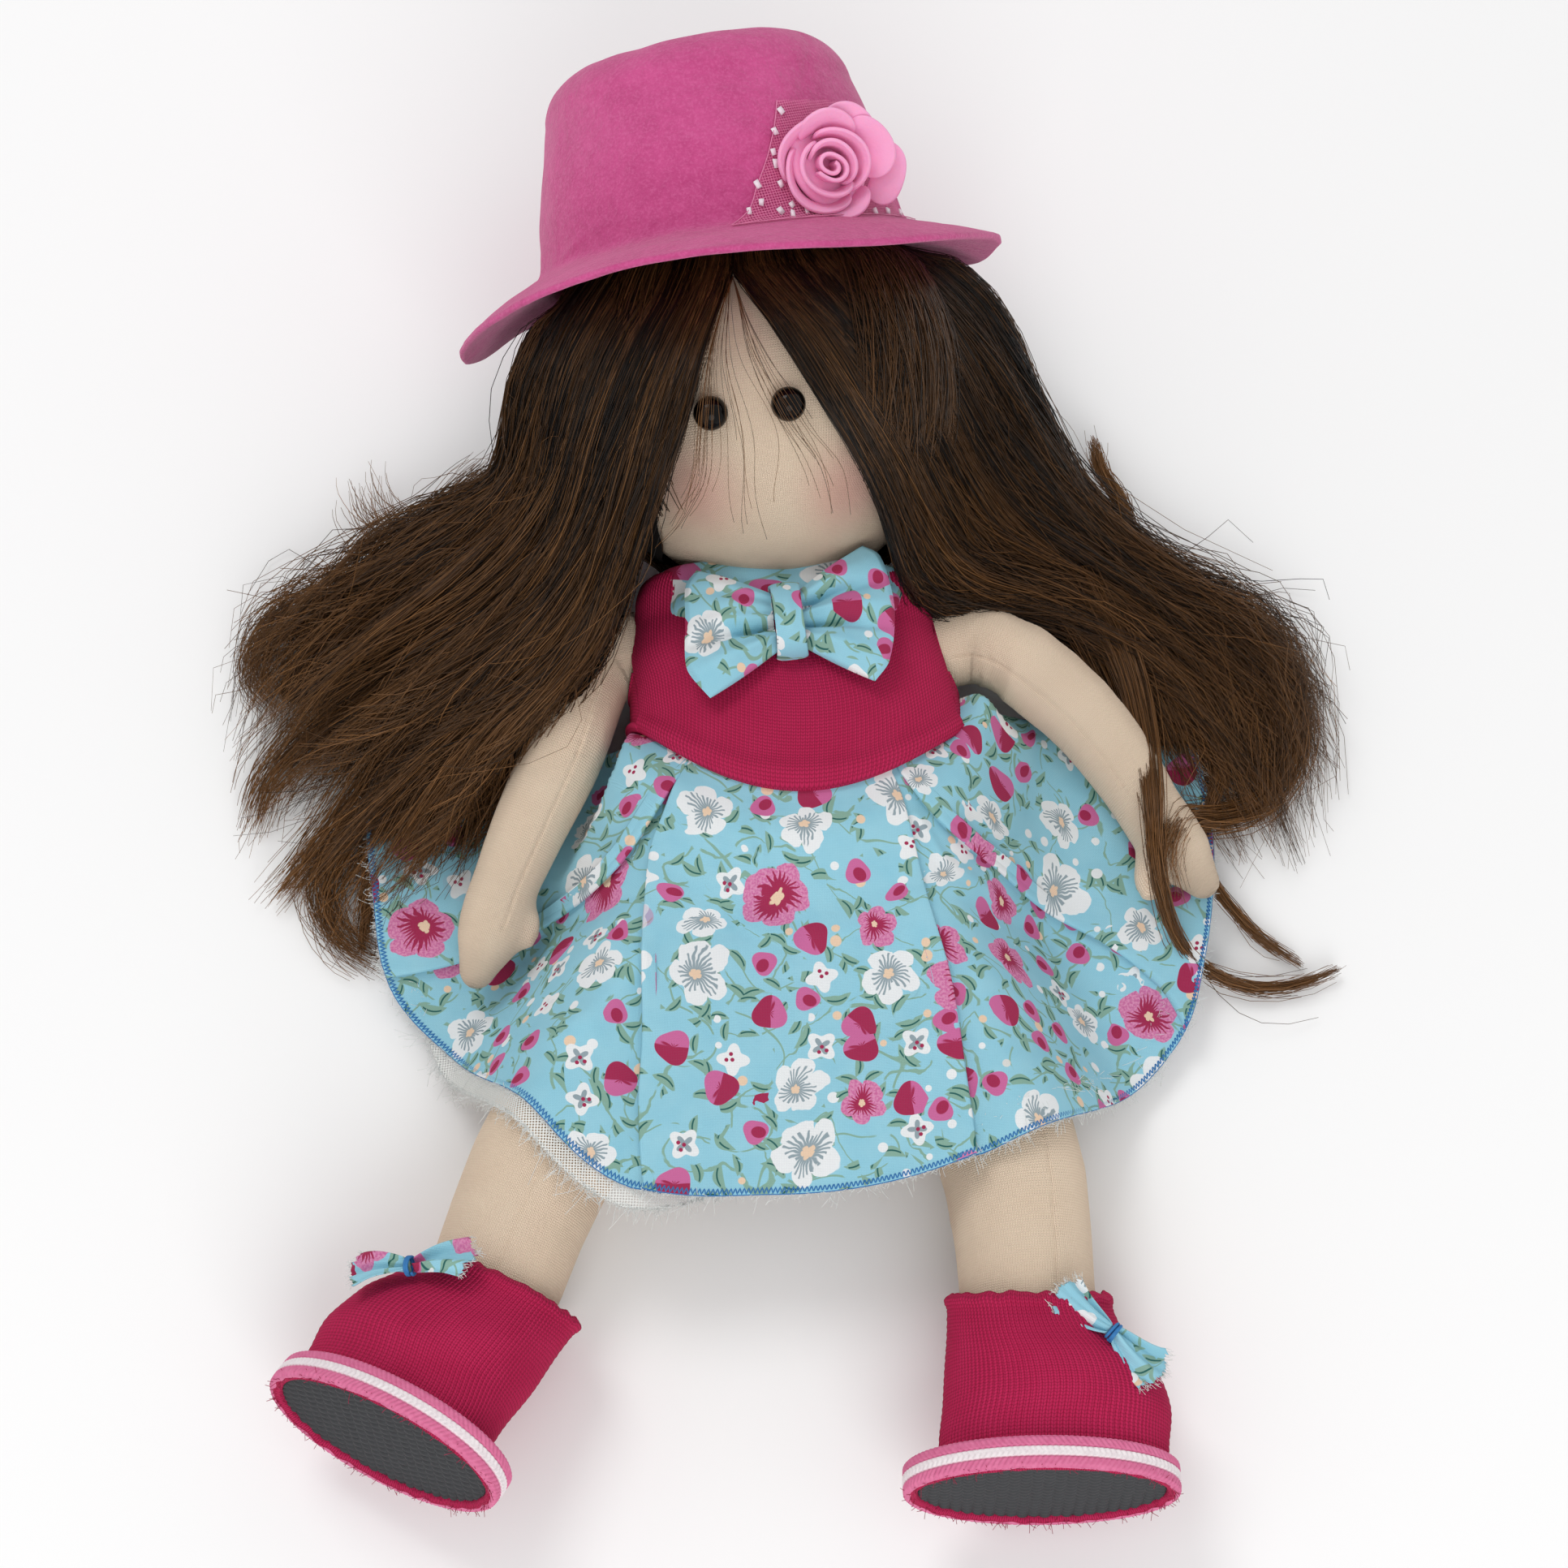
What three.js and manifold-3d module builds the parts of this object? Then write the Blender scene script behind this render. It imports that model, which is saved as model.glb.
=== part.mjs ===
// A handmade cloth doll lying on its back: stuffed knit body, pleated print dress, felt hat with a foam rose,
// long straight hair and knit shoes with braid-edged soles.
// Millimetres. +Y runs from the feet to the hat, +Z up from the surface it lies on, and the doll's left is +X.
// The origin is the middle of the flat back of the bodice, on that surface.
import * as THREE from "three";
import { mergeVertices } from "three/addons/utils/BufferGeometryUtils.js";
import Module from "manifold-3d";

const wasm = await Module();
wasm.setup();

const { degToRad, radToDeg, smoothstep, lerp, clamp } = THREE.MathUtils;
const vec = (x, y, z) => new THREE.Vector3(x, y, z);

// Cloth layers, from the torso outwards
const seatGap = 0.3;
const petticoatThickness = 0.6;
const skirtThickness = 1.0;
const bodiceThickness = 1.5;
const petticoatLift = seatGap;
const skirtLift = petticoatLift + petticoatThickness + seatGap;
const bodiceLift = skirtLift + skirtThickness + seatGap;
const torsoBack = bodiceThickness + skirtThickness + petticoatThickness + 3 * seatGap;

// Torso: place along Y, half width, half depth, and the offset of its middle to the doll's left
const torsoSections = [
  { y: -54, halfWidth: 14, halfDepth: 9, left: 3 },
  { y: -46, halfWidth: 33, halfDepth: 18, left: 3 },
  { y: -30, halfWidth: 44, halfDepth: 26, left: 4 },
  { y: -10, halfWidth: 45.5, halfDepth: 28.5, left: 4.5 },
  { y: 15, halfWidth: 45, halfDepth: 28, left: 4.5 },
  { y: 36, halfWidth: 41, halfDepth: 25.5, left: 1 },
  { y: 48, halfWidth: 33, halfDepth: 21, left: 0 },
  { y: 55, halfWidth: 22, halfDepth: 17, left: 0 },
  { y: 60, halfWidth: 15, halfDepth: 14.5, left: 0 },
  { y: 68, halfWidth: 13.5, halfDepth: 13.5, left: 0 },
];
const torsoAxisHeight = 30;
const neckRise = 7;
const neckStart = 44;

// Head, and how it nods forward, turns and tilts on the neck
const headHalfWidth = 54;
const headHalfHeight = 57;
const headHalfDepth = 52;
const neckPivot = vec(1.2, 57, 39.6);
const headNod = degToRad(22);
const headTurn = degToRad(-4);
const headTilt = degToRad(6);
const eyeRadius = 5;
const eyeSpread = 22.4;
const eyeAbove = -6.4;
const eyeShift = -2.2;

// Felt hat
const hatSeat = 43.5;
const hatShift = -8.5;
const hatExtraTilt = degToRad(3.5);
const feltThickness = 2.2;
const crownBaseRadius = 55;
const crownTopRadius = 46.5;
const crownHeight = 62;
const crownShoulder = 15;
const brimWidth = 26.5;
const brimDroop = 9;
const brimWave = 3.2;
const brimBackRise = 14.5;

// Foam rose and net on the hat
const roseAzimuth = degToRad(41);
const roseHeight = 16.5;
const roseBaseRadius = 14;
const roseBaseThickness = 1.2;
const petalThickness = 1.2;
const roseHeartHeight = 10;
const netThickness = 0.6;

// Arms: the shoulder is a straight stub along X, then the arm follows its points
const shoulderY = 42;
const shoulderZ = 30;
const shoulderSeat = 37;
const shoulderRadius = 13.6;
const armholeGap = 0.9;

// Legs: both hips turn about one line along X
const hipY = -42;
const hipZ = 26;
const hipRadius = 17;
const legRadius = 21.4;
const crotchHalfWidth = 13;

// Shoes
const shoeHeight = 58;
const shoeRimSlope = 0.42;
const soleHalfLength = 37.4;
const soleHalfWidth = 22.5;
const soleForward = 1.6;
const soleThickness = 2.4;
const soleInset = 1;
const insoleThickness = 1.6;
const braidHeight = 9;
const braidThickness = 2.6;
const upperThickness = 1.5;
const shoeBowDown = 19;
const shoeBowLift = 2.4;
const shoeBowTurn = degToRad(79);

// Bodice and skirt
const bodiceHemY = -14;
const bodiceHemRise = 30;
const bodiceTopY = 53;
const bodiceRoll = 1.4;
const waistTuck = 3;
const waistDrop = 2.2;
const skirtCentre = vec(2, 22, 0);
const skirtSideAngle = degToRad(5);
const backShortfall = 26;
const skirtFloor = 7;
const skirtLowest = 5.6;
const petticoatSink = 0.8;

// How far the hem reaches from the skirt's centre, by bearing
const hemReaches = [
  { bearing: 184, reach: 126 }, { bearing: 192, reach: 130 }, { bearing: 202, reach: 134 },
  { bearing: 214, reach: 142 }, { bearing: 226, reach: 141 }, { bearing: 238, reach: 144.5 },
  { bearing: 252, reach: 155 }, { bearing: 268, reach: 151 }, { bearing: 286, reach: 150 },
  { bearing: 304, reach: 149.5 }, { bearing: 321, reach: 148 }, { bearing: 330, reach: 141 },
  { bearing: 340, reach: 134 }, { bearing: 356, reach: 124 },
];

// Hair
const hairCapThickness = 5;
const hairCapRise = 4;
const hairGap = 0.3;

// A closed geometry from points and triangles, with its faces turned outwards
function closedGeometry(points, triangles) {
  let volume = 0;
  for (const [a, b, c] of triangles)
    volume += points[a].dot(points[b].clone().cross(points[c]));
  const turned = volume < 0 ? triangles.map(([a, b, c]) => [a, c, b]) : triangles;
  const geometry = new THREE.BufferGeometry().setFromPoints(points);
  geometry.setIndex(turned.flat());
  return geometry;
}

// The side faces between two rings of the same count, split along one diagonal or the other
function band(triangles, first, second, count, flipped = false) {
  for (let i = 0; i < count; i++) {
    const [a, b, c, d] = [first + i, first + ((i + 1) % count), second + ((i + 1) % count), second + i];
    if (flipped) triangles.push([a, b, c], [a, c, d]);
    else triangles.push([a, b, d], [b, c, d]);
  }
}

// A solid through rings of points, closed at both ends by a fan to the ring's middle
function loft(rings) {
  const count = rings[0].length;
  const points = rings.flat();
  const triangles = [];
  for (let k = 0; k + 1 < rings.length; k++) band(triangles, k * count, (k + 1) * count, count);
  for (const [ring, turned] of [[0, true], [rings.length - 1, false]]) {
    const middle = rings[ring].reduce((sum, p) => sum.add(p), vec(0, 0, 0)).divideScalar(count);
    points.push(middle);
    for (let i = 0; i < count; i++) {
      const a = ring * count + i;
      const b = ring * count + ((i + 1) % count);
      triangles.push(turned ? [b, a, points.length - 1] : [a, b, points.length - 1]);
    }
  }
  return closedGeometry(points, triangles);
}

// A sleeve between outer and inner rings, open at both ends, whose two walls are split alike
function sleeve(outer, inner) {
  const count = outer[0].length;
  const loop = [...outer, ...[...inner].reverse()];
  const triangles = [];
  loop.forEach((_, k) =>
    band(triangles, k * count, ((k + 1) % loop.length) * count, count, k >= outer.length));
  return closedGeometry(loop.flat(), triangles);
}

// A curved plate between two grids of points, with its four edges closed
function plate(top, bottom) {
  const rows = top.length;
  const columns = top[0].length;
  const points = [...top.flat(), ...bottom.flat()];
  const at = (side, r, c) => side * rows * columns + r * columns + c;
  const triangles = [];
  const quad = (a, b, c, d) => triangles.push([a, b, c], [a, c, d]);
  for (let r = 0; r + 1 < rows; r++)
    for (let c = 0; c + 1 < columns; c++) {
      quad(at(0, r, c), at(0, r, c + 1), at(0, r + 1, c + 1), at(0, r + 1, c));
      quad(at(1, r, c), at(1, r + 1, c), at(1, r + 1, c + 1), at(1, r, c + 1));
    }
  for (let c = 0; c + 1 < columns; c++) {
    quad(at(0, 0, c), at(1, 0, c), at(1, 0, c + 1), at(0, 0, c + 1));
    quad(at(0, rows - 1, c + 1), at(1, rows - 1, c + 1), at(1, rows - 1, c), at(0, rows - 1, c));
  }
  for (let r = 0; r + 1 < rows; r++) {
    quad(at(0, r + 1, 0), at(1, r + 1, 0), at(1, r, 0), at(0, r, 0));
    quad(at(0, r, columns - 1), at(1, r, columns - 1), at(1, r + 1, columns - 1), at(0, r + 1, columns - 1));
  }
  return closedGeometry(points, triangles);
}

function toSolid(geometry) {
  const bare = geometry.clone();
  bare.deleteAttribute("normal");
  bare.deleteAttribute("uv");
  const merged = mergeVertices(bare, 1e-4);
  const index = merged.index.array;
  const triVerts = [];
  for (let i = 0; i < index.length; i += 3) {
    const [a, b, c] = [index[i], index[i + 1], index[i + 2]];
    if (a !== b && b !== c && a !== c) triVerts.push(a, b, c);
  }
  return new wasm.Manifold(new wasm.Mesh({
    numProp: 3,
    vertProperties: merged.attributes.position.array,
    triVerts: new Uint32Array(triVerts),
  }));
}

function meshGeometry(solid) {
  const mesh = solid.getMesh();
  const points = [];
  for (let i = 0; i < mesh.numVert; i++) {
    const start = i * mesh.numProp;
    points.push(vec(...mesh.vertProperties.slice(start, start + 3)));
  }
  const triangles = [];
  for (let i = 0; i < mesh.triVerts.length; i += 3)
    triangles.push([...mesh.triVerts.slice(i, i + 3)]);
  return closedGeometry(points, triangles);
}

// The largest body of a solid, as a geometry whose facets stray no more than a tolerance
const fineTolerance = 0.01;
const softTolerance = 0.05;
const hairTolerance = 0.12;
function toGeometry(solid, tolerance) {
  const welded = toSolid(meshGeometry(solid.simplify(tolerance)));
  return meshGeometry(welded.decompose().reduce((a, b) => (a.volume() >= b.volume() ? a : b)));
}

const moved = (solid, matrix) => solid.transform(matrix.elements);

function boxSolid(low, high) {
  const size = high.clone().sub(low);
  const middle = low.clone().add(high).multiplyScalar(0.5);
  return toSolid(new THREE.BoxGeometry(...size).translate(...middle));
}

// A cylinder along X between two places
function rodAlongX(radius, from, to, y, z, sides = 36) {
  const rod = new THREE.CylinderGeometry(radius, radius, Math.abs(to - from), sides);
  return toSolid(rod.rotateZ(Math.PI / 2).translate((from + to) / 2, y, z));
}

// A value from a table of rows, each with its place, eased from one row to the next
function eased(rows, key, place, field) {
  if (place <= rows[0][key]) return rows[0][field];
  for (let i = 0; i + 1 < rows.length; i++)
    if (place <= rows[i + 1][key]) {
      const t = (place - rows[i][key]) / (rows[i + 1][key] - rows[i][key]);
      const before = rows[Math.max(0, i - 1)];
      const after = rows[Math.min(rows.length - 1, i + 2)];
      const slopeIn = (rows[i + 1][field] - before[field]) / (rows[i + 1][key] - before[key]);
      const slopeOut = (after[field] - rows[i][field]) / (after[key] - rows[i][key]);
      const span = rows[i + 1][key] - rows[i][key];
      const a = rows[i][field];
      const b = rows[i + 1][field];
      const t2 = t * t;
      const t3 = t2 * t;
      return (2 * t3 - 3 * t2 + 1) * a + (t3 - 2 * t2 + t) * span * slopeIn
        + (3 * t2 - 2 * t3) * b + (t3 - t2) * span * slopeOut;
    }
  return rows[rows.length - 1][field];
}

// Rings round a curved limb, with a domed start and end where asked
function limbRings({ spine, radii, sides = 16, steps = 12, flat = 1, startDome = 0, endDome = 0 }, grow = 0) {
  const curve = new THREE.CatmullRomCurve3(spine, false, "centripetal");
  const ring = (centre, along, radius) => {
    const across = vec(0, 0, 1).cross(along).normalize();
    const up = along.clone().cross(across).normalize();
    return Array.from({ length: sides }, (_, i) => {
      const a = (i / sides) * 2 * Math.PI;
      return centre.clone()
        .addScaledVector(across, radius * Math.cos(a))
        .addScaledVector(up, radius * flat * Math.sin(a));
    });
  };
  const rings = [];
  const dome = (t, sign, share) => {
    const centre = curve.getPointAt(t);
    const along = curve.getTangentAt(t);
    const radius = eased(radii, "t", t, "r") + grow;
    return [78, 52, 26].map((degrees) => {
      const a = degToRad(degrees);
      const place = centre.clone().addScaledVector(along, sign * radius * share * Math.sin(a));
      return ring(place, along, radius * Math.cos(a));
    });
  };
  if (startDome) rings.push(...dome(0, -1, startDome));
  for (let k = 0; k <= steps; k++) {
    const t = k / steps;
    rings.push(ring(curve.getPointAt(t), curve.getTangentAt(t), eased(radii, "t", t, "r") + grow));
  }
  if (endDome) rings.push(...dome(1, 1, endDome).reverse());
  return rings;
}

const torsoAt = (y, field) => eased(torsoSections, "y", y, field);
const torsoHeightAt = (y) => torsoAxisHeight + neckRise * smoothstep(y, neckStart, 60);

// A point of the torso's skin at a place along Y and an angle from the doll's left towards the front
function torsoSkin(y, angle, lift, lowest) {
  const x = torsoAt(y, "left") + (torsoAt(y, "halfWidth") + lift) * Math.cos(angle);
  const z = torsoHeightAt(y) + (torsoAt(y, "halfDepth") + lift) * Math.sin(angle);
  return vec(x, y, Math.max(z, lowest));
}

const torsoSides = 22;
function torsoRings(lift) {
  const rows = [-54, -46, -37, -27, -16, -4, 8, 21, 36, 43, 49, 54, 58, 62, 68];
  return rows.map((y) => Array.from({ length: torsoSides }, (_, i) =>
    torsoSkin(y, (i / torsoSides) * 2 * Math.PI, lift, -50)));
}

const torsoCover = (lift) => toSolid(loft(torsoRings(lift)));

// Places that other pieces follow: the head's frame and the hat's frame
const headFrame = new THREE.Matrix4().makeRotationFromEuler(
  new THREE.Euler(headNod, headTurn, headTilt, "XYZ"));
const headUp = vec(0, 1, 0).applyMatrix4(headFrame);
const headCentre = neckPivot.clone().addScaledVector(headUp, headHalfHeight + seatGap);
headFrame.setPosition(headCentre);

const hatInHead = new THREE.Matrix4().makeRotationZ(hatExtraTilt).setPosition(hatShift, hatSeat, 0);
const hatFrame = headFrame.clone().multiply(hatInHead);

function headGeometry(grow = 0, rise = 0, across = 22, along = 14) {
  const ball = new THREE.SphereGeometry(1, across, along);
  return ball.scale(headHalfWidth + grow, headHalfHeight + grow + rise, headHalfDepth + grow).translate(0, rise, 0);
}
const headInWorld = (grow) => moved(toSolid(headGeometry(grow)), headFrame);

// The stuffed arms and legs
const armSides = {
  left: {
    spine: [
      vec(shoulderSeat + seatGap, shoulderY, shoulderZ), vec(48, shoulderY, shoulderZ),
      vec(58, 45, 30), vec(72, 44.5, 29), vec(87, 34.5, 27), vec(98.5, 16.5, 25), vec(107, -1, 23),
      vec(116, -16, 21), vec(123.5, -27, 20),
    ],
    thumb: [vec(110, -17, 20), vec(107, -24, 20), vec(108, -30, 19.5)],
  },
  right: {
    spine: [
      vec(-shoulderSeat - seatGap, shoulderY, shoulderZ), vec(-47, shoulderY, shoulderZ),
      vec(-56, 37.5, 31), vec(-61, 24, 32.5), vec(-65.5, 8, 33), vec(-74.5, -13, 31),
      vec(-82.5, -33, 27), vec(-86.5, -47, 24.5), vec(-89.5, -56, 23),
    ],
    thumb: [vec(-79, -35, 26.5), vec(-75, -41, 25), vec(-75.5, -46.5, 24)],
  },
};
const armRadii = [
  { t: 0, r: shoulderRadius }, { t: 0.12, r: shoulderRadius }, { t: 0.3, r: 13.4 },
  { t: 0.5, r: 12.8 }, { t: 0.7, r: 11.4 }, { t: 0.8, r: 10.6 }, { t: 0.9, r: 11 }, { t: 1, r: 6.2 },
];
const thumbRadii = [{ t: 0, r: 5.2 }, { t: 0.6, r: 5 }, { t: 1, r: 4.2 }];

function armSolid(side, grow = 0) {
  const { spine, thumb } = armSides[side];
  const arm = loft(limbRings({ spine, radii: armRadii, sides: 12, steps: 13, endDome: 1 }, grow));
  const thumbTip = loft(limbRings({ spine: thumb, radii: thumbRadii, sides: 8, steps: 3, endDome: 0.9 }, grow));
  return toSolid(arm).add(toSolid(thumbTip));
}

const legSides = {
  left: {
    sign: 1,
    spine: [
      vec(35, hipY, hipZ), vec(45, -64, 25.5), vec(57, -90, 25), vec(65, -116, 25),
      vec(67.5, -138, 25), vec(68.3, -156, 25.3), vec(68.5, -170, 26),
    ],
    ankle: vec(68.4, -153.5, 25),
    toe: vec(1, 0, 0.02),
    facing: vec(0, -0.98, 0.18),
    bowBearing: degToRad(57),
    bowLean: degToRad(38),
  },
  right: {
    sign: -1,
    spine: [
      vec(-30, hipY, hipZ), vec(-42, -64, 25.5), vec(-56, -90, 25), vec(-67.5, -112, 25),
      vec(-75.5, -132, 25), vec(-81.5, -150, 25.3), vec(-88, -164, 26),
    ],
    ankle: vec(-79, -151.2, 25),
    toe: vec(-0.8, 0.5, -0.33),
    facing: vec(-0.5, -0.81, 0.31),
    bowBearing: degToRad(77),
    bowLean: degToRad(22),
  },
};
const legRadii = [
  { t: 0, r: hipRadius }, { t: 0.14, r: 19.3 }, { t: 0.32, r: legRadius }, { t: 0.6, r: legRadius },
  { t: 0.8, r: legRadius - 1.2 }, { t: 1, r: legRadius - 1.6 },
];

// A shoe's frame: +Y out through the sole, +X towards the toe, with its origin where the upper begins
function shoeFrame(side) {
  const { ankle, toe, facing } = legSides[side];
  const out = facing.clone().normalize();
  const forward = toe.clone().addScaledVector(out, -toe.dot(out)).normalize();
  const width = forward.clone().cross(out);
  return new THREE.Matrix4().makeBasis(forward, out, width).setPosition(ankle);
}

// The knit upper: place down the shoe, its middle towards the toe, half length and half width
const upperSections = [
  { s: -12, forward: 0, halfLength: 22.6, halfWidth: 22.9 },
  { s: 0, forward: 0, halfLength: 22.6, halfWidth: 22.9 },
  { s: 10, forward: 1.6, halfLength: 24.6, halfWidth: 23.6 },
  { s: 20, forward: 5, halfLength: 28.6, halfWidth: 23.8 },
  { s: 32, forward: 6.4, halfLength: 30.4, halfWidth: 22.6 },
  { s: 44, forward: 5.2, halfLength: 30.6, halfWidth: 19.2 },
  { s: 60, forward: 5, halfLength: 30.6, halfWidth: 18.4 },
];
const upperAt = (s, field) => eased(upperSections, "s", s, field);
function ovalRing(y, forward, halfLength, halfWidth, sides) {
  return Array.from({ length: sides }, (_, i) => {
    const a = (i / sides) * 2 * Math.PI;
    return vec(forward + halfLength * Math.cos(a), y, halfWidth * Math.sin(a));
  });
}

// A ring of the upper: it leans towards the sole on the side that faces up
function upperRing(s, grow, side, sides = shoeSides) {
  const halfLength = upperAt(s, "halfLength") + grow;
  const ring = ovalRing(s, upperAt(s, "forward"), halfLength, upperAt(s, "halfWidth") + grow, sides);
  const lean = -legSides[side].sign * shoeRimSlope * (1 - smoothstep(s, 0, 0.85 * shoeHeight));
  ring.forEach((point) => { point.y += lean * point.z; });
  return ring;
}
const insoleTop = shoeHeight - soleInset - soleThickness - seatGap - insoleThickness;
const upperBottom = insoleTop - seatGap;

const upperPlaces = [0, 10, 20, 31, 42, upperBottom];
const shoeSides = 18;
function upperGeometry(side, grow = 0) {
  const places = [-grow, ...upperPlaces.slice(1)];
  const outer = places.map((s) => upperRing(s, grow, side));
  const inner = places.map((s) => upperRing(s, -upperThickness - grow, side));
  return sleeve(outer, inner);
}

function footSolid(side) {
  const rings = [4, ...upperPlaces.slice(1)].map((s) => upperRing(s, -upperThickness - seatGap, side));
  return moved(toSolid(loft(rings)), shoeFrame(side));
}

function legSolid(side) {
  const { spine } = legSides[side];
  const leg = limbRings({ spine, radii: legRadii, sides: 16, steps: 8, startDome: 1, endDome: 0.3 });
  const sole = boxSolid(vec(-120, upperBottom, -120), vec(120, 200, 120));
  return toSolid(loft(leg)).add(footSolid(side))
    .subtract(moved(toSolid(upperGeometry(side, seatGap)), shoeFrame(side)))
    .subtract(moved(sole, shoeFrame(side)));
}

// The torso, flat at the back, with a seat for the head, flat seats for the arms and room for the bending legs
function torsoSolid() {
  let torso = torsoCover(0);
  torso = torso.subtract(boxSolid(vec(-200, -200, -100), vec(200, 200, torsoBack)));
  torso = torso.subtract(headInWorld(seatGap));
  const slotHalf = legRadius + seatGap;
  for (const sign of [-1, 1]) {
    const outer = sign * 90;
    const seat = sign * shoulderSeat;
    torso = torso.subtract(rodAlongX(shoulderRadius + armholeGap, seat, outer, shoulderY, shoulderZ));
    const inner = torsoAt(hipY, "left") + sign * crotchHalfWidth;
    torso = torso.subtract(rodAlongX(hipRadius + seatGap, inner, outer, hipY, hipZ));
    const low = vec(Math.min(inner, outer), hipY - slotHalf - 20, hipZ);
    const high = vec(Math.max(inner, outer), hipY + slotHalf, 120);
    torso = torso.subtract(boxSolid(low, high));
    const behind = vec(Math.max(inner, outer), hipY, hipZ + 1);
    torso = torso.subtract(boxSolid(vec(Math.min(inner, outer), hipY - 40, -20), behind));
  }
  return torso;
}

// The bodice's lower edge dips at the front and back middle
function bodiceHemAt(angle) {
  return bodiceHemY + bodiceHemRise * Math.cos(angle) ** 2;
}

// The ring a fixed way above the bodice's lower edge, and a place between two of its points
function waistRing(above, lift, lowest) {
  return Array.from({ length: torsoSides }, (_, i) => {
    const angle = (i / torsoSides) * 2 * Math.PI;
    return torsoSkin(bodiceHemAt(angle) + above, angle, lift, lowest);
  });
}
function onRing(ring, angle) {
  const place = (angle / (2 * Math.PI)) * ring.length;
  const before = Math.floor(place + 1e-6) % ring.length;
  return ring[before].clone().lerp(ring[(before + 1) % ring.length], Math.max(0, place - Math.floor(place + 1e-6)));
}

function bodiceSolid() {
  const shares = [0, 0.04, 0.1, 0.2, 0.45, 0.7, 1];
  const rings = shares.map((share) => Array.from({ length: torsoSides }, (_, i) => {
    const angle = (i / torsoSides) * 2 * Math.PI;
    const y = lerp(bodiceHemAt(angle), bodiceTopY, share);
    const roll = bodiceRoll * Math.exp(-(((share - 0.06) / 0.09) ** 2)) - 0.9 * smoothstep(-share, -0.04, 0.01);
    const lift = lerp(bodiceLift, seatGap, smoothstep(share, 0.3, 0.9));
    return torsoSkin(y, angle, lift + bodiceThickness + roll, 0);
  }));
  const armhole = (sign) => rodAlongX(
    shoulderRadius + armholeGap, sign * (shoulderSeat - 8), sign * 90, shoulderY, shoulderZ);
  const tuckTop = waistTuck + seatGap;
  const tuckBottom = -waistDrop - seatGap;
  const tucked = [
    waistRing(tuckBottom, -seatGap, torsoBack), waistRing(tuckBottom, bodiceLift, bodiceThickness),
    waistRing(tuckTop, bodiceLift, bodiceThickness), waistRing(tuckTop, -seatGap, torsoBack),
  ];
  const within = [
    torsoCover(seatGap), toSolid(loft(tucked)), clothLayer(layersRoom), armhole(-1), armhole(1),
    collarSolid(seatGap), headInWorld(seatGap),
  ];
  let bodice = toSolid(loft([waistRing(0, -seatGap, torsoBack), ...rings]));
  for (const piece of within) bodice = bodice.subtract(piece);
  return bodice;
}

// The print collar, a soft ring round the base of the neck
function collarSolid(grow = 0) {
  const sides = 18;
  const profile = [[0, 0], [3, 1.6], [3.4, 6], [2.2, 10], [0.3, 11.5], [-1.2, 8], [-1.2, 2.5]];
  const middle = [1, 5.5];
  const rings = profile.map(([out, up]) => Array.from({ length: sides }, (_, i) => {
    const angle = (i / sides) * 2 * Math.PI;
    const length = Math.hypot(out - middle[0], up - middle[1]);
    const o = out + (grow * (out - middle[0])) / length;
    const u = up + (grow * (up - middle[1])) / length;
    return vec((30 + o) * Math.cos(angle), 47 + u, 35.5 + (21 + o) * Math.sin(angle));
  }));
  const triangles = [];
  rings.forEach((_, k) => band(triangles, k * sides, ((k + 1) % rings.length) * sides, sides));
  return toSolid(closedGeometry(rings.flat(), triangles));
}

// Shortest distance in plan from a place to a curve's points, and the share along it
function planDistance(points, x, y) {
  let best = { distance: Infinity, share: 0 };
  for (let i = 0; i + 1 < points.length; i++) {
    const a = points[i];
    const b = points[i + 1];
    const dx = b.x - a.x;
    const dy = b.y - a.y;
    const t = clamp(((x - a.x) * dx + (y - a.y) * dy) / (dx * dx + dy * dy), 0, 1);
    const distance = Math.hypot(x - a.x - t * dx, y - a.y - t * dy);
    if (distance < best.distance) best = { distance, share: (i + t) / (points.length - 1), height: lerp(a.z, b.z, t) };
  }
  return best;
}
const curvePoints = (spine) => new THREE.CatmullRomCurve3(spine, false, "centripetal").getSpacedPoints(40);
const legPoints = Object.values(legSides).map((leg) => curvePoints(leg.spine));
const armPoints = Object.values(armSides).map((arm) => curvePoints(arm.spine));

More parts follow.
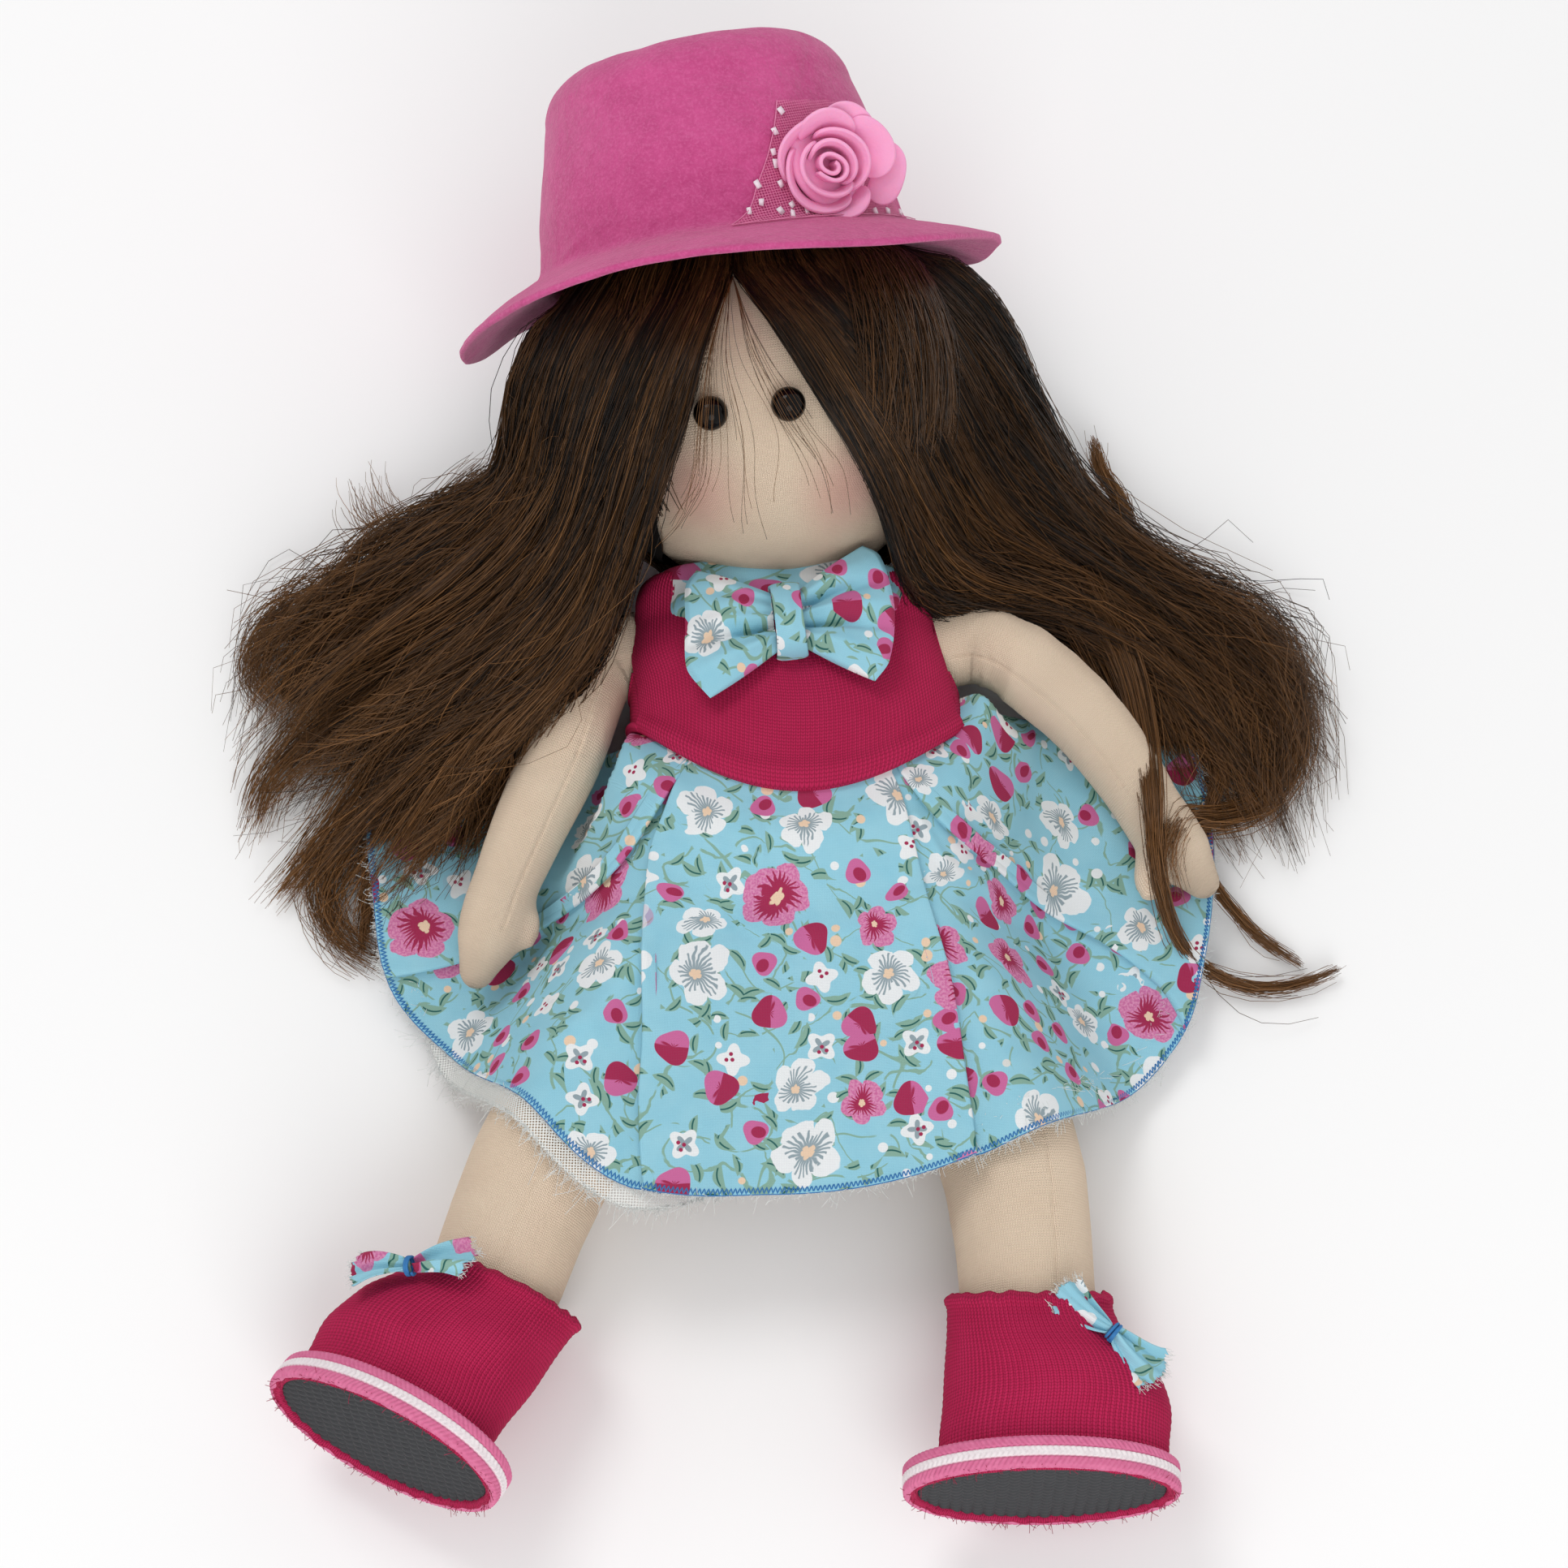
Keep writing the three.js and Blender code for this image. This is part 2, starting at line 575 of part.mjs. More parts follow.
// How high the skirt lies over the belly, the legs and the floor
const clothFall = 50;
const clothSag = 9;
const sideSlope = 1.5;
const legClear = 2;
const blendSharpness = 0.28;
function legXAt(points, y) {
  const i = points.findIndex((p) => p.y <= y);
  if (i <= 0) return i < 0 ? points[points.length - 1].x : points[0].x;
  return lerp(points[i - 1].x, points[i].x, (points[i - 1].y - y) / (points[i - 1].y - points[i].y));
}
function clothHeight(x, y) {
  const lift = skirtLift + skirtThickness + legClear;
  const top = hipZ + legRadius + lift;
  const [rightX, leftX] = legPoints.map((points) => legXAt(points, y)).sort((a, b) => a - b);
  const beyond = Math.max(0, rightX - x, x - leftX);
  const between = 1 - clamp((2 * x - leftX - rightX) / (leftX - rightX), -1, 1) ** 2;
  const fall = clamp((beyond - 4) / clothFall, 0, 1);
  const laid = skirtFloor + (top - clothSag * between - skirtFloor) * Math.cos((fall * Math.PI) / 2) ** 2;
  const row = clamp(y, torsoSections[0].y, torsoSections[torsoSections.length - 1].y);
  const halfWidth = torsoAt(row, "halfWidth") + lift;
  const halfDepth = torsoAt(row, "halfDepth") + lift;
  const off = Math.abs(x - torsoAt(row, "left"));
  const onBelly = off < halfWidth
    ? torsoAxisHeight + halfDepth * Math.sqrt(1 - (off / halfWidth) ** 2)
    : torsoAxisHeight - sideSlope * (off - halfWidth);
  const heights = [skirtFloor, laid, onBelly - 1.2 * Math.max(0, row - y)];
  const high = Math.max(...heights);
  const sum = heights.reduce((total, h) => total + Math.exp(blendSharpness * (h - high)), 0);
  return Math.min(high + Math.log(sum) / blendSharpness, high + 2.5);
}

// The most the cloth may rise where an arm lies on it
const armPress = 5;
function underArms(x, y) {
  let limit = Infinity;
  for (const points of armPoints) {
    const { distance, share, height } = planDistance(points, x, y);
    const radius = eased(armRadii, "t", share, "r") + armPress;
    if (distance < radius)
      limit = Math.min(limit, height - Math.sqrt(radius ** 2 - distance ** 2));
  }
  return Math.max(limit, skirtLowest);
}

// Box pleats: a raised middle panel, a sunken fold at each side of it, and soft waves further out
function pleatHeight(fan, share) {
  const off = Math.abs(fan - 1.5 * Math.PI);
  const panel = smoothstep(-off, -degToRad(19), -degToRad(15));
  const side = smoothstep(off, degToRad(23), degToRad(29));
  const waves = 0.8 * Math.cos(fan * 26) * side;
  return (1.6 * panel + 1.3 * side + waves) * smoothstep(share, 0.06, 0.3);
}

const hemReachAt = (fan) => eased(hemReaches, "bearing", radToDeg(fan), "reach");

// The skirt's outer face, by angle round the waist and share of the way to the hem:
// its front lies over the legs and its back on the floor
function skirtFace(angle, share) {
  const waist = onRing(waistRing(-waistDrop, skirtLift + skirtThickness, bodiceThickness + seatGap), angle);
  const fan = fanOf(angle);
  const behind = angle > Math.PI ? backShortfall * Math.abs(Math.sin(fan)) : 0;
  const out = (hemReachAt(fan) - behind) * share;
  const x = lerp(waist.x, skirtCentre.x, share) + out * Math.cos(fan);
  const y = lerp(waist.y, skirtCentre.y, share) + out * Math.sin(fan);
  if (angle > Math.PI) return vec(x, y, lerp(waist.z, seatGap, smoothstep(share, -0.04, 0.17)));
  if (angle === 0 || angle === Math.PI) return vec(x, y, lerp(waist.z, skirtFold, smoothstep(share, -0.05, 0.14)));
  const laid = clothHeight(x, y) + pleatHeight(fan, share);
  const cloth = lerp(waist.z, laid, smoothstep(share, -0.03, 0.2));
  return vec(x, y, Math.min(cloth, underArms(x, y)));
}
function fanOf(angle) {
  const around = angle <= Math.PI ? angle : 2 * Math.PI - angle;
  return 2 * Math.PI - skirtSideAngle - (around / Math.PI) * (Math.PI - 2 * skirtSideAngle);
}

const skirtFrontColumns = 33;
const skirtFold = 2.7;
const skirtShares = [0.08, 0.22, 0.46, 0.73, 1];
const skirtAngles = [];
for (let i = 0; i < skirtFrontColumns; i++) skirtAngles.push((i / skirtFrontColumns) * Math.PI);
for (let i = 0; i < torsoSides / 2; i++) skirtAngles.push((1 + (2 * i) / torsoSides) * Math.PI);

// A layer of cloth between two depths under that face, tucked under the bodice and reaching to its own hem
function clothLayer({ waistDepths, depths, atFolds, hemExtra }) {
  const count = skirtAngles.length;
  const tucked = (depth) => [waistTuck, -waistDrop].map((above) => {
    const lift = skirtLift + skirtThickness - depth;
    const ring = waistRing(above, lift, bodiceThickness + seatGap + depth);
    return skirtAngles.map((angle) => onRing(ring, angle));
  });
  const face = [tucked(0)[1], ...skirtShares.map((share) => skirtAngles.map((angle) => skirtFace(angle, share)))];
  const [beforeHem, hem] = face.slice(-2);
  hem.forEach((point, i) => {
    const out = point.clone().sub(beforeHem[i]);
    point.addScaledVector(out, hemExtra(fanOf(skirtAngles[i])) / out.length());
  });
  const towards = (from, to) => to.clone().sub(from).normalize();
  const under = (depth) => face.slice(1).map((ring, k) => ring.map((point, i) => {
    const around = towards(point, ring[(i + 1) % count]).sub(towards(point, ring[(i + count - 1) % count]));
    const along = towards(face[k][i], point).add(towards(point, (face[k + 2] ?? ring)[i]));
    const inwards = skirtAngles[i] % Math.PI === 0 ? depth * atFolds * smoothstep(k, -1, 2) : depth;
    return point.clone().addScaledVector(around.cross(along).normalize(), -inwards);
  }));
  const wall = (side) => [...tucked(waistDepths[side]), ...under(depths[side])];
  return toSolid(sleeve(wall(0), wall(1)));
}
const skirtLayer = {
  waistDepths: [0, skirtThickness], depths: [0, skirtThickness], atFolds: 1.3, hemExtra: () => 0,
};
const layersRoom = {
  waistDepths: [-0.2, bodiceLift], depths: [-seatGap, bodiceLift + petticoatSink], atFolds: 1.3, hemExtra: () => 0.4,
};
const petticoatTop = skirtThickness + petticoatSink;
const petticoatLayer = {
  waistDepths: [skirtThickness + seatGap, skirtThickness + seatGap + petticoatThickness],
  depths: [petticoatTop, petticoatTop + petticoatThickness], atFolds: 4,
  hemExtra: (fan) => -9 + 15 * smoothstep(fan, degToRad(212), degToRad(228))
    * smoothstep(-fan, -degToRad(272), -degToRad(252)),
};

// The bow: a folded band of print, wide at the ends and gathered in the middle
const bowCentre = vec(1.2, 36.6, 65.6);
const bowTwist = degToRad(7);
const bowSections = [
  { x: -31.5, top: 7, bottom: -8, half: 2.2 },
  { x: -29, top: 16, bottom: -15, half: 4 },
  { x: -24.5, top: 17, bottom: -21, half: 5.6 },
  { x: -12, top: 13, bottom: -15.5, half: 5.4 },
  { x: -4.6, top: 9.6, bottom: -10.4, half: 3.6 },
  { x: 4.6, top: 10.4, bottom: -9.6, half: 3.6 },
  { x: 11, top: 13.5, bottom: -16.5, half: 5.4 },
  { x: 16.5, top: 16.5, bottom: -22.5, half: 5.6 },
  { x: 24.5, top: 18.5, bottom: -8, half: 4 },
  { x: 30, top: 9, bottom: 1, half: 2.2 },
];
function bowGeometry(grow = 0) {
  const sides = 18;
  const rings = bowSections.map(({ x, top, bottom, half }) => Array.from({ length: sides }, (_, i) => {
    const a = (i / sides) * 2 * Math.PI;
    const middle = (top + bottom) / 2;
    const height = (top - bottom) / 2 + grow;
    const pinch = Math.exp(-((x / 10) ** 2));
    const groove = 1 - (0.25 + 0.2 * pinch) * Math.exp(-((Math.cos(a) / 0.28) ** 2));
    const depth = (half + grow) * groove * Math.sign(Math.sin(a)) * Math.abs(Math.sin(a)) ** 0.7;
    return vec(x + grow * Math.sign(x), middle + height * Math.cos(a), depth);
  }));
  return loft(rings);
}
function bowBandGeometry() {
  const outer = { up: 12.2, deep: 7.2 };
  const width = 9;
  const ring = (x, shrink) => Array.from({ length: 18 }, (_, i) => {
    const a = (i / 18) * 2 * Math.PI;
    return vec(x, (outer.up - shrink) * Math.cos(a), (outer.deep - shrink) * Math.sin(a));
  });
  const thick = 1.2;
  const outside = [ring(-width / 2, 0.5), ring(0, 0), ring(width / 2, 0.5)];
  const inside = [ring(-width / 2, thick + 0.5), ring(0, thick), ring(width / 2, thick + 0.5)];
  return sleeve(outside, inside);
}

// The hat: one felt shell, turned about its own axis and then waved at the brim
function hatProfile(grow) {
  const outer = [];
  const top = crownHeight + grow;
  const shoulder = crownShoulder;
  outer.push([0, top], [crownTopRadius - shoulder, top - 0.4]);
  for (const degrees of [65, 40, 15]) {
    const a = degToRad(degrees);
    const r = crownTopRadius - shoulder + (shoulder + grow) * Math.cos(a);
    outer.push([r, crownHeight - shoulder + (shoulder + grow) * Math.sin(a)]);
  }
  outer.push([crownBaseRadius - 3.2 + grow, crownHeight * 0.45], [crownBaseRadius - 0.4 + grow, 9]);
  outer.push([crownBaseRadius + 1.2 + grow, 3 + grow], [crownBaseRadius + 7, -0.4 + grow]);
  outer.push([crownBaseRadius + brimWidth * 0.6, -brimDroop * 0.42 + grow]);
  outer.push([crownBaseRadius + brimWidth + grow, -brimDroop + grow * 0.6]);
  const t = feltThickness + 2 * grow;
  const inner = [
    [crownBaseRadius + brimWidth - 0.4 + grow, -brimDroop - feltThickness - grow * 0.6],
    [crownBaseRadius + brimWidth * 0.6 - 0.6, -brimDroop * 0.42 + grow - t],
    [crownBaseRadius + 5.4, -0.4 + grow - t],
    [crownBaseRadius - feltThickness + 0.2 - grow, 1.2 - grow],
    [crownBaseRadius - 0.4 - feltThickness - grow, 9],
    [crownBaseRadius - 3.2 - feltThickness - grow, crownHeight * 0.45],
  ];
  const innerShoulder = shoulder - feltThickness - grow;
  for (const degrees of [15, 40, 65]) {
    const a = degToRad(degrees);
    const r = crownTopRadius - shoulder + innerShoulder * Math.cos(a);
    inner.push([r, crownHeight - shoulder + innerShoulder * Math.sin(a)]);
  }
  inner.push([crownTopRadius - shoulder, crownHeight - feltThickness - grow - 0.4]);
  inner.push([0, crownHeight - feltThickness - grow]);
  return [...outer, ...inner].reverse().map(([r, y]) => new THREE.Vector2(r, y));
}
function hatGeometry(grow = 0) {
  const hat = new THREE.LatheGeometry(hatProfile(grow), 28);
  const p = hat.attributes.position;
  for (let i = 0; i < p.count; i++) {
    const [x, y, z] = [p.getX(i), p.getY(i), p.getZ(i)];
    const out = clamp((Math.hypot(x, z) - crownBaseRadius) / brimWidth, 0, 1.1);
    const bearing = Math.atan2(x, z);
    const wave = Math.cos(3 * bearing + 0.9) + 0.5 * Math.cos(2 * bearing - 2.2);
    const raisedBack = brimBackRise * clamp(-Math.cos(bearing), 0, 1);
    p.setY(i, y + out ** 1.4 * (brimWave * wave + raisedBack));
  }
  return hat;
}

// The rose: petals wound one outside the other on a small round base
const roseInHat = new THREE.Matrix4()
  .makeRotationY(roseAzimuth)
  .multiply(new THREE.Matrix4().makeTranslation(0, roseHeight, crownBaseRadius + 0.6))
  .multiply(new THREE.Matrix4().makeRotationX(Math.PI / 2 - degToRad(5)));
const petals = [
  { radius: 4.6, start: 20, sweep: 250, height: 9.5, flare: 0.8 },
  { radius: 6.7, start: 150, sweep: 190, height: 9.6, flare: 1.8 },
  { radius: 8.8, start: 290, sweep: 190, height: 9, flare: 3 },
  { radius: 10.9, start: 70, sweep: 170, height: 8, flare: 4.2 },
  { radius: 13.4, start: -40, sweep: 150, height: 6.6, flare: 4.6 },
];
function petalGeometry({ radius, start, sweep, height, flare }) {
  const rows = [0, 0.35, 0.7, 1];
  const columns = Math.round(sweep / 22);
  const grid = (shift) => rows.map((v) => Array.from({ length: columns + 1 }, (_, c) => {
    const u = c / columns;
    const a = degToRad(start + sweep * u);
    const edge = Math.sqrt(Math.max(0, 1 - (2 * u - 1) ** 4));
    const r = radius + shift + flare * v ** 2 * edge;
    const y = roseBaseThickness + seatGap + height * v * (0.55 + 0.45 * edge);
    return vec(r * Math.cos(a), y, r * Math.sin(a));
  }));
  return plate(grid(petalThickness), grid(0));
}
function roseHeartGeometry() {
  const turns = 1.35;
  const steps = 20;
  const strip = (shift) => [0, 1].map((v) => Array.from({ length: steps + 1 }, (_, i) => {
    const t = i / steps;
    const a = t * turns * 2 * Math.PI;
    const r = 0.9 + 2.0 * t * turns * 0.72 + shift;
    return vec(r * Math.cos(a), roseBaseThickness + seatGap + v * roseHeartHeight, r * Math.sin(a));
  }));
  return plate(strip(1), strip(0));
}

// The net behind the rose: a thin three-cornered piece that follows the crown
function netGeometry() {
  const rows = 5;
  const columns = 10;
  const grid = (shift) => Array.from({ length: rows + 1 }, (_, r) => {
    const v = r / rows;
    const y = lerp(5.5, 36, v);
    const from = lerp(5, 26, v);
    const to = lerp(74, 58, v);
    return Array.from({ length: columns + 1 }, (_, c) => {
      const a = degToRad(lerp(from, to, c / columns));
      const radius = hatRadiusAt(y) + shift;
      return vec(radius * Math.sin(a), y, radius * Math.cos(a));
    });
  });
  return plate(grid(seatGap + netThickness), grid(seatGap));
}
function hatRadiusAt(y) {
  const slope = [{ y: 3, r: crownBaseRadius + 1.2 }, { y: 9, r: crownBaseRadius - 0.4 },
    { y: crownHeight * 0.45, r: crownBaseRadius - 3.2 }, { y: crownHeight - crownShoulder, r: crownTopRadius + 0.4 }];
  return eased(slope, "y", y, "r");
}

// An eye: a round bead set on the face
function eyeInHead(sign) {
  const x = eyeShift + (sign * eyeSpread) / 2;
  const z = headHalfDepth * Math.sqrt(1 - (x / headHalfWidth) ** 2 - (eyeAbove / headHalfHeight) ** 2);
  const bead = toSolid(new THREE.SphereGeometry(eyeRadius, 12, 8).translate(x, eyeAbove, z + 0.6));
  return bead.subtract(toSolid(headGeometry(seatGap, 0, 60, 40)));
}

// The shoe's own pieces, in the shoe's frame
const soleSides = 24;
function braidGeometry() {
  const top = shoeHeight - braidHeight;
  const levels = [[0, -0.7], [0.25, 0], [0.75, 0], [1, -0.7]];
  const ring = (share, shrink) => ovalRing(top + share * braidHeight, soleForward,
    soleHalfLength - shrink, soleHalfWidth - shrink, soleSides);
  const outer = levels.map(([share, grow]) => ring(share, -grow));
  const inner = [0, 1].map((share) => ring(share, braidThickness));
  return sleeve(outer, inner);
}
function soleGeometry(top, thickness) {
  const fit = braidThickness + seatGap;
  const ring = (y) => ovalRing(y, soleForward, soleHalfLength - fit, soleHalfWidth - fit, soleSides);
  return loft([ring(top), ring(top + thickness)]);
}
const shoeBowSections = [
  { x: -17, half: 2, tall: 4 }, { x: -12, half: 3.4, tall: 7.5 }, { x: -5, half: 2.6, tall: 5 }, { x: 0, half: 1.8, tall: 2.4 },
  { x: 5, half: 2.6, tall: 5 }, { x: 12, half: 3.4, tall: 7.5 }, { x: 16, half: 2, tall: 5 },
];
function shoeBowGeometry() {
  const sides = 12;
  return loft(shoeBowSections.map(({ x, half, tall }) => Array.from({ length: sides }, (_, i) => {
    const a = (i / sides) * 2 * Math.PI;
    return vec(x, tall * Math.cos(a), half * Math.sin(a));
  })));
}

// Hair: a cap on the head, then locks that lie over the face's sides, the shoulders and the floor
function hairCapSolid() {
  const cap = toSolid(headGeometry(hairCapThickness, hairCapRise)).subtract(toSolid(headGeometry(hairGap)));
  const opening = new THREE.Shape();
  opening.moveTo(2, 50);
  opening.lineTo(-10, 20);
  opening.lineTo(-24, -8);
  opening.lineTo(-34, -34);
  opening.lineTo(-40, -80);
  opening.lineTo(40, -80);
  opening.lineTo(32, -36);
  opening.lineTo(22, -10);
  opening.lineTo(12, 20);
  const face = new THREE.ExtrudeGeometry(opening, { depth: 90, bevelEnabled: false });
  const chin = boxSolid(vec(-70, -90, -30), vec(70, -44, 70));
  return cap.subtract(toSolid(face)).subtract(chin);
}
const locks = {
  hair_front_right: {
    spine: [vec(-22, 124, 106), vec(-38, 108, 108), vec(-51, 84, 97), vec(-57, 58, 78), vec(-62, 34, 56), vec(-76, 14, 42)],
    radii: [{ t: 0, r: 15 }, { t: 0.3, r: 20 }, { t: 0.7, r: 17 }, { t: 1, r: 8 }], flat: 0.36,
  },
  hair_side_right: {
    spine: [vec(-55, 126, 74), vec(-66, 100, 68), vec(-74, 72, 54), vec(-91, 42, 36), vec(-111, 18, 22), vec(-124, -8, 14)],
    radii: [{ t: 0, r: 12 }, { t: 0.3, r: 16 }, { t: 0.7, r: 18 }, { t: 1, r: 9 }], flat: 0.45,
  },
  hair_fan_right: {
    spine: [vec(-60, 102, 40), vec(-82, 86, 24), vec(-106, 72, 14), vec(-130, 57, 11), vec(-150, 41, 9)],
    radii: [{ t: 0, r: 14 }, { t: 0.4, r: 20 }, { t: 0.8, r: 19 }, { t: 1, r: 9 }], flat: 0.36,
  },
  hair_end_right: {
    spine: [vec(-112, 44, 12), vec(-122, 28, 12), vec(-130, 8, 12), vec(-130, -14, 11), vec(-124, -34, 10)],
    radii: [{ t: 0, r: 14 }, { t: 0.4, r: 19 }, { t: 0.8, r: 14 }, { t: 1, r: 6 }], flat: 0.38,
  },
  hair_front_left: {
    spine: [vec(2, 128, 106), vec(22, 114, 110), vec(40, 92, 102), vec(51, 73, 87), vec(58, 61, 72), vec(63, 55, 60)],
    radii: [{ t: 0, r: 13 }, { t: 0.3, r: 19 }, { t: 0.7, r: 15 }, { t: 1, r: 8 }], flat: 0.36,
  },
  hair_side_left: {
    spine: [vec(48, 132, 72), vec(60, 112, 60), vec(73, 88, 40), vec(94, 69, 24), vec(119, 56, 14), vec(142, 38, 11)],
    radii: [{ t: 0, r: 11 }, { t: 0.3, r: 16 }, { t: 0.7, r: 19 }, { t: 1, r: 10 }], flat: 0.42,
  },
  hair_fan_left: {
    spine: [vec(58, 104, 34), vec(76, 84, 20), vec(92, 64, 12), vec(108, 42, 10), vec(122, 22, 9), vec(128, 6, 9)],
    radii: [{ t: 0, r: 12 }, { t: 0.4, r: 15 }, { t: 0.8, r: 13 }, { t: 1, r: 7 }], flat: 0.4,
  },
  hair_end_left: {
    spine: [vec(138, 44, 9), vec(145, 26, 9), vec(144, 8, 9), vec(136, -4, 9), vec(128, -6, 9)],
    radii: [{ t: 0, r: 8 }, { t: 0.4, r: 13 }, { t: 0.8, r: 10 }, { t: 1, r: 5 }], flat: 0.5,
  },
  hair_wisp_left: {
    spine: [vec(107, 24, 40), vec(111, 6, 41), vec(112, -10, 40), vec(113, -24, 37), vec(119, -38, 22), vec(131, -48, 10), vec(146, -53, 5), vec(158, -53, 4)],
    radii: [{ t: 0, r: 3 }, { t: 0.4, r: 3.6 }, { t: 0.8, r: 2.6 }, { t: 1, r: 1.6 }], flat: 0.8,
  },
};
function lockGeometry({ spine, radii, flat }, grow = 0) {
  const rings = limbRings({ spine, radii, flat, sides: 10, steps: 7, startDome: 0.6, endDome: 0.9 }, grow);
  return loft(rings);
}

// Assembly
const felt = { color: 0xc94a86, roughness: 0.95, metalness: 0 };
const finishes = {
  skin: { color: 0xf0cdb0, roughness: 0.9, metalness: 0 },
  crimson: { color: 0xa8123f, roughness: 0.85, metalness: 0 },
  print: { color: 0x8cc7dd, roughness: 0.85, metalness: 0 },
  gauze: { color: 0xf2efe8, roughness: 0.9, metalness: 0 },
  felt,
  foam: { color: 0xf09cc4, roughness: 0.6, metalness: 0 },
  net: { color: 0xc0487e, roughness: 0.8, metalness: 0 },
  bead: { color: 0x14100e, roughness: 0.12, metalness: 0 },
  hair: { color: 0x3c2415, roughness: 0.45, metalness: 0 },
  braid: { color: 0xd9799f, roughness: 0.8, metalness: 0 },
  sole: { color: 0x26272a, roughness: 0.7, metalness: 0 },
  card: { color: 0xb8a88c, roughness: 0.9, metalness: 0 },
};
const materials = Object.fromEntries(Object.entries(finishes)
  .map(([name, settings]) => [name, new THREE.MeshStandardMaterial(settings)]));

function addPiece(group, name, shape, finish, tolerance = softTolerance) {
  const geometry = shape.isBufferGeometry ? shape : toGeometry(shape, tolerance);
  geometry.computeVertexNormals();
  const mesh = new THREE.Mesh(geometry, materials[finish]);
  mesh.name = name;
  group.add(mesh);
  return mesh;
}
function framedGroup(parent, matrix) {
  const group = new THREE.Group();
  matrix.decompose(group.position, group.quaternion, group.scale);
  parent.add(group);
  return group;
}

const doll = new THREE.Group();
addPiece(doll, "torso", torsoSolid(), "skin");
addPiece(doll, "bodice", bodiceSolid(), "crimson");
addPiece(doll, "collar", collarSolid().subtract(headInWorld(seatGap)).subtract(torsoCover(seatGap)), "print");

const limbs = { arm_left: armSolid("left"), arm_right: armSolid("right"), leg_left: legSolid("left"), leg_right: legSolid("right") };
for (const [name, solid] of Object.entries(limbs)) addPiece(doll, name, solid, "skin");

addPiece(doll, "skirt", clothLayer(skirtLayer), "print", fineTolerance);
addPiece(doll, "petticoat", clothLayer(petticoatLayer), "gauze", fineTolerance);

const bow = new THREE.Group();
bow.position.copy(bowCentre);
bow.rotation.z = bowTwist;
doll.add(bow);
addPiece(bow, "bow_wings", bowGeometry(), "print");
addPiece(bow, "bow_band", bowBandGeometry(), "print");

const headGroup = framedGroup(doll, headFrame);
addPiece(headGroup, "head", headGeometry(), "skin");
for (const [name, sign] of [["eye_left", 1], ["eye_right", -1]]) addPiece(headGroup, name, eyeInHead(sign), "bead");
addPiece(headGroup, "hair_cap", hairCapSolid(), "hair");

const hatGroup = framedGroup(headGroup, hatInHead);
addPiece(hatGroup, "hat", hatGeometry(), "felt");
addPiece(hatGroup, "hat_net", netGeometry(), "net");
const roseGroup = framedGroup(hatGroup, roseInHat);
const roseBase = new THREE.CylinderGeometry(roseBaseRadius, roseBaseRadius, roseBaseThickness, 28);
addPiece(roseGroup, "rose_base", roseBase.translate(0, roseBaseThickness / 2, 0), "foam");
addPiece(roseGroup, "rose_heart", roseHeartGeometry(), "foam");
petals.forEach((petal, i) => addPiece(roseGroup, `rose_petal_${i + 1}`, petalGeometry(petal), "foam"));

for (const side of ["left", "right"]) {
  const shoe = framedGroup(doll, shoeFrame(side));
  addPiece(shoe, `shoe_upper_${side}`, upperGeometry(side), "crimson");
  addPiece(shoe, `shoe_braid_${side}`, braidGeometry(), "braid");
  addPiece(shoe, `insole_${side}`, soleGeometry(insoleTop, insoleThickness), "card");
  addPiece(shoe, `sole_${side}`, soleGeometry(shoeHeight - soleInset - soleThickness, soleThickness), "sole");
  const { sign, bowBearing, bowLean } = legSides[side];
  const [alongShoe, acrossShoe] = ["halfLength", "halfWidth"].map((field) =>
    upperAt(shoeBowDown, field) + shoeBowLift);
  const bowPlace = new THREE.Matrix4()
    .setPosition(
      upperAt(shoeBowDown, "forward") + alongShoe * Math.cos(bowBearing), shoeBowDown,
      -sign * acrossShoe * Math.sin(bowBearing))
    .multiply(new THREE.Matrix4().makeRotationY(sign * shoeBowTurn))
    .multiply(new THREE.Matrix4().makeBasis(
      vec(0, Math.sin(bowLean), sign * Math.cos(bowLean)),
      vec(0, Math.cos(bowLean), -sign * Math.sin(bowLean)), vec(-sign, 0, 0)));
  const upperFilled = toSolid(loft([-14, ...upperPlaces.slice(1)].map((s) => upperRing(s, seatGap, side))));
  addPiece(shoe, `shoe_bow_${side}`,
    moved(toSolid(shoeBowGeometry()), bowPlace).subtract(upperFilled), "print");
}

// Each lock gives way to the pieces it lies on and to the locks before it
doll.updateMatrixWorld(true);
const solidOfMesh = (name) => {
  const mesh = doll.getObjectByName(name);
  return moved(toSolid(mesh.geometry), mesh.matrixWorld);
};
const under = [
  headInWorld(hairGap), torsoCover(bodiceLift + bodiceThickness + bodiceRoll + hairGap),
  moved(toSolid(hatGeometry(hairGap)), hatFrame),
  moved(toSolid(headGeometry(hairCapThickness + hairGap, hairCapRise)), headFrame),
  armSolid("left", hairGap), armSolid("right", hairGap), collarSolid(hairGap),
  solidOfMesh("petticoat"), clothLayer(layersRoom),
  moved(toSolid(bowGeometry(hairGap)), bow.matrixWorld),
];
const floor = boxSolid(vec(-400, -400, -100), vec(400, 400, 0.4));
const laid = [];
for (const [name, lock] of Object.entries(locks)) {
  let solid = toSolid(lockGeometry(lock)).subtract(floor);
  for (const other of [...under, ...laid]) solid = solid.subtract(other);
  laid.push(toSolid(lockGeometry(lock, hairGap)));
  addPiece(doll, name, solid, "hair", hairTolerance);
}

export default doll;
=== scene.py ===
import math
import bpy
import numpy as np
from mathutils import Matrix, Vector


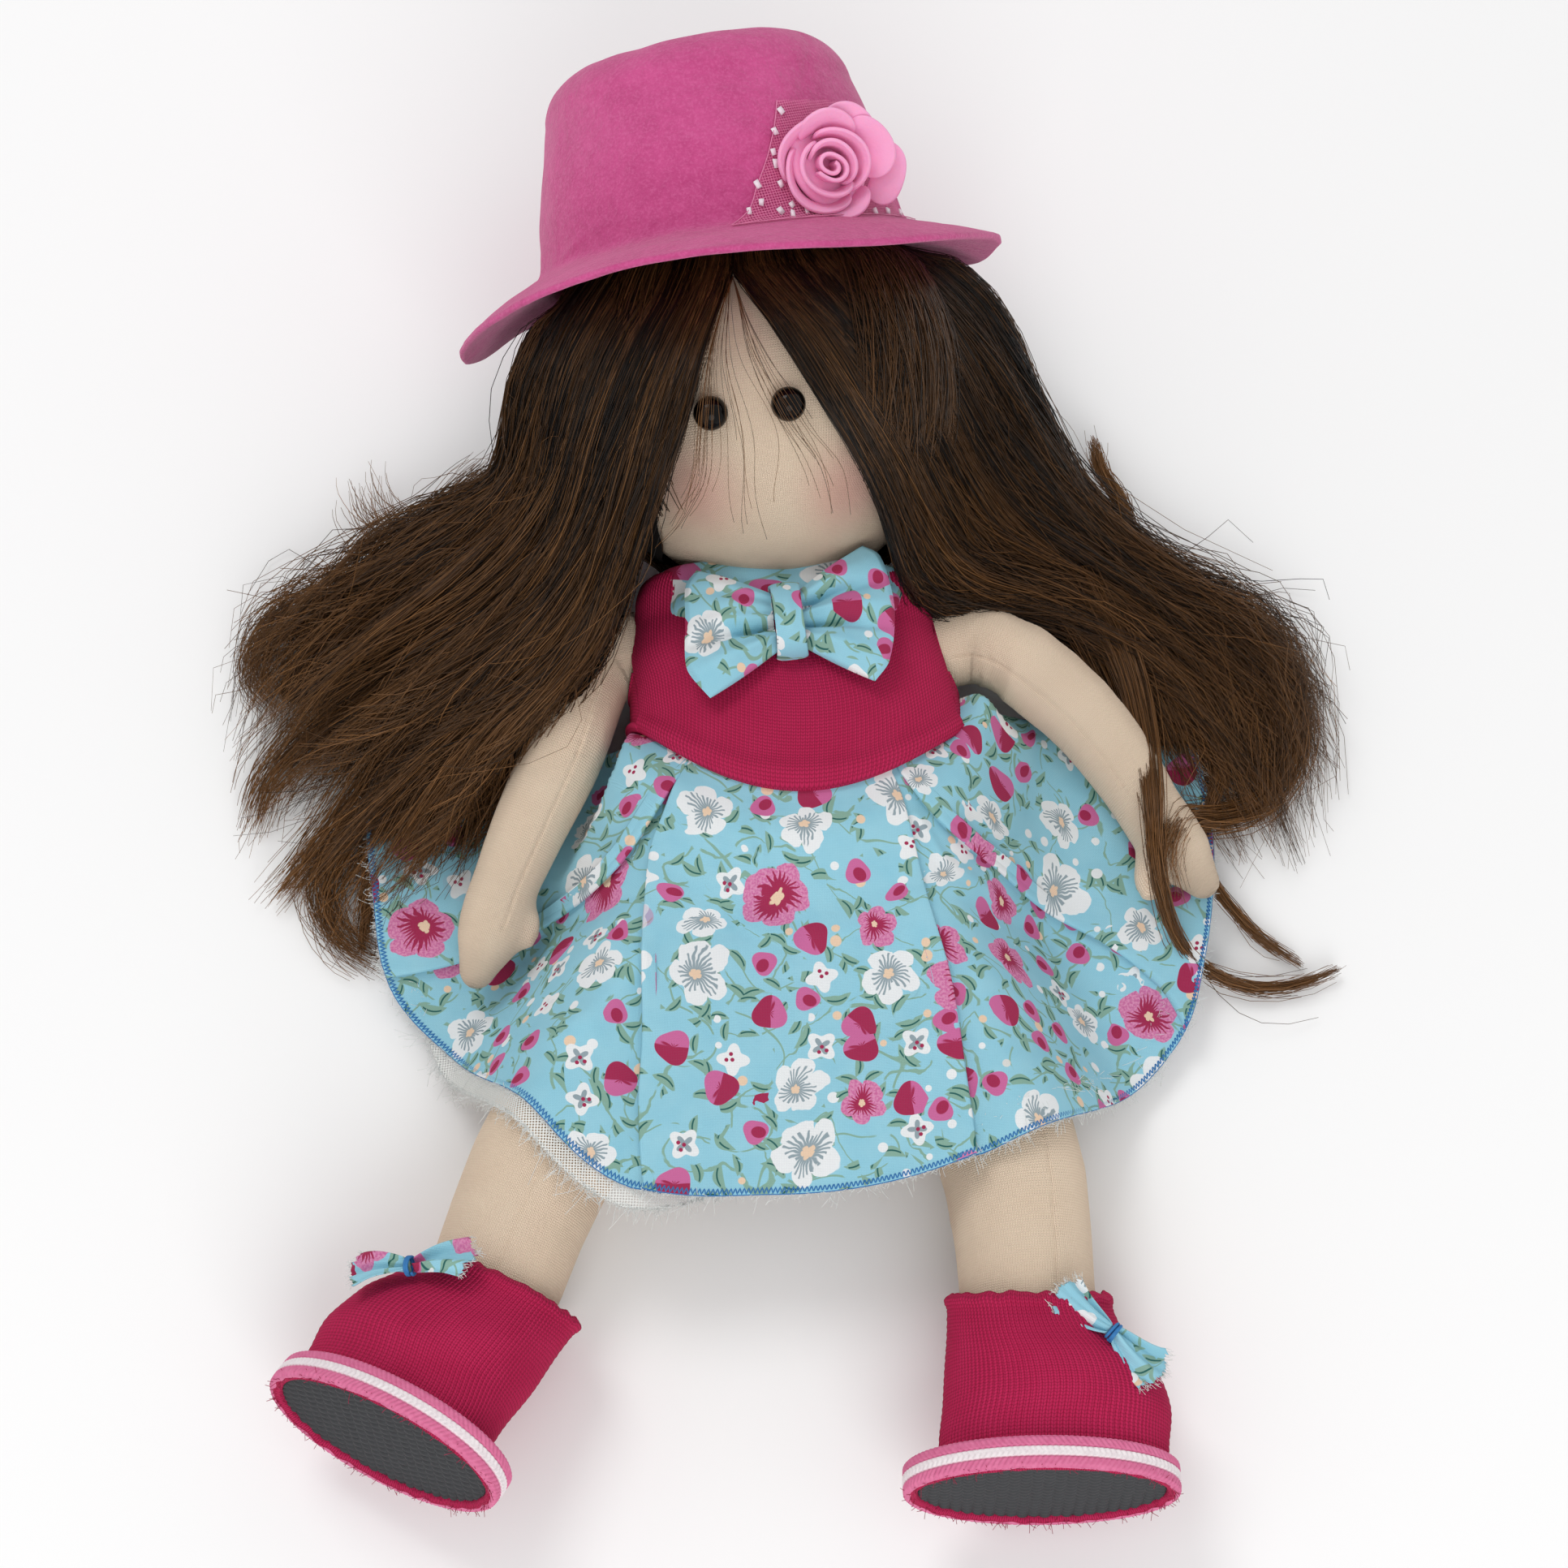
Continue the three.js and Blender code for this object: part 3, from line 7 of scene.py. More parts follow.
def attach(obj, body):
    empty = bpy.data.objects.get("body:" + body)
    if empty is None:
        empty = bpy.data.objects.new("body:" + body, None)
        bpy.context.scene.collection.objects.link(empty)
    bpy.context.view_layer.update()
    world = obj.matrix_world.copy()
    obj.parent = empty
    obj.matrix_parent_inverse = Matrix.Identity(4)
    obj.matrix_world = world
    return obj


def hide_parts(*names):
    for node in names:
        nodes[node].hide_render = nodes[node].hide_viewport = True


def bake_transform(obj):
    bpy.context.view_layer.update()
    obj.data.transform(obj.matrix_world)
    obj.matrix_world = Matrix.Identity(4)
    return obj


# A handmade cloth doll lying on its back.
# Lengths are millimetres unless a note says otherwise; meshes are metres.
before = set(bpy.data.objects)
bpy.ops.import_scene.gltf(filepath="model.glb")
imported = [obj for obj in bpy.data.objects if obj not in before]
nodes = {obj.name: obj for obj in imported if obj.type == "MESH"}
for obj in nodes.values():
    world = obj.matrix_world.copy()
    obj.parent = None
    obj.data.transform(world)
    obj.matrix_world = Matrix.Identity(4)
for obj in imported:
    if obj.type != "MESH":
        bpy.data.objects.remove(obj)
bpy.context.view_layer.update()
mm = 0.001

print("stage: floor, lamps and camera")
viewSettings = {"elevation": 68.0, "distance": 1.0, "aim": (0.0, 0.0, 0.03), "lens": 77.6}
lightSettings = {
    "keyPower": 12.0, "keyPlace": (-0.75, 0.95, 1.9), "keySize": 0.9,
    "fillPower": 11.0, "fillPlace": (0.2, -1.4, 1.05), "fillSize": 1.2,
    "sky": 0.66, "floor": (0.93, 0.93, 0.93, 1), "reach": 14.0,
}


def aimAt(obj, target):
    obj.rotation_euler = (Vector(target) - obj.location).to_track_quat("-Z", "Y").to_euler()


def addLamp(name, place, power, size):
    lamp = bpy.data.lights.new(name, "AREA")
    lamp.energy = power
    lamp.shape = "DISK"
    lamp.size = size
    obj = bpy.data.objects.new(name, lamp)
    obj.location = place
    bpy.context.scene.collection.objects.link(obj)
    aimAt(obj, (0, 0, 0.03))


def newMaterial(name):
    material = bpy.data.materials.new(name)
    material.use_nodes = True
    return material, material.node_tree, material.node_tree.nodes["Principled BSDF"]


def buildStage():
    scene = bpy.context.scene
    scene.view_settings.view_transform = "Standard"
    elevation = math.radians(viewSettings["elevation"])
    camera = bpy.data.cameras.new("camera")
    camera.lens = viewSettings["lens"]
    camera.sensor_width = 36
    cameraObject = bpy.data.objects.new("camera", camera)
    aim = Vector(viewSettings["aim"])
    away = Vector((0, -math.cos(elevation), math.sin(elevation)))
    cameraObject.location = aim + away * viewSettings["distance"]
    scene.collection.objects.link(cameraObject)
    aimAt(cameraObject, aim)
    scene.camera = cameraObject
    for name in ("key", "fill"):
        addLamp(name + "_lamp", *(lightSettings[name + value] for value in ("Place", "Power", "Size")))

    world = bpy.data.worlds.new("room")
    world.use_nodes = True
    scene.world = world
    tree = world.node_tree
    sky = tree.nodes["Background"]
    sky.inputs["Color"].default_value = (1, 1, 1, 1)
    sky.inputs["Strength"].default_value = lightSettings["sky"]
    backdrop = tree.nodes.new("ShaderNodeBackground")
    backdrop.inputs["Color"].default_value = (1, 1, 1, 1)
    seen = tree.nodes.new("ShaderNodeLightPath")
    either = tree.nodes.new("ShaderNodeMath")
    either.operation = "MAXIMUM"
    tree.links.new(seen.outputs["Is Camera Ray"], either.inputs[0])
    tree.links.new(seen.outputs["Is Glossy Ray"], either.inputs[1])
    choice = tree.nodes.new("ShaderNodeMixShader")
    tree.links.new(either.outputs[0], choice.inputs[0])
    tree.links.new(sky.outputs[0], choice.inputs[1])
    tree.links.new(backdrop.outputs[0], choice.inputs[2])
    tree.links.new(choice.outputs[0], tree.nodes["World Output"].inputs[0])

    floorMesh = bpy.data.meshes.new("floor")
    reach = lightSettings["reach"]
    corners = [(x * reach, y * reach, 0) for x, y in ((-1, -1), (1, -1), (1, 1), (-1, 1))]
    floorMesh.from_pydata(corners, [], [(0, 1, 2, 3)])
    floor = bpy.data.objects.new("floor", floorMesh)
    floor.location.z = -0.0004
    scene.collection.objects.link(floor)
    material, _, shader = newMaterial("floor_paper")
    shader.inputs["Base Color"].default_value = lightSettings["floor"]
    shader.inputs["Roughness"].default_value = 0.9
    floor.data.materials.append(material)


buildStage()


# Numbers and curves
def smoothStep(value, low, high):
    share = np.clip((np.asarray(value, float) - low) / (high - low), 0.0, 1.0)
    return share * share * (3 - 2 * share)


def blendOf(a, b, share):
    return a + (b - a) * share


def eased(rows, places):
    # values from a table of rows, each with its place first, eased from one row to the next
    rows = np.asarray(rows, float)
    places = np.asarray(places, float)
    flat = places.ravel()
    keys, values = rows[:, 0], rows[:, 1:]
    i = np.clip(np.searchsorted(keys, flat, side="left") - 1, 0, len(keys) - 2)
    before, after = np.maximum(i - 1, 0), np.minimum(i + 2, len(keys) - 1)
    span = (keys[i + 1] - keys[i])[:, None]
    t = np.clip((flat - keys[i])[:, None] / span, 0, 1)
    slopeIn = (values[i + 1] - values[before]) / (keys[i + 1] - keys[before])[:, None]
    slopeOut = (values[after] - values[i]) / (keys[after] - keys[i])[:, None]
    found = (2 * t**3 - 3 * t**2 + 1) * values[i] + (t**3 - 2 * t**2 + t) * span * slopeIn
    found += (3 * t**2 - 2 * t**3) * values[i + 1] + (t**3 - t**2) * span * slopeOut
    found = found.reshape(places.shape + (values.shape[1],))
    return found[..., 0] if values.shape[1] == 1 else found


def lengthsAlong(points):
    return np.concatenate([[0], np.cumsum(np.linalg.norm(np.diff(points, axis=0), axis=1))])


def curveThrough(points, count):
    points = np.asarray(points, float)
    along = lengthsAlong(points)
    return eased(np.column_stack([along, points]), np.linspace(0, along[-1], count))


def stacked(*coordinates):
    # coordinates of any matching shapes, joined into points
    return np.stack(np.broadcast_arrays(*coordinates), -1)


def roundTurn(count):
    return np.linspace(0, 2 * np.pi, count, endpoint=False)


def offSegment(x, y, start, end):
    # how far each place lies from a straight stretch
    (ax, ay), (bx, by) = start, end
    dx, dy = bx - ax, by - ay
    t = np.clip(((x - ax) * dx + (y - ay) * dy) / (dx * dx + dy * dy), 0, 1)
    return np.hypot(x - ax - t * dx, y - ay - t * dy)


def nearestOn(points, line):
    # which point of the line each place is nearest to, some thousands at a time
    nearest = np.zeros(len(points), int)
    for start in range(0, len(points), 4000):
        part = points[start:start + 4000]
        nearest[start:start + 4000] = ((part[:, None] - line[None]) ** 2).sum(2).argmin(1)
    return nearest


def unit(vectors):
    return vectors / np.maximum(np.linalg.norm(vectors, axis=-1, keepdims=True), 1e-9)


def placed(points, matrix):
    matrix = np.array(matrix, float)
    return np.asarray(points, float) @ matrix[:3, :3].T + matrix[:3, 3]


def waviness(points, size, seed):
    # slow lumps between about -1 and 1, the same at each run
    rng = np.random.default_rng(seed)
    total = 0
    for _ in range(7):
        direction = unit(rng.normal(size=3))
        along = points @ direction * (2 * np.pi / size)
        total = total + np.sin(along * rng.uniform(0.6, 1.5) + rng.uniform(0, 6.3))
    return total / 3.2


# Meshes
def buildMesh(name, points, faceGroups, cornerUv=None, attributes=None):
    mesh = bpy.data.meshes.new(name)
    points = np.ascontiguousarray(points, float).reshape(-1, 3) * mm
    mesh.vertices.add(len(points))
    mesh.vertices.foreach_set("co", points.ravel())
    faceGroups = [np.asarray(group, np.int32) for group in faceGroups if len(group)]
    corners = np.concatenate([group.ravel() for group in faceGroups])
    sizes = np.concatenate([np.full(len(group), group.shape[1], np.int32) for group in faceGroups])
    mesh.loops.add(len(corners))
    mesh.loops.foreach_set("vertex_index", corners)
    mesh.polygons.add(len(sizes))
    mesh.polygons.foreach_set("loop_start", np.concatenate([[0], np.cumsum(sizes)[:-1]]).astype(np.int32))
    mesh.polygons.foreach_set("loop_total", sizes)
    if cornerUv is not None:
        layer = mesh.uv_layers.new(name="cloth")
        layer.data.foreach_set("uv", np.ascontiguousarray(cornerUv, np.float32).ravel())
    for key, values in (attributes or {}).items():
        attribute = mesh.attributes.new(key, "FLOAT", "POINT")
        attribute.data.foreach_set("value", np.ascontiguousarray(values, np.float32).ravel())
    mesh.update(calc_edges=True)
    mesh.polygons.foreach_set("use_smooth", np.ones(len(mesh.polygons), bool))
    obj = bpy.data.objects.new(name, mesh)
    bpy.context.scene.collection.objects.link(obj)
    return obj


def gridFaces(rows, columns, wrap=False, turned=False):
    r, c = np.meshgrid(np.arange(rows - 1), np.arange(columns if wrap else columns - 1), indexing="ij")
    near, far = c % columns, (c + 1) % columns
    quads = stacked(r * columns + near, r * columns + far, (r + 1) * columns + far, (r + 1) * columns + near)
    cornerRows = stacked(r, r, r + 1, r + 1)
    cornerColumns = stacked(c, c + 1, c + 1, c)
    quads, cornerRows, cornerColumns = (a.reshape(-1, 4) for a in (quads, cornerRows, cornerColumns))
    if turned:
        quads, cornerRows, cornerColumns = quads[:, ::-1], cornerRows[:, ::-1], cornerColumns[:, ::-1]
    return quads, cornerRows, cornerColumns


def gridMesh(name, points, uv, wrap=False, turned=False, attributes=None):
    # a surface through rows x columns of points; uv has one more column where it wraps
    rows, columns = points.shape[:2]
    quads, r, c = gridFaces(rows, columns, wrap, turned)
    return buildMesh(name, points, [quads], uv[r, c].reshape(-1, 2), attributes)


def tubesMesh(name, paths, radii, sides=3, attributes=None, up=(0.13, 0.21, 0.97)):
    # many thin tubes at once: paths are tubes x steps x 3
    paths = np.asarray(paths, float)
    count, steps = paths.shape[:2]
    along = unit(np.gradient(paths, axis=1))
    across = unit(np.cross(np.broadcast_to(np.asarray(up, float), along.shape), along))
    over = np.cross(along, across)
    turn = roundTurn(sides)
    radii = np.broadcast_to(np.asarray(radii, float), (count, steps))[..., None, None]
    ring = across[:, :, None] * np.cos(turn)[:, None] + over[:, :, None] * np.sin(turn)[:, None]
    points = (paths[:, :, None] + ring * radii).reshape(-1, 3)
    quads, r, c = gridFaces(steps, sides, wrap=True)
    every = (quads[None] + (np.arange(count) * steps * sides)[:, None, None]).reshape(-1, 4)
    base = np.arange(count)[:, None] * steps * sides
    ends = [base + np.arange(sides)[::-1][None], base + (steps - 1) * sides + np.arange(sides)[None]]
    spans = np.linalg.norm(np.diff(paths, axis=1), axis=2)
    lengths = np.concatenate([np.zeros((count, 1)), np.cumsum(spans, axis=1)], 1)
    uv = stacked(np.broadcast_to(c[None] / sides, (count,) + c.shape), lengths[:, r]).reshape(-1, 2)
    uv = np.concatenate([uv, np.zeros((2 * count * sides, 2))])
    spread = {}
    for key, values in (attributes or {}).items():
        values = np.asarray(values, float)
        values = values[:, None] if values.ndim == 1 else values
        spread[key] = np.broadcast_to(values[..., None], (count, steps, sides)).ravel()
    return buildMesh(name, points, [every] + ends, uv, spread)


def settled(obj):
    # the piece with its modifiers taken into the mesh
    depsgraph = bpy.context.evaluated_depsgraph_get()
    depsgraph.update()
    mesh = bpy.data.meshes.new_from_object(obj.evaluated_get(depsgraph), depsgraph=depsgraph)
    old = obj.data
    obj.modifiers.clear()
    obj.data = mesh
    bpy.data.meshes.remove(old)
    obj.data.polygons.foreach_set("use_smooth", np.ones(len(obj.data.polygons), bool))
    return obj


def thickened(obj, thickness, offset=-1.0, rounds=0):
    solid = obj.modifiers.new("thickness", "SOLIDIFY")
    solid.thickness = thickness * mm
    solid.offset = offset
    if rounds:
        rounding = obj.modifiers.new("rounding", "SUBSURF")
        rounding.levels = rounding.render_levels = rounds
    return settled(obj)


def vertexValues(obj, key):
    values = np.zeros(len(obj.data.vertices) * 3)
    obj.data.vertices.foreach_get(key, values)
    return values.reshape(-1, 3)


def vertexPlaces(obj):
    return vertexValues(obj, "co") / mm


def vertexNormals(obj):
    return vertexValues(obj, "normal")


def setPlaces(obj, points):
    obj.data.vertices.foreach_set("co", (np.asarray(points) * mm).ravel())
    obj.data.update()


def unwrapped(obj, place, period):
    # a UV map from a function of the vertices, joined up over the turn where its first value starts again
    uv = place(vertexPlaces(obj))
    corners = np.zeros(len(obj.data.loops), np.int32)
    obj.data.loops.foreach_get("vertex_index", corners)
    starts, totals = np.zeros((2, len(obj.data.polygons)), np.int32)
    obj.data.polygons.foreach_get("loop_start", starts)
    obj.data.polygons.foreach_get("loop_total", totals)
    uvs = uv[corners]
    first = np.repeat(uvs[starts, 0], totals)
    uvs[:, 0] -= np.round((uvs[:, 0] - first) / period) * period
    layer = obj.data.uv_layers.get("cloth") or obj.data.uv_layers.new(name="cloth")
    layer.data.foreach_set("uv", uvs.astype(np.float32).ravel())
    return obj


def dressed(obj, material, body=None, replaced=()):
    obj.data.materials.clear()
    obj.data.materials.append(material)
    if replaced:
        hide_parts(*replaced)
    if body:
        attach(obj, body)
    return obj


def nodeCopy(node, name):
    obj = bpy.data.objects.new(name, nodes[node].data.copy())
    bpy.context.scene.collection.objects.link(obj)
    return obj


def remeshed(obj, voxel, smoothing):
    remesh = obj.modifiers.new("remesh", "REMESH")
    remesh.mode = "VOXEL"
    remesh.voxel_size = voxel * mm
    if smoothing:
        smooth = obj.modifiers.new("smooth", "SMOOTH")
        smooth.factor = 0.5
        smooth.iterations = smoothing
    return settled(obj)


# Materials: patterns are node groups, written as formulas on sockets
def srgb(red, green, blue):
    parts = [value / 255 for value in (red, green, blue)]
    return tuple(p / 12.92 if p <= 0.04045 else ((p + 0.055) / 1.055) ** 2.4 for p in parts) + (1.0,)


def feed(slot, value):
    # a socket takes a signal or a plain value
    if isinstance(value, Signal):
        value.tree.links.new(value.socket, slot)
    else:
        slot.default_value = value


class Signal:
    def __init__(self, tree, socket):
        self.tree, self.socket = tree, socket

    def calc(self, operation, *others, first=None):
        node = self.tree.nodes.new("ShaderNodeMath")
        node.operation = operation
        values = (self,) + others if first is None else (first, self) + others
        for slot, value in zip(node.inputs, values):
            feed(slot, value)
        return Signal(self.tree, node.outputs[0])

    def __add__(self, other):
        return self.calc("ADD", other)

    def __sub__(self, other):
        return self.calc("SUBTRACT", other)

    def __rsub__(self, other):
        return self.calc("SUBTRACT", first=other)

    def __mul__(self, other):
        return self.calc("MULTIPLY", other)

    def __truediv__(self, other):
        return self.calc("DIVIDE", other)

    __radd__, __rmul__ = __add__, __mul__

    def below(self, edge, soft=0.1):
        # 1 under the edge and 0 over it
        ramp = self.tree.nodes.new("ShaderNodeMapRange")
        ramp.interpolation_type = "SMOOTHSTEP"
        for name, value in (("Value", self), ("From Min", edge + soft), ("From Max", edge - soft)):
            feed(ramp.inputs[name], value)
        return Signal(self.tree, ramp.outputs["Result"])

    def above(self, edge, soft=0.1):
        return 1.0 - self.below(edge, soft)


def newGroup(name, inputs, outputs):
    group = bpy.data.node_groups.new(name, "ShaderNodeTree")
    for label, kind, value in inputs:
        socket = group.interface.new_socket(label, in_out="INPUT", socket_type="NodeSocket" + kind)
        if value is not None:
            socket.default_value = value
    for label, kind in outputs:
        group.interface.new_socket(label, in_out="OUTPUT", socket_type="NodeSocket" + kind)
    entry = group.nodes.new("NodeGroupInput")
    given = {label: Signal(group, entry.outputs[label]) for label, _, _ in inputs}
    return group, given, group.nodes.new("NodeGroupOutput")


def useGroup(tree, group, **values):
    node = tree.nodes.new("ShaderNodeGroup")
    node.node_tree = group
    for label, value in values.items():
        feed(node.inputs[label], value)
    return {socket.name: Signal(tree, socket) for socket in node.outputs}


def parts(vector):
    node = vector.tree.nodes.new("ShaderNodeSeparateXYZ")
    feed(node.inputs[0], vector)
    return [Signal(vector.tree, socket) for socket in node.outputs]


def vectorOf(x, y, z=0.0):
    tree = next(v.tree for v in (x, y, z) if isinstance(v, Signal))
    node = tree.nodes.new("ShaderNodeCombineXYZ")
    for slot, value in zip(node.inputs, (x, y, z)):
        feed(slot, value)
    return Signal(tree, node.outputs[0])


def noise(vector, scale, detail=2.0, roughness=0.5, flat=False, colour=False):
    node = vector.tree.nodes.new("ShaderNodeTexNoise")
    node.noise_dimensions = "2D" if flat else "3D"
    for label, value in (("Vector", vector), ("Scale", scale), ("Detail", detail), ("Roughness", roughness)):
        feed(node.inputs[label], value)
    return Signal(vector.tree, node.outputs["Color" if colour else "Fac"])


def cells(vector, size, scatter=0.8):
    # offsets from the nearest scattered point, and two dice of its own
    node = vector.tree.nodes.new("ShaderNodeTexVoronoi")
    node.voronoi_dimensions = "2D"
    for label, value in (("Vector", vector), ("Scale", 1 / size), ("Randomness", scatter)):
        feed(node.inputs[label], value)
    position = parts(Signal(vector.tree, node.outputs["Position"]))
    here = parts(vector)
    dice = parts(Signal(vector.tree, node.outputs["Color"]))
    return here[0] - position[0], here[1] - position[1], dice[0], dice[1]


def blendColour(factor, a, b):
    tree = factor.tree
    node = tree.nodes.new("ShaderNodeMix")
    node.data_type = "RGBA"
    for slot, value in ((0, factor), (6, a), (7, b)):
        feed(node.inputs[slot], value)
    return Signal(tree, node.outputs[2])


def clothPlace(tree):
    node = tree.nodes.new("ShaderNodeUVMap")
    node.uv_map = "cloth"
    return Signal(tree, node.outputs[0])


def objectPlace(tree):
    return Signal(tree, tree.nodes.new("ShaderNodeTexCoord").outputs["Object"])


def bump(shader, tree, height, distance):
    # distance is in metres
    node = tree.nodes.new("ShaderNodeBump")
    for label, value in (("Strength", 1.0), ("Distance", distance), ("Height", height)):
        feed(node.inputs[label], value)
    tree.links.new(node.outputs[0], shader.inputs["Normal"])


def finish(shader, colour, roughness, specular=0.5):
    for label, value in (("Base Color", colour), ("Roughness", roughness), ("Specular IOR Level", specular)):
        feed(shader.inputs[label], value)


def makeKnitGroup():
    # jersey stitches: columns of small V shapes
    group, given, out = newGroup(
        "knitStitches", [("Place", "Vector", None), ("Wale", "Float", 1.0), ("Course", "Float", 0.8)],
        [("Height", "Float"), ("GapShade", "Float")])
    x, y, _ = parts(given["Place"])
    across = x / given["Wale"]
    side = (across - across.calc("ROUND")).calc("ABSOLUTE")
    up = (y / given["Course"] + side * 1.1).calc("FRACT")
    strand = (up * math.pi).calc("SINE")
    leg = (side * (2 * math.pi)).calc("SINE").calc("ABSOLUTE").calc("POWER", 0.6)
    height = leg * (0.3 + strand * 0.7)
    feed(out.inputs["Height"], height)
    # this mask marks the hollows between the stitches, where the skin and rib materials paint shade
    feed(out.inputs["GapShade"], height.below(0.42, 0.3))
    return group


def makeWeaveGroup():
    # plain woven threads
    group, given, out = newGroup(
        "plainWeave", [("Place", "Vector", None), ("Pitch", "Float", 0.35)], [("Height", "Float")])
    x, y, _ = parts(given["Place"])
    a, b = x / given["Pitch"], y / given["Pitch"]
    warp = (a * math.pi).calc("SINE").calc("ABSOLUTE")
    weft = (b * math.pi).calc("SINE").calc("ABSOLUTE")
    turn = (a.calc("FLOOR") + b.calc("FLOOR")).calc("MODULO", 2.0).calc("ABSOLUTE")
    feed(out.inputs["Height"], blendOf(warp, weft, turn))
    return group


printColours = {
    "ground": srgb(144, 204, 224), "groundShade": srgb(160, 213, 229), "pink": srgb(208, 104, 158),
    "pinkPale": srgb(226, 148, 186), "crimson": srgb(166, 24, 74), "peach": srgb(240, 208, 178),
    "white": srgb(240, 242, 243), "grey": srgb(150, 165, 172), "sage": srgb(138, 176, 158),
    "darkGreen": srgb(30, 92, 86),
}
# sizes are in mm; shares are of the blooms' own dice
printSettings = {"bloomSpacing": 27.0, "bloomScatter": 0.6, "bloomShare": 0.66, "pinkShare": 0.34,
                 "clearing": 11.0, "sharp": 0.001, "turn": 6.283}


def lengthOf(a, b):
    return (a * a + b * b).calc("SQRT")


def turnedBy(angle, dx, dy):
    cosine, sine = angle.calc("COSINE"), angle.calc("SINE")
    return dx * cosine + dy * sine, dy * cosine - dx * sine


def makePrintGroup():
    # a generic scattered floral: open blooms, buds, small blossoms, dots, leaves and curling stems
    colours, s = printColours, printSettings
    spacing, scatter, sharp = s["bloomSpacing"], s["bloomScatter"], s["sharp"]
    group, given, out = newGroup("scatteredFlorals", [("Place", "Vector", None)], [("Color", "Color")])
    x, y, _ = parts(given["Place"])
    wobble = parts(noise(given["Place"], 0.35, 1.0, flat=True, colour=True))
    slow = parts(noise(given["Place"], 0.06, 1.0, flat=True, colour=True))
    place = vectorOf(x + wobble[0] * 1.1 + slow[0] * 7, y + wobble[1] * 1.1 + slow[1] * 7)
    fine = noise(given["Place"], 1.4, 3.0, flat=True)
    colour = blendColour(noise(given["Place"], 0.12, 2.0, flat=True), colours["ground"], colours["groundShade"])

    def lay(mask, tint):
        # one more colour over those that are there
        nonlocal colour
        colour = blendColour(mask, colour, tint)

    # stems follow a level line of slow noise; leaves gather beside them
    level = (noise(place, 0.052, 0.6, flat=True) - 0.5).calc("ABSOLUTE")
    second = (noise(vectorOf(x + 311.0, y + 97.0), 0.045, 0.6, flat=True) - 0.5).calc("ABSOLUTE")
    stem = level.below(0.0095, 0.0022).calc("MAXIMUM", second.below(0.008, 0.002))
    stem = stem * noise(place, 0.16, 0.0, flat=True).above(0.41, 0.04)
    lay(stem, colours["sage"])
    for size, shift, half, thick in ((10.4, 0.0, 4.3, 1.55), (8.6, 53.0, 3.3, 1.25)):
        dx, dy, diceA, diceB = cells(vectorOf(x + shift, y - shift), size, 0.9)
        along, across = turnedBy(diceA * s["turn"], dx, dy)
        across = across + along * along * 0.09
        reach = 1.0 - (along / half).calc("POWER", 2.0)
        leaf = (across.calc("ABSOLUTE") - reach * thick).below(0.0, 0.12)
        near = level.calc("MINIMUM", second).below(0.085, 0.004) * diceB.below(0.85, 0.002)
        lay(leaf * near, colours["sage"])
        vein = (across - 0.25).calc("ABSOLUTE").below(0.24, 0.08)
        vein = vein * along.calc("ABSOLUTE").below(half * 0.66, 0.2)
        lay(vein * near, colours["darkGreen"])

    # the open blooms keep a clear ring round them
    bx, by, bloomDice, bloomTurn = cells(place, spacing, scatter)
    bloomOut = lengthOf(bx, by) / (0.66 + bloomTurn * 0.42)
    bearing = by.calc("ARCTAN2", bx) + bloomTurn * 6.28
    isBloom = bloomDice.below(s["bloomShare"], sharp)

    def clearOf(awayX, awayY):
        # whether the middle of a small motif is free of the open blooms
        there = vectorOf(parts(place)[0] - awayX, parts(place)[1] - awayY)
        nearX, nearY, dice, turn = cells(there, spacing, scatter)
        distance = lengthOf(nearX, nearY) / (0.78 + turn * 0.42)
        return 1.0 - dice.below(s["bloomShare"], sharp) * distance.below(s["clearing"], sharp)

    dx, dy, dice, turn = cells(vectorOf(x + 19.0, y + 7.0), 6.6, 0.9)
    dot = lengthOf(dx, dy).below(0.9 + turn * 0.9, 0.12) * clearOf(dx, dy)
    lay(dot * dice.below(0.12, sharp), colours["white"])
    lay(dot * dice.above(0.12, sharp) * dice.below(0.22, sharp), colours["peach"])

    dx, dy, dice, turn = cells(vectorOf(x - 31.0, y + 61.0), 13.2, 0.75)
    px, py = turnedBy(turn * s["turn"], dx, dy)
    budOut = lengthOf(px, py)
    clear = clearOf(dx, dy)
    budTurn = py.calc("ARCTAN2", px)
    budEdge = 3.5 + (budTurn * 3.0).calc("SINE") * 0.35
    bud = budOut.below(budEdge, 0.12) * clear * dice.below(0.37, sharp)
    lay(bud, colours["pink"])
    core = (px - 0.9).calc("POWER", 2.0) + (py * 1.25).calc("POWER", 2.0)
    lay(bud * core.below(4.4, 0.5), colours["crimson"])
    half = budOut.below(budEdge * 1.4, 0.12) * clear * dice.above(0.37, sharp) * dice.below(0.51, sharp)
    lay(half, colours["pink"])
    lay(half * (px + (budTurn * 9.0).calc("SINE") * 0.5).above(-0.6, 0.15), colours["crimson"])
    small = budOut.below(3.9 + (budTurn * 4.0).calc("SINE") * 0.9, 0.12) * clear
    small = small * dice.above(0.51, sharp) * dice.below(0.79, sharp)
    lay(small, colours["white"])
    greyPetal = small * (budOut - 1.9 - (budTurn * 4.0 + 0.8).calc("SINE") * 0.9).below(0.0, 0.15)
    lay(greyPetal * turn.above(0.5, 0.01), colours["grey"])
    for dotX, dotY in ((0.2, 0.1), (1.7, 0.9), (1.3, -1.2)):
        spot = ((px - dotX).calc("POWER", 2.0) + (py - dotY).calc("POWER", 2.0)).below(0.34, 0.12)
        lay(small * spot, colours["crimson"])

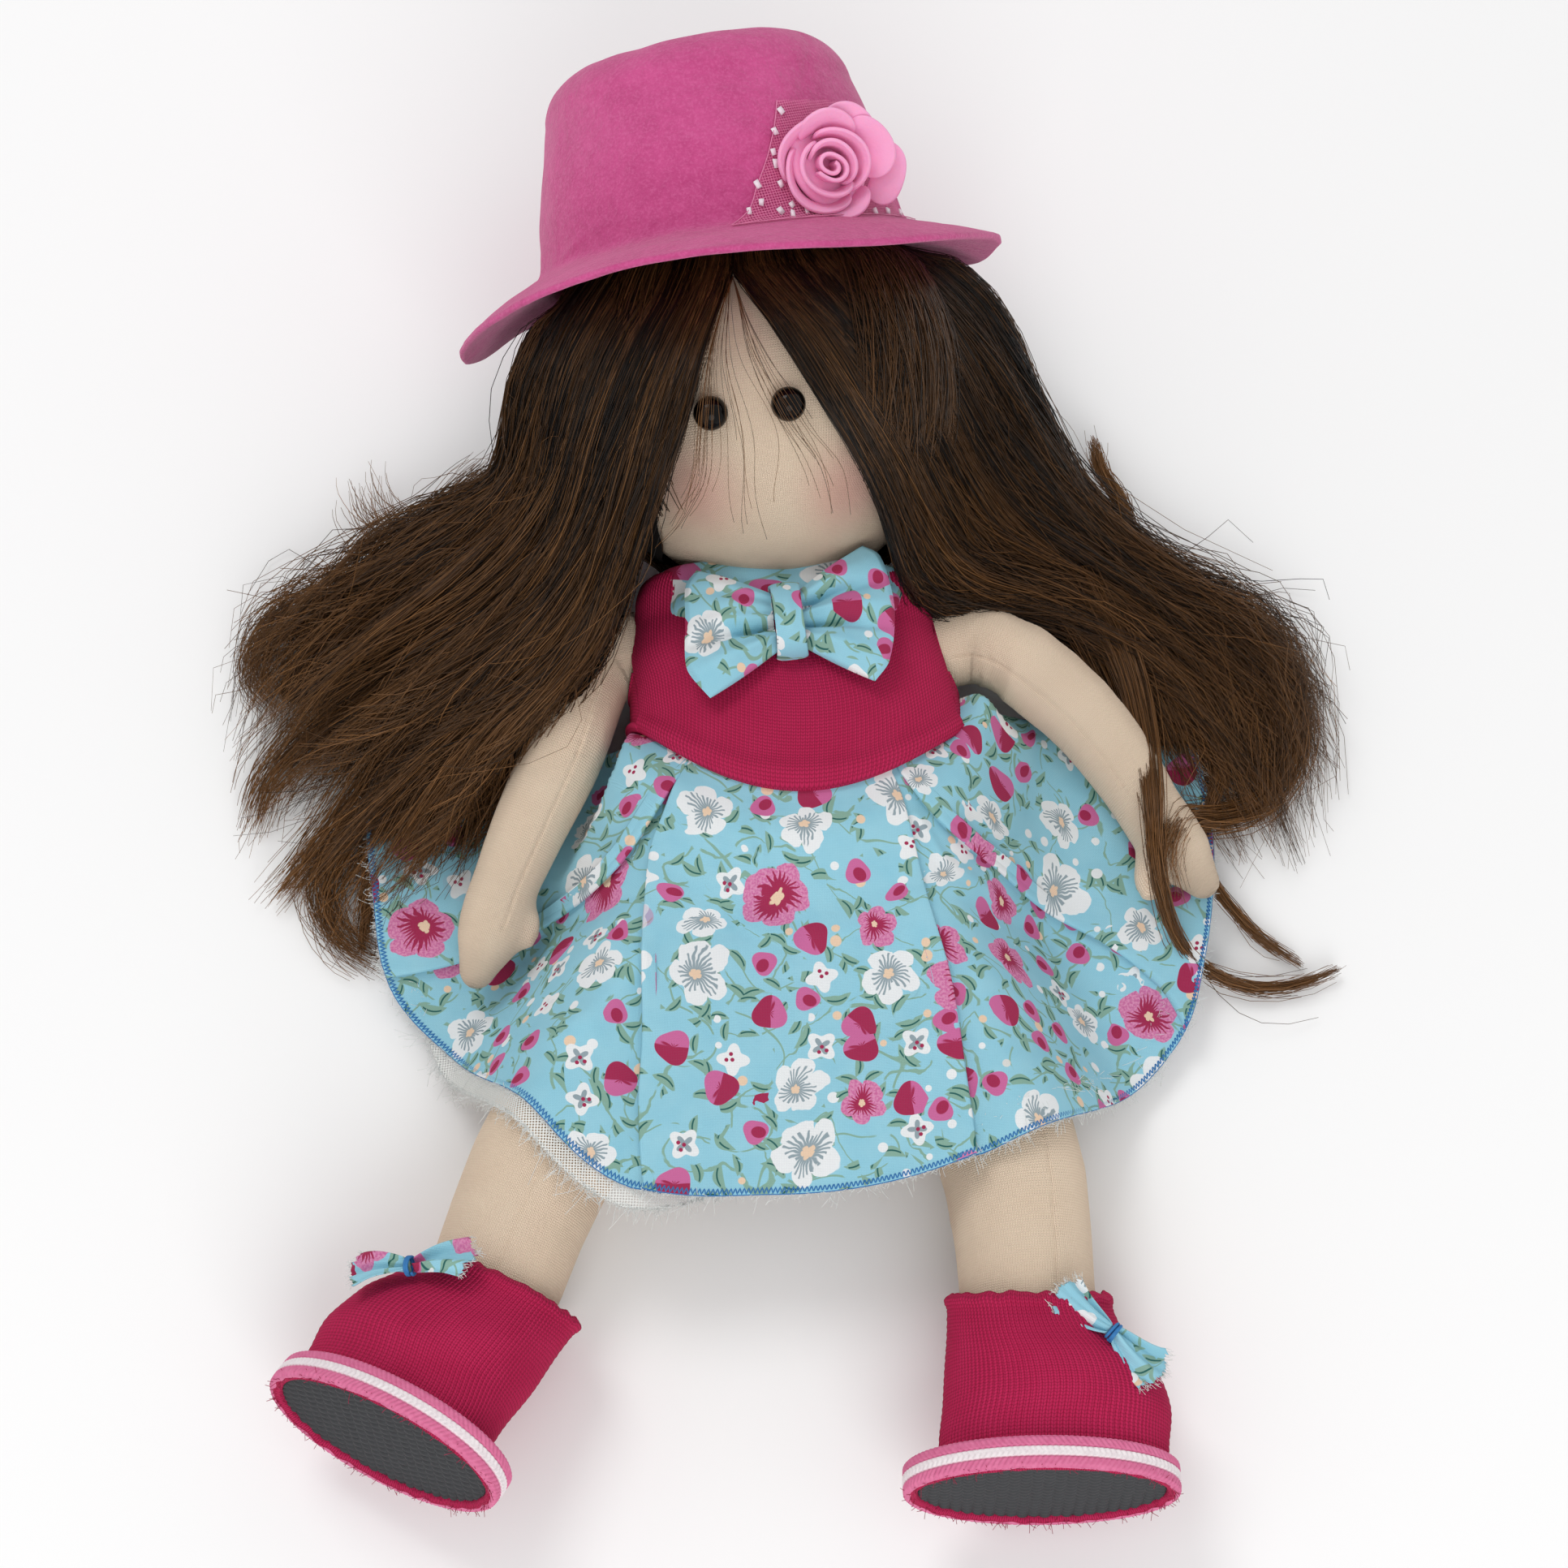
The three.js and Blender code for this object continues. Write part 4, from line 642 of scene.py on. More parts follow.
    petals = (bearing * 2.5).calc("SINE").calc("ABSOLUTE").calc("POWER", 0.6) * 2.4 - 1.4
    spokes = (bearing * 3.66 + 40.0).calc("FRACT") - 0.5
    spokeDice = (((bearing * 3.66 + 40.0).calc("FLOOR")) * 12.9898).calc("SINE").calc("ABSOLUTE")
    pinkOne = isBloom * bloomDice.below(s["pinkShare"], sharp)
    face = pinkOne * bloomOut.below(9.0 + petals * 1.1, 0.14)
    lay(face, blendColour(fine.above(0.5, 0.2), colours["pink"], colours["pinkPale"]))
    length = 4.6 + spokeDice * 3.2
    ray = (spokes.calc("ABSOLUTE") * bloomOut * 0.27).below((length - bloomOut) * 0.1 + 0.16, 0.08)
    lay(pinkOne * ray * bloomOut.below(length, 0.3), colours["crimson"])
    lay(pinkOne * bloomOut.below(2.9 + spokeDice * 0.9, 0.15), colours["crimson"])
    whiteOne = isBloom * bloomDice.above(s["pinkShare"], sharp)
    lay(whiteOne * bloomOut.below(7.7 + petals * 1.5, 0.14), colours["white"])
    jag = 3.8 + spokeDice * 2.8 + (bearing * 5.0).calc("SINE") * 0.5
    lay(whiteOne * bloomOut.below(jag, 0.14), colours["grey"])
    lines = (spokes.calc("ABSOLUTE") * bloomOut * 0.27).above(0.30, 0.1) * bloomOut.below(jag + 0.5, 0.2)
    lay(whiteOne * lines, colours["white"])
    lay(isBloom * bloomOut.below(1.5 + petals * 0.25, 0.14), colours["peach"])
    feed(out.inputs["Color"], colour)
    return group


print("stage: materials")
knitGroup = makeKnitGroup()
weaveGroup = makeWeaveGroup()
printGroup = makePrintGroup()

skinSettings = {
    "skin": srgb(255, 236, 211), "skinShade": srgb(238, 206, 178), "blush": srgb(224, 134, 138),
    "wale": 1.0, "course": 0.72, "bump": 0.00036,
}


def skinMaterial(name, blush=()):
    # blush is a list of spots: centre and radius in metres, and how strong
    material, tree, shader = newMaterial(name)
    stitches = useGroup(tree, knitGroup, Place=clothPlace(tree), Wale=skinSettings["wale"],
                        Course=skinSettings["course"])
    tone = noise(objectPlace(tree), 60.0, 3.0)
    base = blendColour(tone * 0.5, skinSettings["skin"], skinSettings["skinShade"])
    for centre, radius, strength in blush:
        node = tree.nodes.new("ShaderNodeVectorMath")
        node.operation = "DISTANCE"
        feed(node.inputs[0], objectPlace(tree))
        feed(node.inputs[1], centre)
        spot = Signal(tree, node.outputs["Value"]).below(radius * 0.55, radius * 0.55)
        base = blendColour(spot * strength, base, skinSettings["blush"])
    # painted shade: the hollows between the stitches are blended towards the darker skin colour
    base = blendColour(stitches["GapShade"] * 0.75, base, skinSettings["skinShade"])
    finish(shader, base, 0.85, 0.2)
    bump(shader, tree, stitches["Height"], skinSettings["bump"])
    return material


def printMaterial():
    material, tree, shader = newMaterial("floral_cotton")
    place = clothPlace(tree)
    colour = useGroup(tree, printGroup, Place=place)["Color"]
    weave = useGroup(tree, weaveGroup, Place=place, Pitch=0.34)["Height"]
    # painted shade: the low places between the woven threads are darkened towards a dull blue
    colour = blendColour((1.0 - weave) * 0.16, colour, srgb(92, 140, 158))
    finish(shader, colour, 0.8, 0.25)
    creases = noise(objectPlace(tree), 95.0, 3.0)
    bump(shader, tree, weave * 0.2 + creases * 1.2, 0.0003)
    return material


ribSettings = {"crimson": srgb(178, 22, 74), "crimsonShade": srgb(126, 8, 46), "crimsonLit": srgb(200, 44, 96)}


def ribMaterial(name, wale, course, depth=0.00018):
    material, tree, shader = newMaterial(name)
    stitches = useGroup(tree, knitGroup, Place=clothPlace(tree), Wale=wale, Course=course)
    tone = noise(objectPlace(tree), 120.0, 3.0)
    base = blendColour(tone * 0.6, ribSettings["crimson"], ribSettings["crimsonLit"])
    # painted shade: the hollows between the stitches are blended towards the darker crimson
    base = blendColour(stitches["GapShade"] * 0.75, base, ribSettings["crimsonShade"])
    finish(shader, base, 0.82, 0.25)
    bump(shader, tree, stitches["Height"], depth)
    return material


def feltMaterial():
    material, tree, shader = newMaterial("pink_felt")
    place = objectPlace(tree)
    fuzz = noise(place, 1100.0, 4.0, 0.7)
    clumps = noise(place, 330.0, 3.0, 0.6)
    mottle = noise(place, 60.0, 3.0, 0.55)
    patches = mottle.above(0.5, 0.25) * 0.35 + clumps.above(0.52, 0.2) * 0.3
    base = blendColour(patches, srgb(206, 82, 142), srgb(176, 58, 114))
    base = blendColour(fuzz.above(0.56, 0.12) * 0.35, base, srgb(226, 116, 170))
    finish(shader, base, 0.95, 0.15)
    shader.inputs["Sheen Weight"].default_value = 0.25
    shader.inputs["Sheen Roughness"].default_value = 0.5
    bump(shader, tree, fuzz * 0.6 + clumps * 1.0 + mottle * 0.6, 0.0006)
    return material


def foamMaterial():
    material, tree, shader = newMaterial("pink_foam")
    place = objectPlace(tree)
    pores = noise(place, 1400.0, 3.0)
    cloud = noise(place, 90.0, 2.0)
    base = blendColour(cloud, srgb(248, 176, 214), srgb(240, 154, 198))
    finish(shader, base, 0.62)
    shader.inputs["Subsurface Weight"].default_value = 0.2
    shader.inputs["Subsurface Scale"].default_value = 0.002
    bump(shader, tree, pores, 0.00012)
    return material


def netMaterial():
    material, tree, shader = newMaterial("pink_net")
    x, y, _ = parts(clothPlace(tree))
    a, b = (x / 0.8).calc("FRACT") - 0.5, (y / 0.8).calc("FRACT") - 0.5
    thread = a.calc("ABSOLUTE").calc("MAXIMUM", b.calc("ABSOLUTE"))
    cover = thread.above(0.38, 0.04)
    tone = noise(objectPlace(tree), 500.0, 2.0)
    finish(shader, blendColour(tone, srgb(224, 130, 168), srgb(206, 96, 142)), 0.7)
    feed(shader.inputs["Alpha"], cover)
    return material


def gauzeMaterial():
    material, tree, shader = newMaterial("white_gauze")
    x, y, _ = parts(clothPlace(tree))
    sway = noise(objectPlace(tree), 160.0, 2.0)
    a = ((x + sway * 0.6) / 0.8).calc("FRACT") - 0.5
    b = ((y + sway * 0.6) / 0.8).calc("FRACT") - 0.5
    thread = a.calc("ABSOLUTE").calc("MAXIMUM", b.calc("ABSOLUTE"))
    cover = thread.above(0.33, 0.05)
    finish(shader, blendColour(sway, srgb(240, 240, 236), srgb(222, 224, 220)), 0.85)
    feed(shader.inputs["Alpha"], cover)
    return material


def beadMaterial():
    material, tree, shader = newMaterial("black_bead")
    dust = noise(objectPlace(tree), 900.0, 2.0)
    finish(shader, blendColour(dust * 0.4, srgb(6, 5, 5), srgb(16, 13, 12)), 0.06 + dust * 0.08, 0.13)
    return material


def hairMaterial(name, dark, light, roughness):
    material, tree, shader = newMaterial(name)
    node = tree.nodes.new("ShaderNodeAttribute")
    node.attribute_name = "tone"
    tone = Signal(tree, node.outputs["Fac"])
    finish(shader, blendColour(tone, dark, light), roughness, 0.25)
    return material


def braidMaterial():
    # pink, white and pink rows across the band
    material, tree, shader = newMaterial("pink_braid")
    x, y, _ = parts(clothPlace(tree))
    row = (y - 4.5).calc("ABSOLUTE")
    middle = row.below(1.35, 0.2)
    fluff = noise(objectPlace(tree), 700.0, 3.0)
    pink = blendColour(fluff, srgb(226, 128, 166), srgb(198, 88, 132))
    colour = blendColour(middle, pink, blendColour(fluff, srgb(245, 240, 240), srgb(222, 206, 212)))
    finish(shader, colour, 0.8)
    bump(shader, tree, fluff, 0.0002)
    return material


def grainedMaterial(name, one, other, grain, detail, roughness, relief=None):
    # two colours mingled by a fine grain; the roughness is a base and what the grain adds
    material, tree, shader = newMaterial(name)
    tone = noise(objectPlace(tree), grain, detail)
    base, more = roughness
    finish(shader, blendColour(tone, one, other), base + tone * more if more else base)
    if relief:
        bump(shader, tree, tone, relief)
    return material


def threadMaterial(name, one, other):
    return grainedMaterial(name, one, other, 900.0, 2.0, (0.75, 0))


cheeks = [((-0.0295, 0.061, 0.090), 0.023, 0.8), ((0.0235, 0.063, 0.090), 0.023, 0.85)]
materials = {
    "skin": skinMaterial("skin_knit"),
    "face": skinMaterial("face_knit", cheeks),
    "print": printMaterial(),
    "bodice": ribMaterial("crimson_rib_knit", 1.25, 1.05),
    "upper": ribMaterial("crimson_shoe_knit", 1.3, 1.1),
    "felt": feltMaterial(),
    "foam": foamMaterial(),
    "net": netMaterial(),
    "fleck": grainedMaterial("white_flecks", srgb(250, 240, 246), srgb(236, 216, 228), 700.0, 2.0, (0.7, 0)),
    "gauze": gauzeMaterial(),
    "bead": beadMaterial(),
    "hair": hairMaterial("brown_hair", srgb(14, 6, 2), srgb(142, 98, 56), 0.36),
    # partly painted shade: the under-hair is the hair's darkest brown, matte, for the shaded inner layers
    "hairUnderShade": hairMaterial("brown_hair_under", srgb(10, 5, 2), srgb(24, 13, 7), 0.9),
    "braid": braidMaterial(),
    "sole": grainedMaterial("charcoal_sole", srgb(24, 25, 28), srgb(48, 49, 53), 600.0, 3.0, (0.5, 0.25),
                            0.00015),
    "card": grainedMaterial("insole_card", srgb(190, 172, 140), srgb(164, 146, 116), 300.0, 3.0, (0.9, 0),
                            0.0001),
    "blueThread": threadMaterial("blue_thread", srgb(52, 128, 186), srgb(34, 98, 160)),
    "whiteFray": threadMaterial("white_fray", srgb(240, 242, 240), srgb(214, 218, 216)),
    "netEdge": threadMaterial("pink_net_edge", srgb(232, 150, 186), srgb(212, 110, 156)),
    "crimsonFray": threadMaterial("crimson_fray", srgb(176, 24, 74), srgb(122, 10, 48)),
}


# Frames that the pieces share with the solids
def rotation(degrees, axis):
    return Matrix.Rotation(math.radians(degrees), 4, axis)


neckPivot = Vector((1.2, 57, 39.6))
headHalf = (54.0, 57.0, 52.0)
headTurn = rotation(22, "X") @ rotation(-4, "Y") @ rotation(6, "Z")
headUp = headTurn.to_3x3() @ Vector((0, 1, 0))
headFrame = Matrix.Translation(neckPivot + headUp * (headHalf[1] + 0.3)) @ headTurn
hatFrame = headFrame @ Matrix.Translation((-8.5, 43.5, 0)) @ rotation(3.5, "Z")
roseFrame = hatFrame @ rotation(41, "Y") @ Matrix.Translation((0, 16.5, 55.6)) @ rotation(85, "X")
bowFrame = Matrix.Translation((1.2, 36.6, 65.6)) @ rotation(7, "Z")

# torso: place along Y, half width, half depth, offset to the doll's left
torsoRows = [(-54, 14, 9, 3), (-46, 33, 18, 3), (-30, 44, 26, 4), (-10, 45.5, 28.5, 4.5), (15, 45, 28, 4.5),
             (36, 41, 25.5, 1), (48, 33, 21, 0), (55, 22, 17, 0), (60, 15, 14.5, 0), (68, 13.5, 13.5, 0)]
limbSpines = {
    "arm_left": [(37.3, 42, 30), (48, 42, 30), (58, 45, 30), (72, 44.5, 29), (87, 34.5, 27), (98.5, 16.5, 25),
                 (107, -1, 23), (116, -16, 21), (123.5, -27, 20)],
    "arm_right": [(-37.3, 42, 30), (-47, 42, 30), (-56, 37.5, 31), (-61, 24, 32.5), (-65.5, 8, 33),
                  (-74.5, -13, 31), (-82.5, -33, 27), (-86.5, -47, 24.5), (-89.5, -56, 23)],
    "leg_left": [(35, -42, 26), (45, -64, 25.5), (57, -90, 25), (65, -116, 25), (67.5, -138, 25),
                 (68.3, -156, 25.3), (68.5, -170, 26)],
    "leg_right": [(-30, -42, 26), (-42, -64, 25.5), (-56, -90, 25), (-67.5, -112, 25), (-75.5, -132, 25),
                  (-81.5, -150, 25.3), (-88, -164, 26)],
}
# the left arm as it lies in the dress: a little lower at the elbow than its solid
armLies = [(37.3, 42, 30), (47, 44, 30), (57.5, 45.5, 30), (68.5, 41, 30), (79.5, 33, 28), (89, 23.5, 27),
           (100, 9, 25), (109.5, -7, 23), (117, -18, 21), (123.5, -27, 20)]
armRadii = [(0, 13.6), (0.12, 13.6), (0.3, 13.4), (0.5, 12.8), (0.7, 11.4), (0.8, 10.6), (0.9, 11), (1, 6.2)]


def matched(*values):
    return np.broadcast_arrays(*(np.asarray(value, float) for value in values))


def torsoSkin(y, angle, lift, lowest=-50.0):
    y, angle, lift = matched(y, angle, lift)
    halfWidth, halfDepth, left = np.moveaxis(eased(torsoRows, y), -1, 0)
    x = left + (halfWidth + lift) * np.cos(angle)
    z = 30 + 7 * smoothStep(y, 44, 60) + (halfDepth + lift) * np.sin(angle)
    return stacked(x, y, np.maximum(z, lowest))


# the bodice above the waist is wider than the torso, and boxy, as it covers the ends of the arms
bodiceRows = [(15, 45, 28, 4.5, 2), (26, 44, 27.5, 3, 2.2), (36, 43.5, 26, 1, 2.7), (48, 42.5, 24, 0, 2.9),
              (56, 41, 21, 0, 2.9), (62, 34, 17, 0, 2.6)]


def bodiceSkin(y, angle, lift, lowest=-50.0):
    y, angle, lift = matched(y, angle, lift)
    halfWidth, halfDepth, left, power = np.moveaxis(eased(bodiceRows, np.maximum(y, 15)), -1, 0)
    reach = (np.abs(np.cos(angle)) ** power + np.abs(np.sin(angle)) ** power) ** (-1 / power)
    x = left + (halfWidth + lift) * reach * np.cos(angle)
    z = 30 + 7 * smoothStep(y, 44, 60) + (halfDepth + lift) * reach * np.sin(angle)
    upper = stacked(x, y, np.maximum(z, lowest))
    return np.where(y[..., None] > 15, upper, torsoSkin(y, angle, lift, lowest))


def bodiceHem(angle):
    return -14 + 30 * np.cos(angle) ** 2


# Stuffed pieces: the solid's form, puffed up by a short cloth simulation
print("stage: stuffed body")
stuffSettings = {
    "torso": {"voxel": 2.6, "shrink": 1.0, "cap": 1.0, "pressure": 3.0},
    "head": {"voxel": 2.6, "shrink": 0.9, "cap": 1.4, "pressure": 4.0},
    "arm_left": {"voxel": 1.7, "shrink": 0.5, "cap": 0.9, "pressure": 4.0},
    "arm_right": {"voxel": 1.7, "shrink": 0.5, "cap": 0.9, "pressure": 4.0},
    "leg_left": {"voxel": 2.2, "shrink": 0.6, "cap": 1.0, "pressure": 4.0},
    "leg_right": {"voxel": 2.2, "shrink": 0.6, "cap": 1.0, "pressure": 4.0},
}
stuffFrames = 20


def stuffAll():
    made = {}
    for name, settings in stuffSettings.items():
        obj = remeshed(nodeCopy(name, name + "_cloth"), settings["voxel"], 6)
        setPlaces(obj, vertexPlaces(obj) - vertexNormals(obj) * settings["shrink"])
        made[name] = obj
    rests = {name: vertexPlaces(obj) for name, obj in made.items()}
    for name, obj in made.items():
        cloth = obj.modifiers.new("stuffing", "CLOTH")
        cloth.settings.use_pressure = True
        cloth.settings.uniform_pressure_force = stuffSettings[name]["pressure"]
        cloth.settings.effector_weights.gravity = 0
        cloth.settings.quality = 4
        cloth.point_cache.frame_start, cloth.point_cache.frame_end = 1, stuffFrames
    for step in range(1, stuffFrames + 1):
        bpy.context.scene.frame_set(step)
    for name, obj in made.items():
        settled(obj)
        moved = vertexPlaces(obj) - rests[name]
        length = np.linalg.norm(moved, axis=1, keepdims=True)
        cap = stuffSettings[name]["cap"]
        moved *= np.minimum(1, cap / np.maximum(length, 1e-6))
        setPlaces(obj, rests[name] + moved)
    bpy.context.scene.frame_set(1)
    for name, obj in made.items():
        rounding = obj.modifiers.new("rounding", "SUBSURF")
        rounding.levels = rounding.render_levels = 1
        settled(obj)
    return made


def alongSpine(points, spine):
    # nearest place on the spine: the length along it, the offset across and over it
    line = curveThrough(spine, 160)
    lengths = lengthsAlong(line)
    tangents = unit(np.gradient(line, axis=0))
    across = unit(np.cross([0, 0, 1.0], tangents))
    over = np.cross(tangents, across)
    nearest = nearestOn(points, line)
    offset = points - line[nearest]
    return (lengths[nearest] + (offset * tangents[nearest]).sum(1), (offset * across[nearest]).sum(1),
            (offset * over[nearest]).sum(1))


def limbCloth(obj, spine, radius):
    period = round(2 * math.pi * radius)

    def place(points):
        length, across, over = alongSpine(points, spine)
        return np.stack([np.arctan2(across, over) / (2 * np.pi) * period, length], 1)
    return unwrapped(obj, place, period)


def seamed(obj, spine, angle, start, end, depth, width):
    # a sewn seam: a narrow groove between two soft lips, along one side of a limb
    points = vertexPlaces(obj)
    length, across, over = alongSpine(points, spine)
    turn = np.arctan2(across, over) - math.radians(angle)
    away = (turn + np.pi) % (2 * np.pi) - np.pi
    off = away * np.hypot(across, over)
    off = off + 0.8 * np.sin(length / 17)
    held = smoothStep(length, start, start + 6) * (1 - smoothStep(length, end - 6, end))
    lips = 0.3 * depth * np.exp(-(((np.abs(off) - 2.0 * width) / width) ** 2))
    groove = -depth * np.exp(-((off / width) ** 2)) + lips
    pucker = 0.12 * np.sin(length * 2 * np.pi / 3.1) * np.exp(-((off / (3 * width)) ** 2))
    setPlaces(obj, points + vertexNormals(obj) * ((groove + pucker) * held)[:, None])


def laidAlong(obj, old, new):
    points = vertexPlaces(obj)
    before, after = curveThrough(old, 160), curveThrough(new, 160)
    setPlaces(obj, points + (after - before)[nearestOn(points, before)])


stuffed = stuffAll()
laidAlong(stuffed["arm_left"], limbSpines["arm_left"], armLies)
limbSpines["arm_left"] = armLies
# each limb's seam: bearing, start and end along the limb, depth and width; then the radius of its cloth
limbSewing = {
    "arm_left": ((-38, 8, 92, 0.45, 0.5), 12.5), "arm_right": ((30, 8, 112, 0.45, 0.5), 12.5),
    "leg_left": ((22, 40, 130, 0.5, 0.6), 21), "leg_right": ((8, 40, 140, 0.5, 0.6), 21),
}
for name, (seam, radius) in limbSewing.items():
    seamed(stuffed[name], limbSpines[name], *seam)
    limbCloth(stuffed[name], limbSpines[name], radius)
    dressed(stuffed[name], materials["skin"], name, [name])
torsoRound = 42
unwrapped(stuffed["torso"], lambda p: stacked(np.arctan2(p[:, 0] - 2, p[:, 2] - 30) * torsoRound, p[:, 1]),
          2 * torsoRound * math.pi)
dressed(stuffed["torso"], materials["skin"], "torso", ["torso"])
intoHead = headFrame.inverted()


def headCloth(points):
    x, y, z = placed(points, intoHead).T
    return np.stack([np.arctan2(x, z) * 52, np.arcsin(np.clip(y / 58, -1, 1)) * 57], 1)


unwrapped(stuffed["head"], headCloth, 104 * math.pi)
dressed(stuffed["head"], materials["face"], "head", ["head"])

eyeSettings = {"radius": 5.0, "spread": 22.4, "above": -6.4, "shift": -2.2}


def makeEye(name, sign):
    x = eyeSettings["shift"] + sign * eyeSettings["spread"] / 2
    y = eyeSettings["above"]
    z = headHalf[2] * math.sqrt(1 - (x / headHalf[0]) ** 2 - (y / headHalf[1]) ** 2) + 0.6
    turn, rise = np.meshgrid(roundTurn(40), np.linspace(-0.35, np.pi / 2 - 0.01, 22))
    ball = stacked(np.cos(turn) * np.cos(rise), np.sin(turn) * np.cos(rise), np.sin(rise))
    ball *= eyeSettings["radius"]
    outward = Vector((x / headHalf[0] ** 2, y / headHalf[1] ** 2, z / headHalf[2] ** 2)).normalized()
    spin = Matrix.Translation((x, y, z)) @ outward.to_track_quat("Z", "Y").to_matrix().to_4x4()
    points = placed(placed(ball, spin), headFrame)
    rows, columns = points.shape[:2]
    quads, _, _ = gridFaces(rows, columns, wrap=True)
    cap = np.arange(columns)[None] + (rows - 1) * columns
    obj = buildMesh(name, points, [quads, cap, np.arange(columns)[::-1][None]])
    return dressed(obj, materials["bead"], "head", [name.replace("_bead", "")])


makeEye("eye_left_bead", 1)
makeEye("eye_right_bead", -1)

print("stage: bodice")
bodiceSettings = {"ribs": 232, "perRib": 4, "rows": 64, "relief": 0.42, "thickness": 1.0, "roll": 1.5}


def armholeTop(angle, lift):
    # the bodice's upper edge: the neck seam in front, the armholes at the sides
    highest = 53 + 5 * smoothStep(np.abs(np.cos(angle)), 0.35, 0.7)
    top = highest.copy()
    for _ in range(14):
        z = bodiceSkin(top, angle, lift)[..., 2] - 30
        inside = np.abs(z) < 15.2
        cut = 42 - np.sqrt(np.maximum(15.2 ** 2 - z ** 2, 0))
        top = blendOf(top, np.where(inside, np.minimum(cut, highest), highest), 0.6)
    return top


def makeBodice():
    s = bodiceSettings
    columns = s["ribs"] * s["perRib"]
    angle = roundTurn(columns)
    share = np.concatenate([np.linspace(-0.03, 0.16, 22), np.linspace(0.16, 1, s["rows"] - 21)[1:]])[:, None]
    hem = bodiceHem(angle)
    top = armholeTop(angle, 3.0)
    y = blendOf(hem, top, np.maximum(share, 0))
    roll = s["roll"] * np.exp(-(((share - 0.055) / 0.055) ** 2))
    under = -1.6 * smoothStep(-share, 0.0, 0.03)
    upShare = (y - hem) / (53 - hem)
    lift = blendOf(2.5, 0.3, smoothStep(upShare, 0.3, 0.9)) + 1.5 + roll + under
    edge = smoothStep(share, 0.93, 1.0) * (1 - smoothStep(share, 0.985, 1.03))
    front = smoothStep(np.sin(angle), -0.5, -0.2)
    rib = (np.abs(np.cos(np.arange(columns) / s["perRib"] * np.pi)) - 0.5) * s["relief"] * front
    points = bodiceSkin(y, angle[None], lift + rib + 0.5 * edge, 0.0)
    points[..., 2] = np.where(np.sin(angle)[None] < -0.4, np.maximum(points[..., 2], 0.02), points[..., 2])
    uvAngle = np.arange(columns + 1) * 1.25 / s["perRib"]
    steps = np.linalg.norm(np.diff(points, axis=0), axis=2)
    lengths = np.concatenate([np.zeros((1, columns)), np.cumsum(steps, 0)])
    lengths = np.concatenate([lengths, lengths[:, :1]], 1)
    uv = stacked(np.broadcast_to(uvAngle, lengths.shape), lengths)
    obj = gridMesh("bodice_knit", points, uv, wrap=True)
    thickened(obj, s["thickness"])
    return dressed(obj, materials["bodice"], "torso", ["bodice"])


makeBodice()

print("stage: collar and bow")


def makeCollar():
    profile = curveThrough([(-1.2, 4), (-1.0, 9), (0.4, 11.5), (1.6, 10), (2.6, 6), (2.9, 1.6), (0.6, 0),
                            (-1.2, 2)], 40)
    profile = profile * (1, 1.5) + (0, -5)
    angle = roundTurn(180)
    out, up = profile[:, 0][:, None], profile[:, 1][:, None]
    crease = 0.4 * np.sin(angle * 9 + up * 0.5) * np.sin(np.clip((up + 5) / 17, 0, 1) * np.pi)
    reach = (np.abs(np.cos(angle)) ** 3.2 + np.abs(np.sin(angle)) ** 3.2) ** (-1 / 3.2)
    flare = 1 + 0.012 * up
    points = stacked((34 * flare + out + crease) * reach * np.cos(angle), 47 + up + 0 * angle,
                     35.5 + (24 + out + crease) * reach * np.sin(angle))
    lengths = lengthsAlong(profile)
    uv = stacked(np.arange(181)[None] * 0.92, lengths[:, None] + 40)
    obj = gridMesh("collar_band", points, uv, wrap=True, turned=True)
    return dressed(obj, materials["print"], "torso", ["collar"])


makeCollar()

bowSettings = {
    "left": {"outer": [(-24.5, 19.5), (-28.2, 15), (-29.6, 4), (-31, -8), (-30.4, -13), (-25.2, -21.5)],
             "pleats": [(0.10, 1.6, 0.07), (0.30, 1.8, 0.10), (0.45, 1.5, 0.06), (0.58, -4.6, 0.05),
                        (0.80, 2.6, 0.08)],
             "uv": (31, 57)},
    "right": {"outer": [(24.5, 21.5), (29.0, 18), (31, 8), (31, -2), (27.5, -16), (22.5, -22)],
              "pleats": [(0.14, 2.4, 0.08), (0.29, -4.0, 0.045), (0.45, 2.2, 0.06), (0.61, -4.2, 0.045),
                         (0.82, 2.4, 0.09)],
              "uv": (96, 24)},
    "knot": 4.2, "gather": 9.4, "depth": 3.4,
}


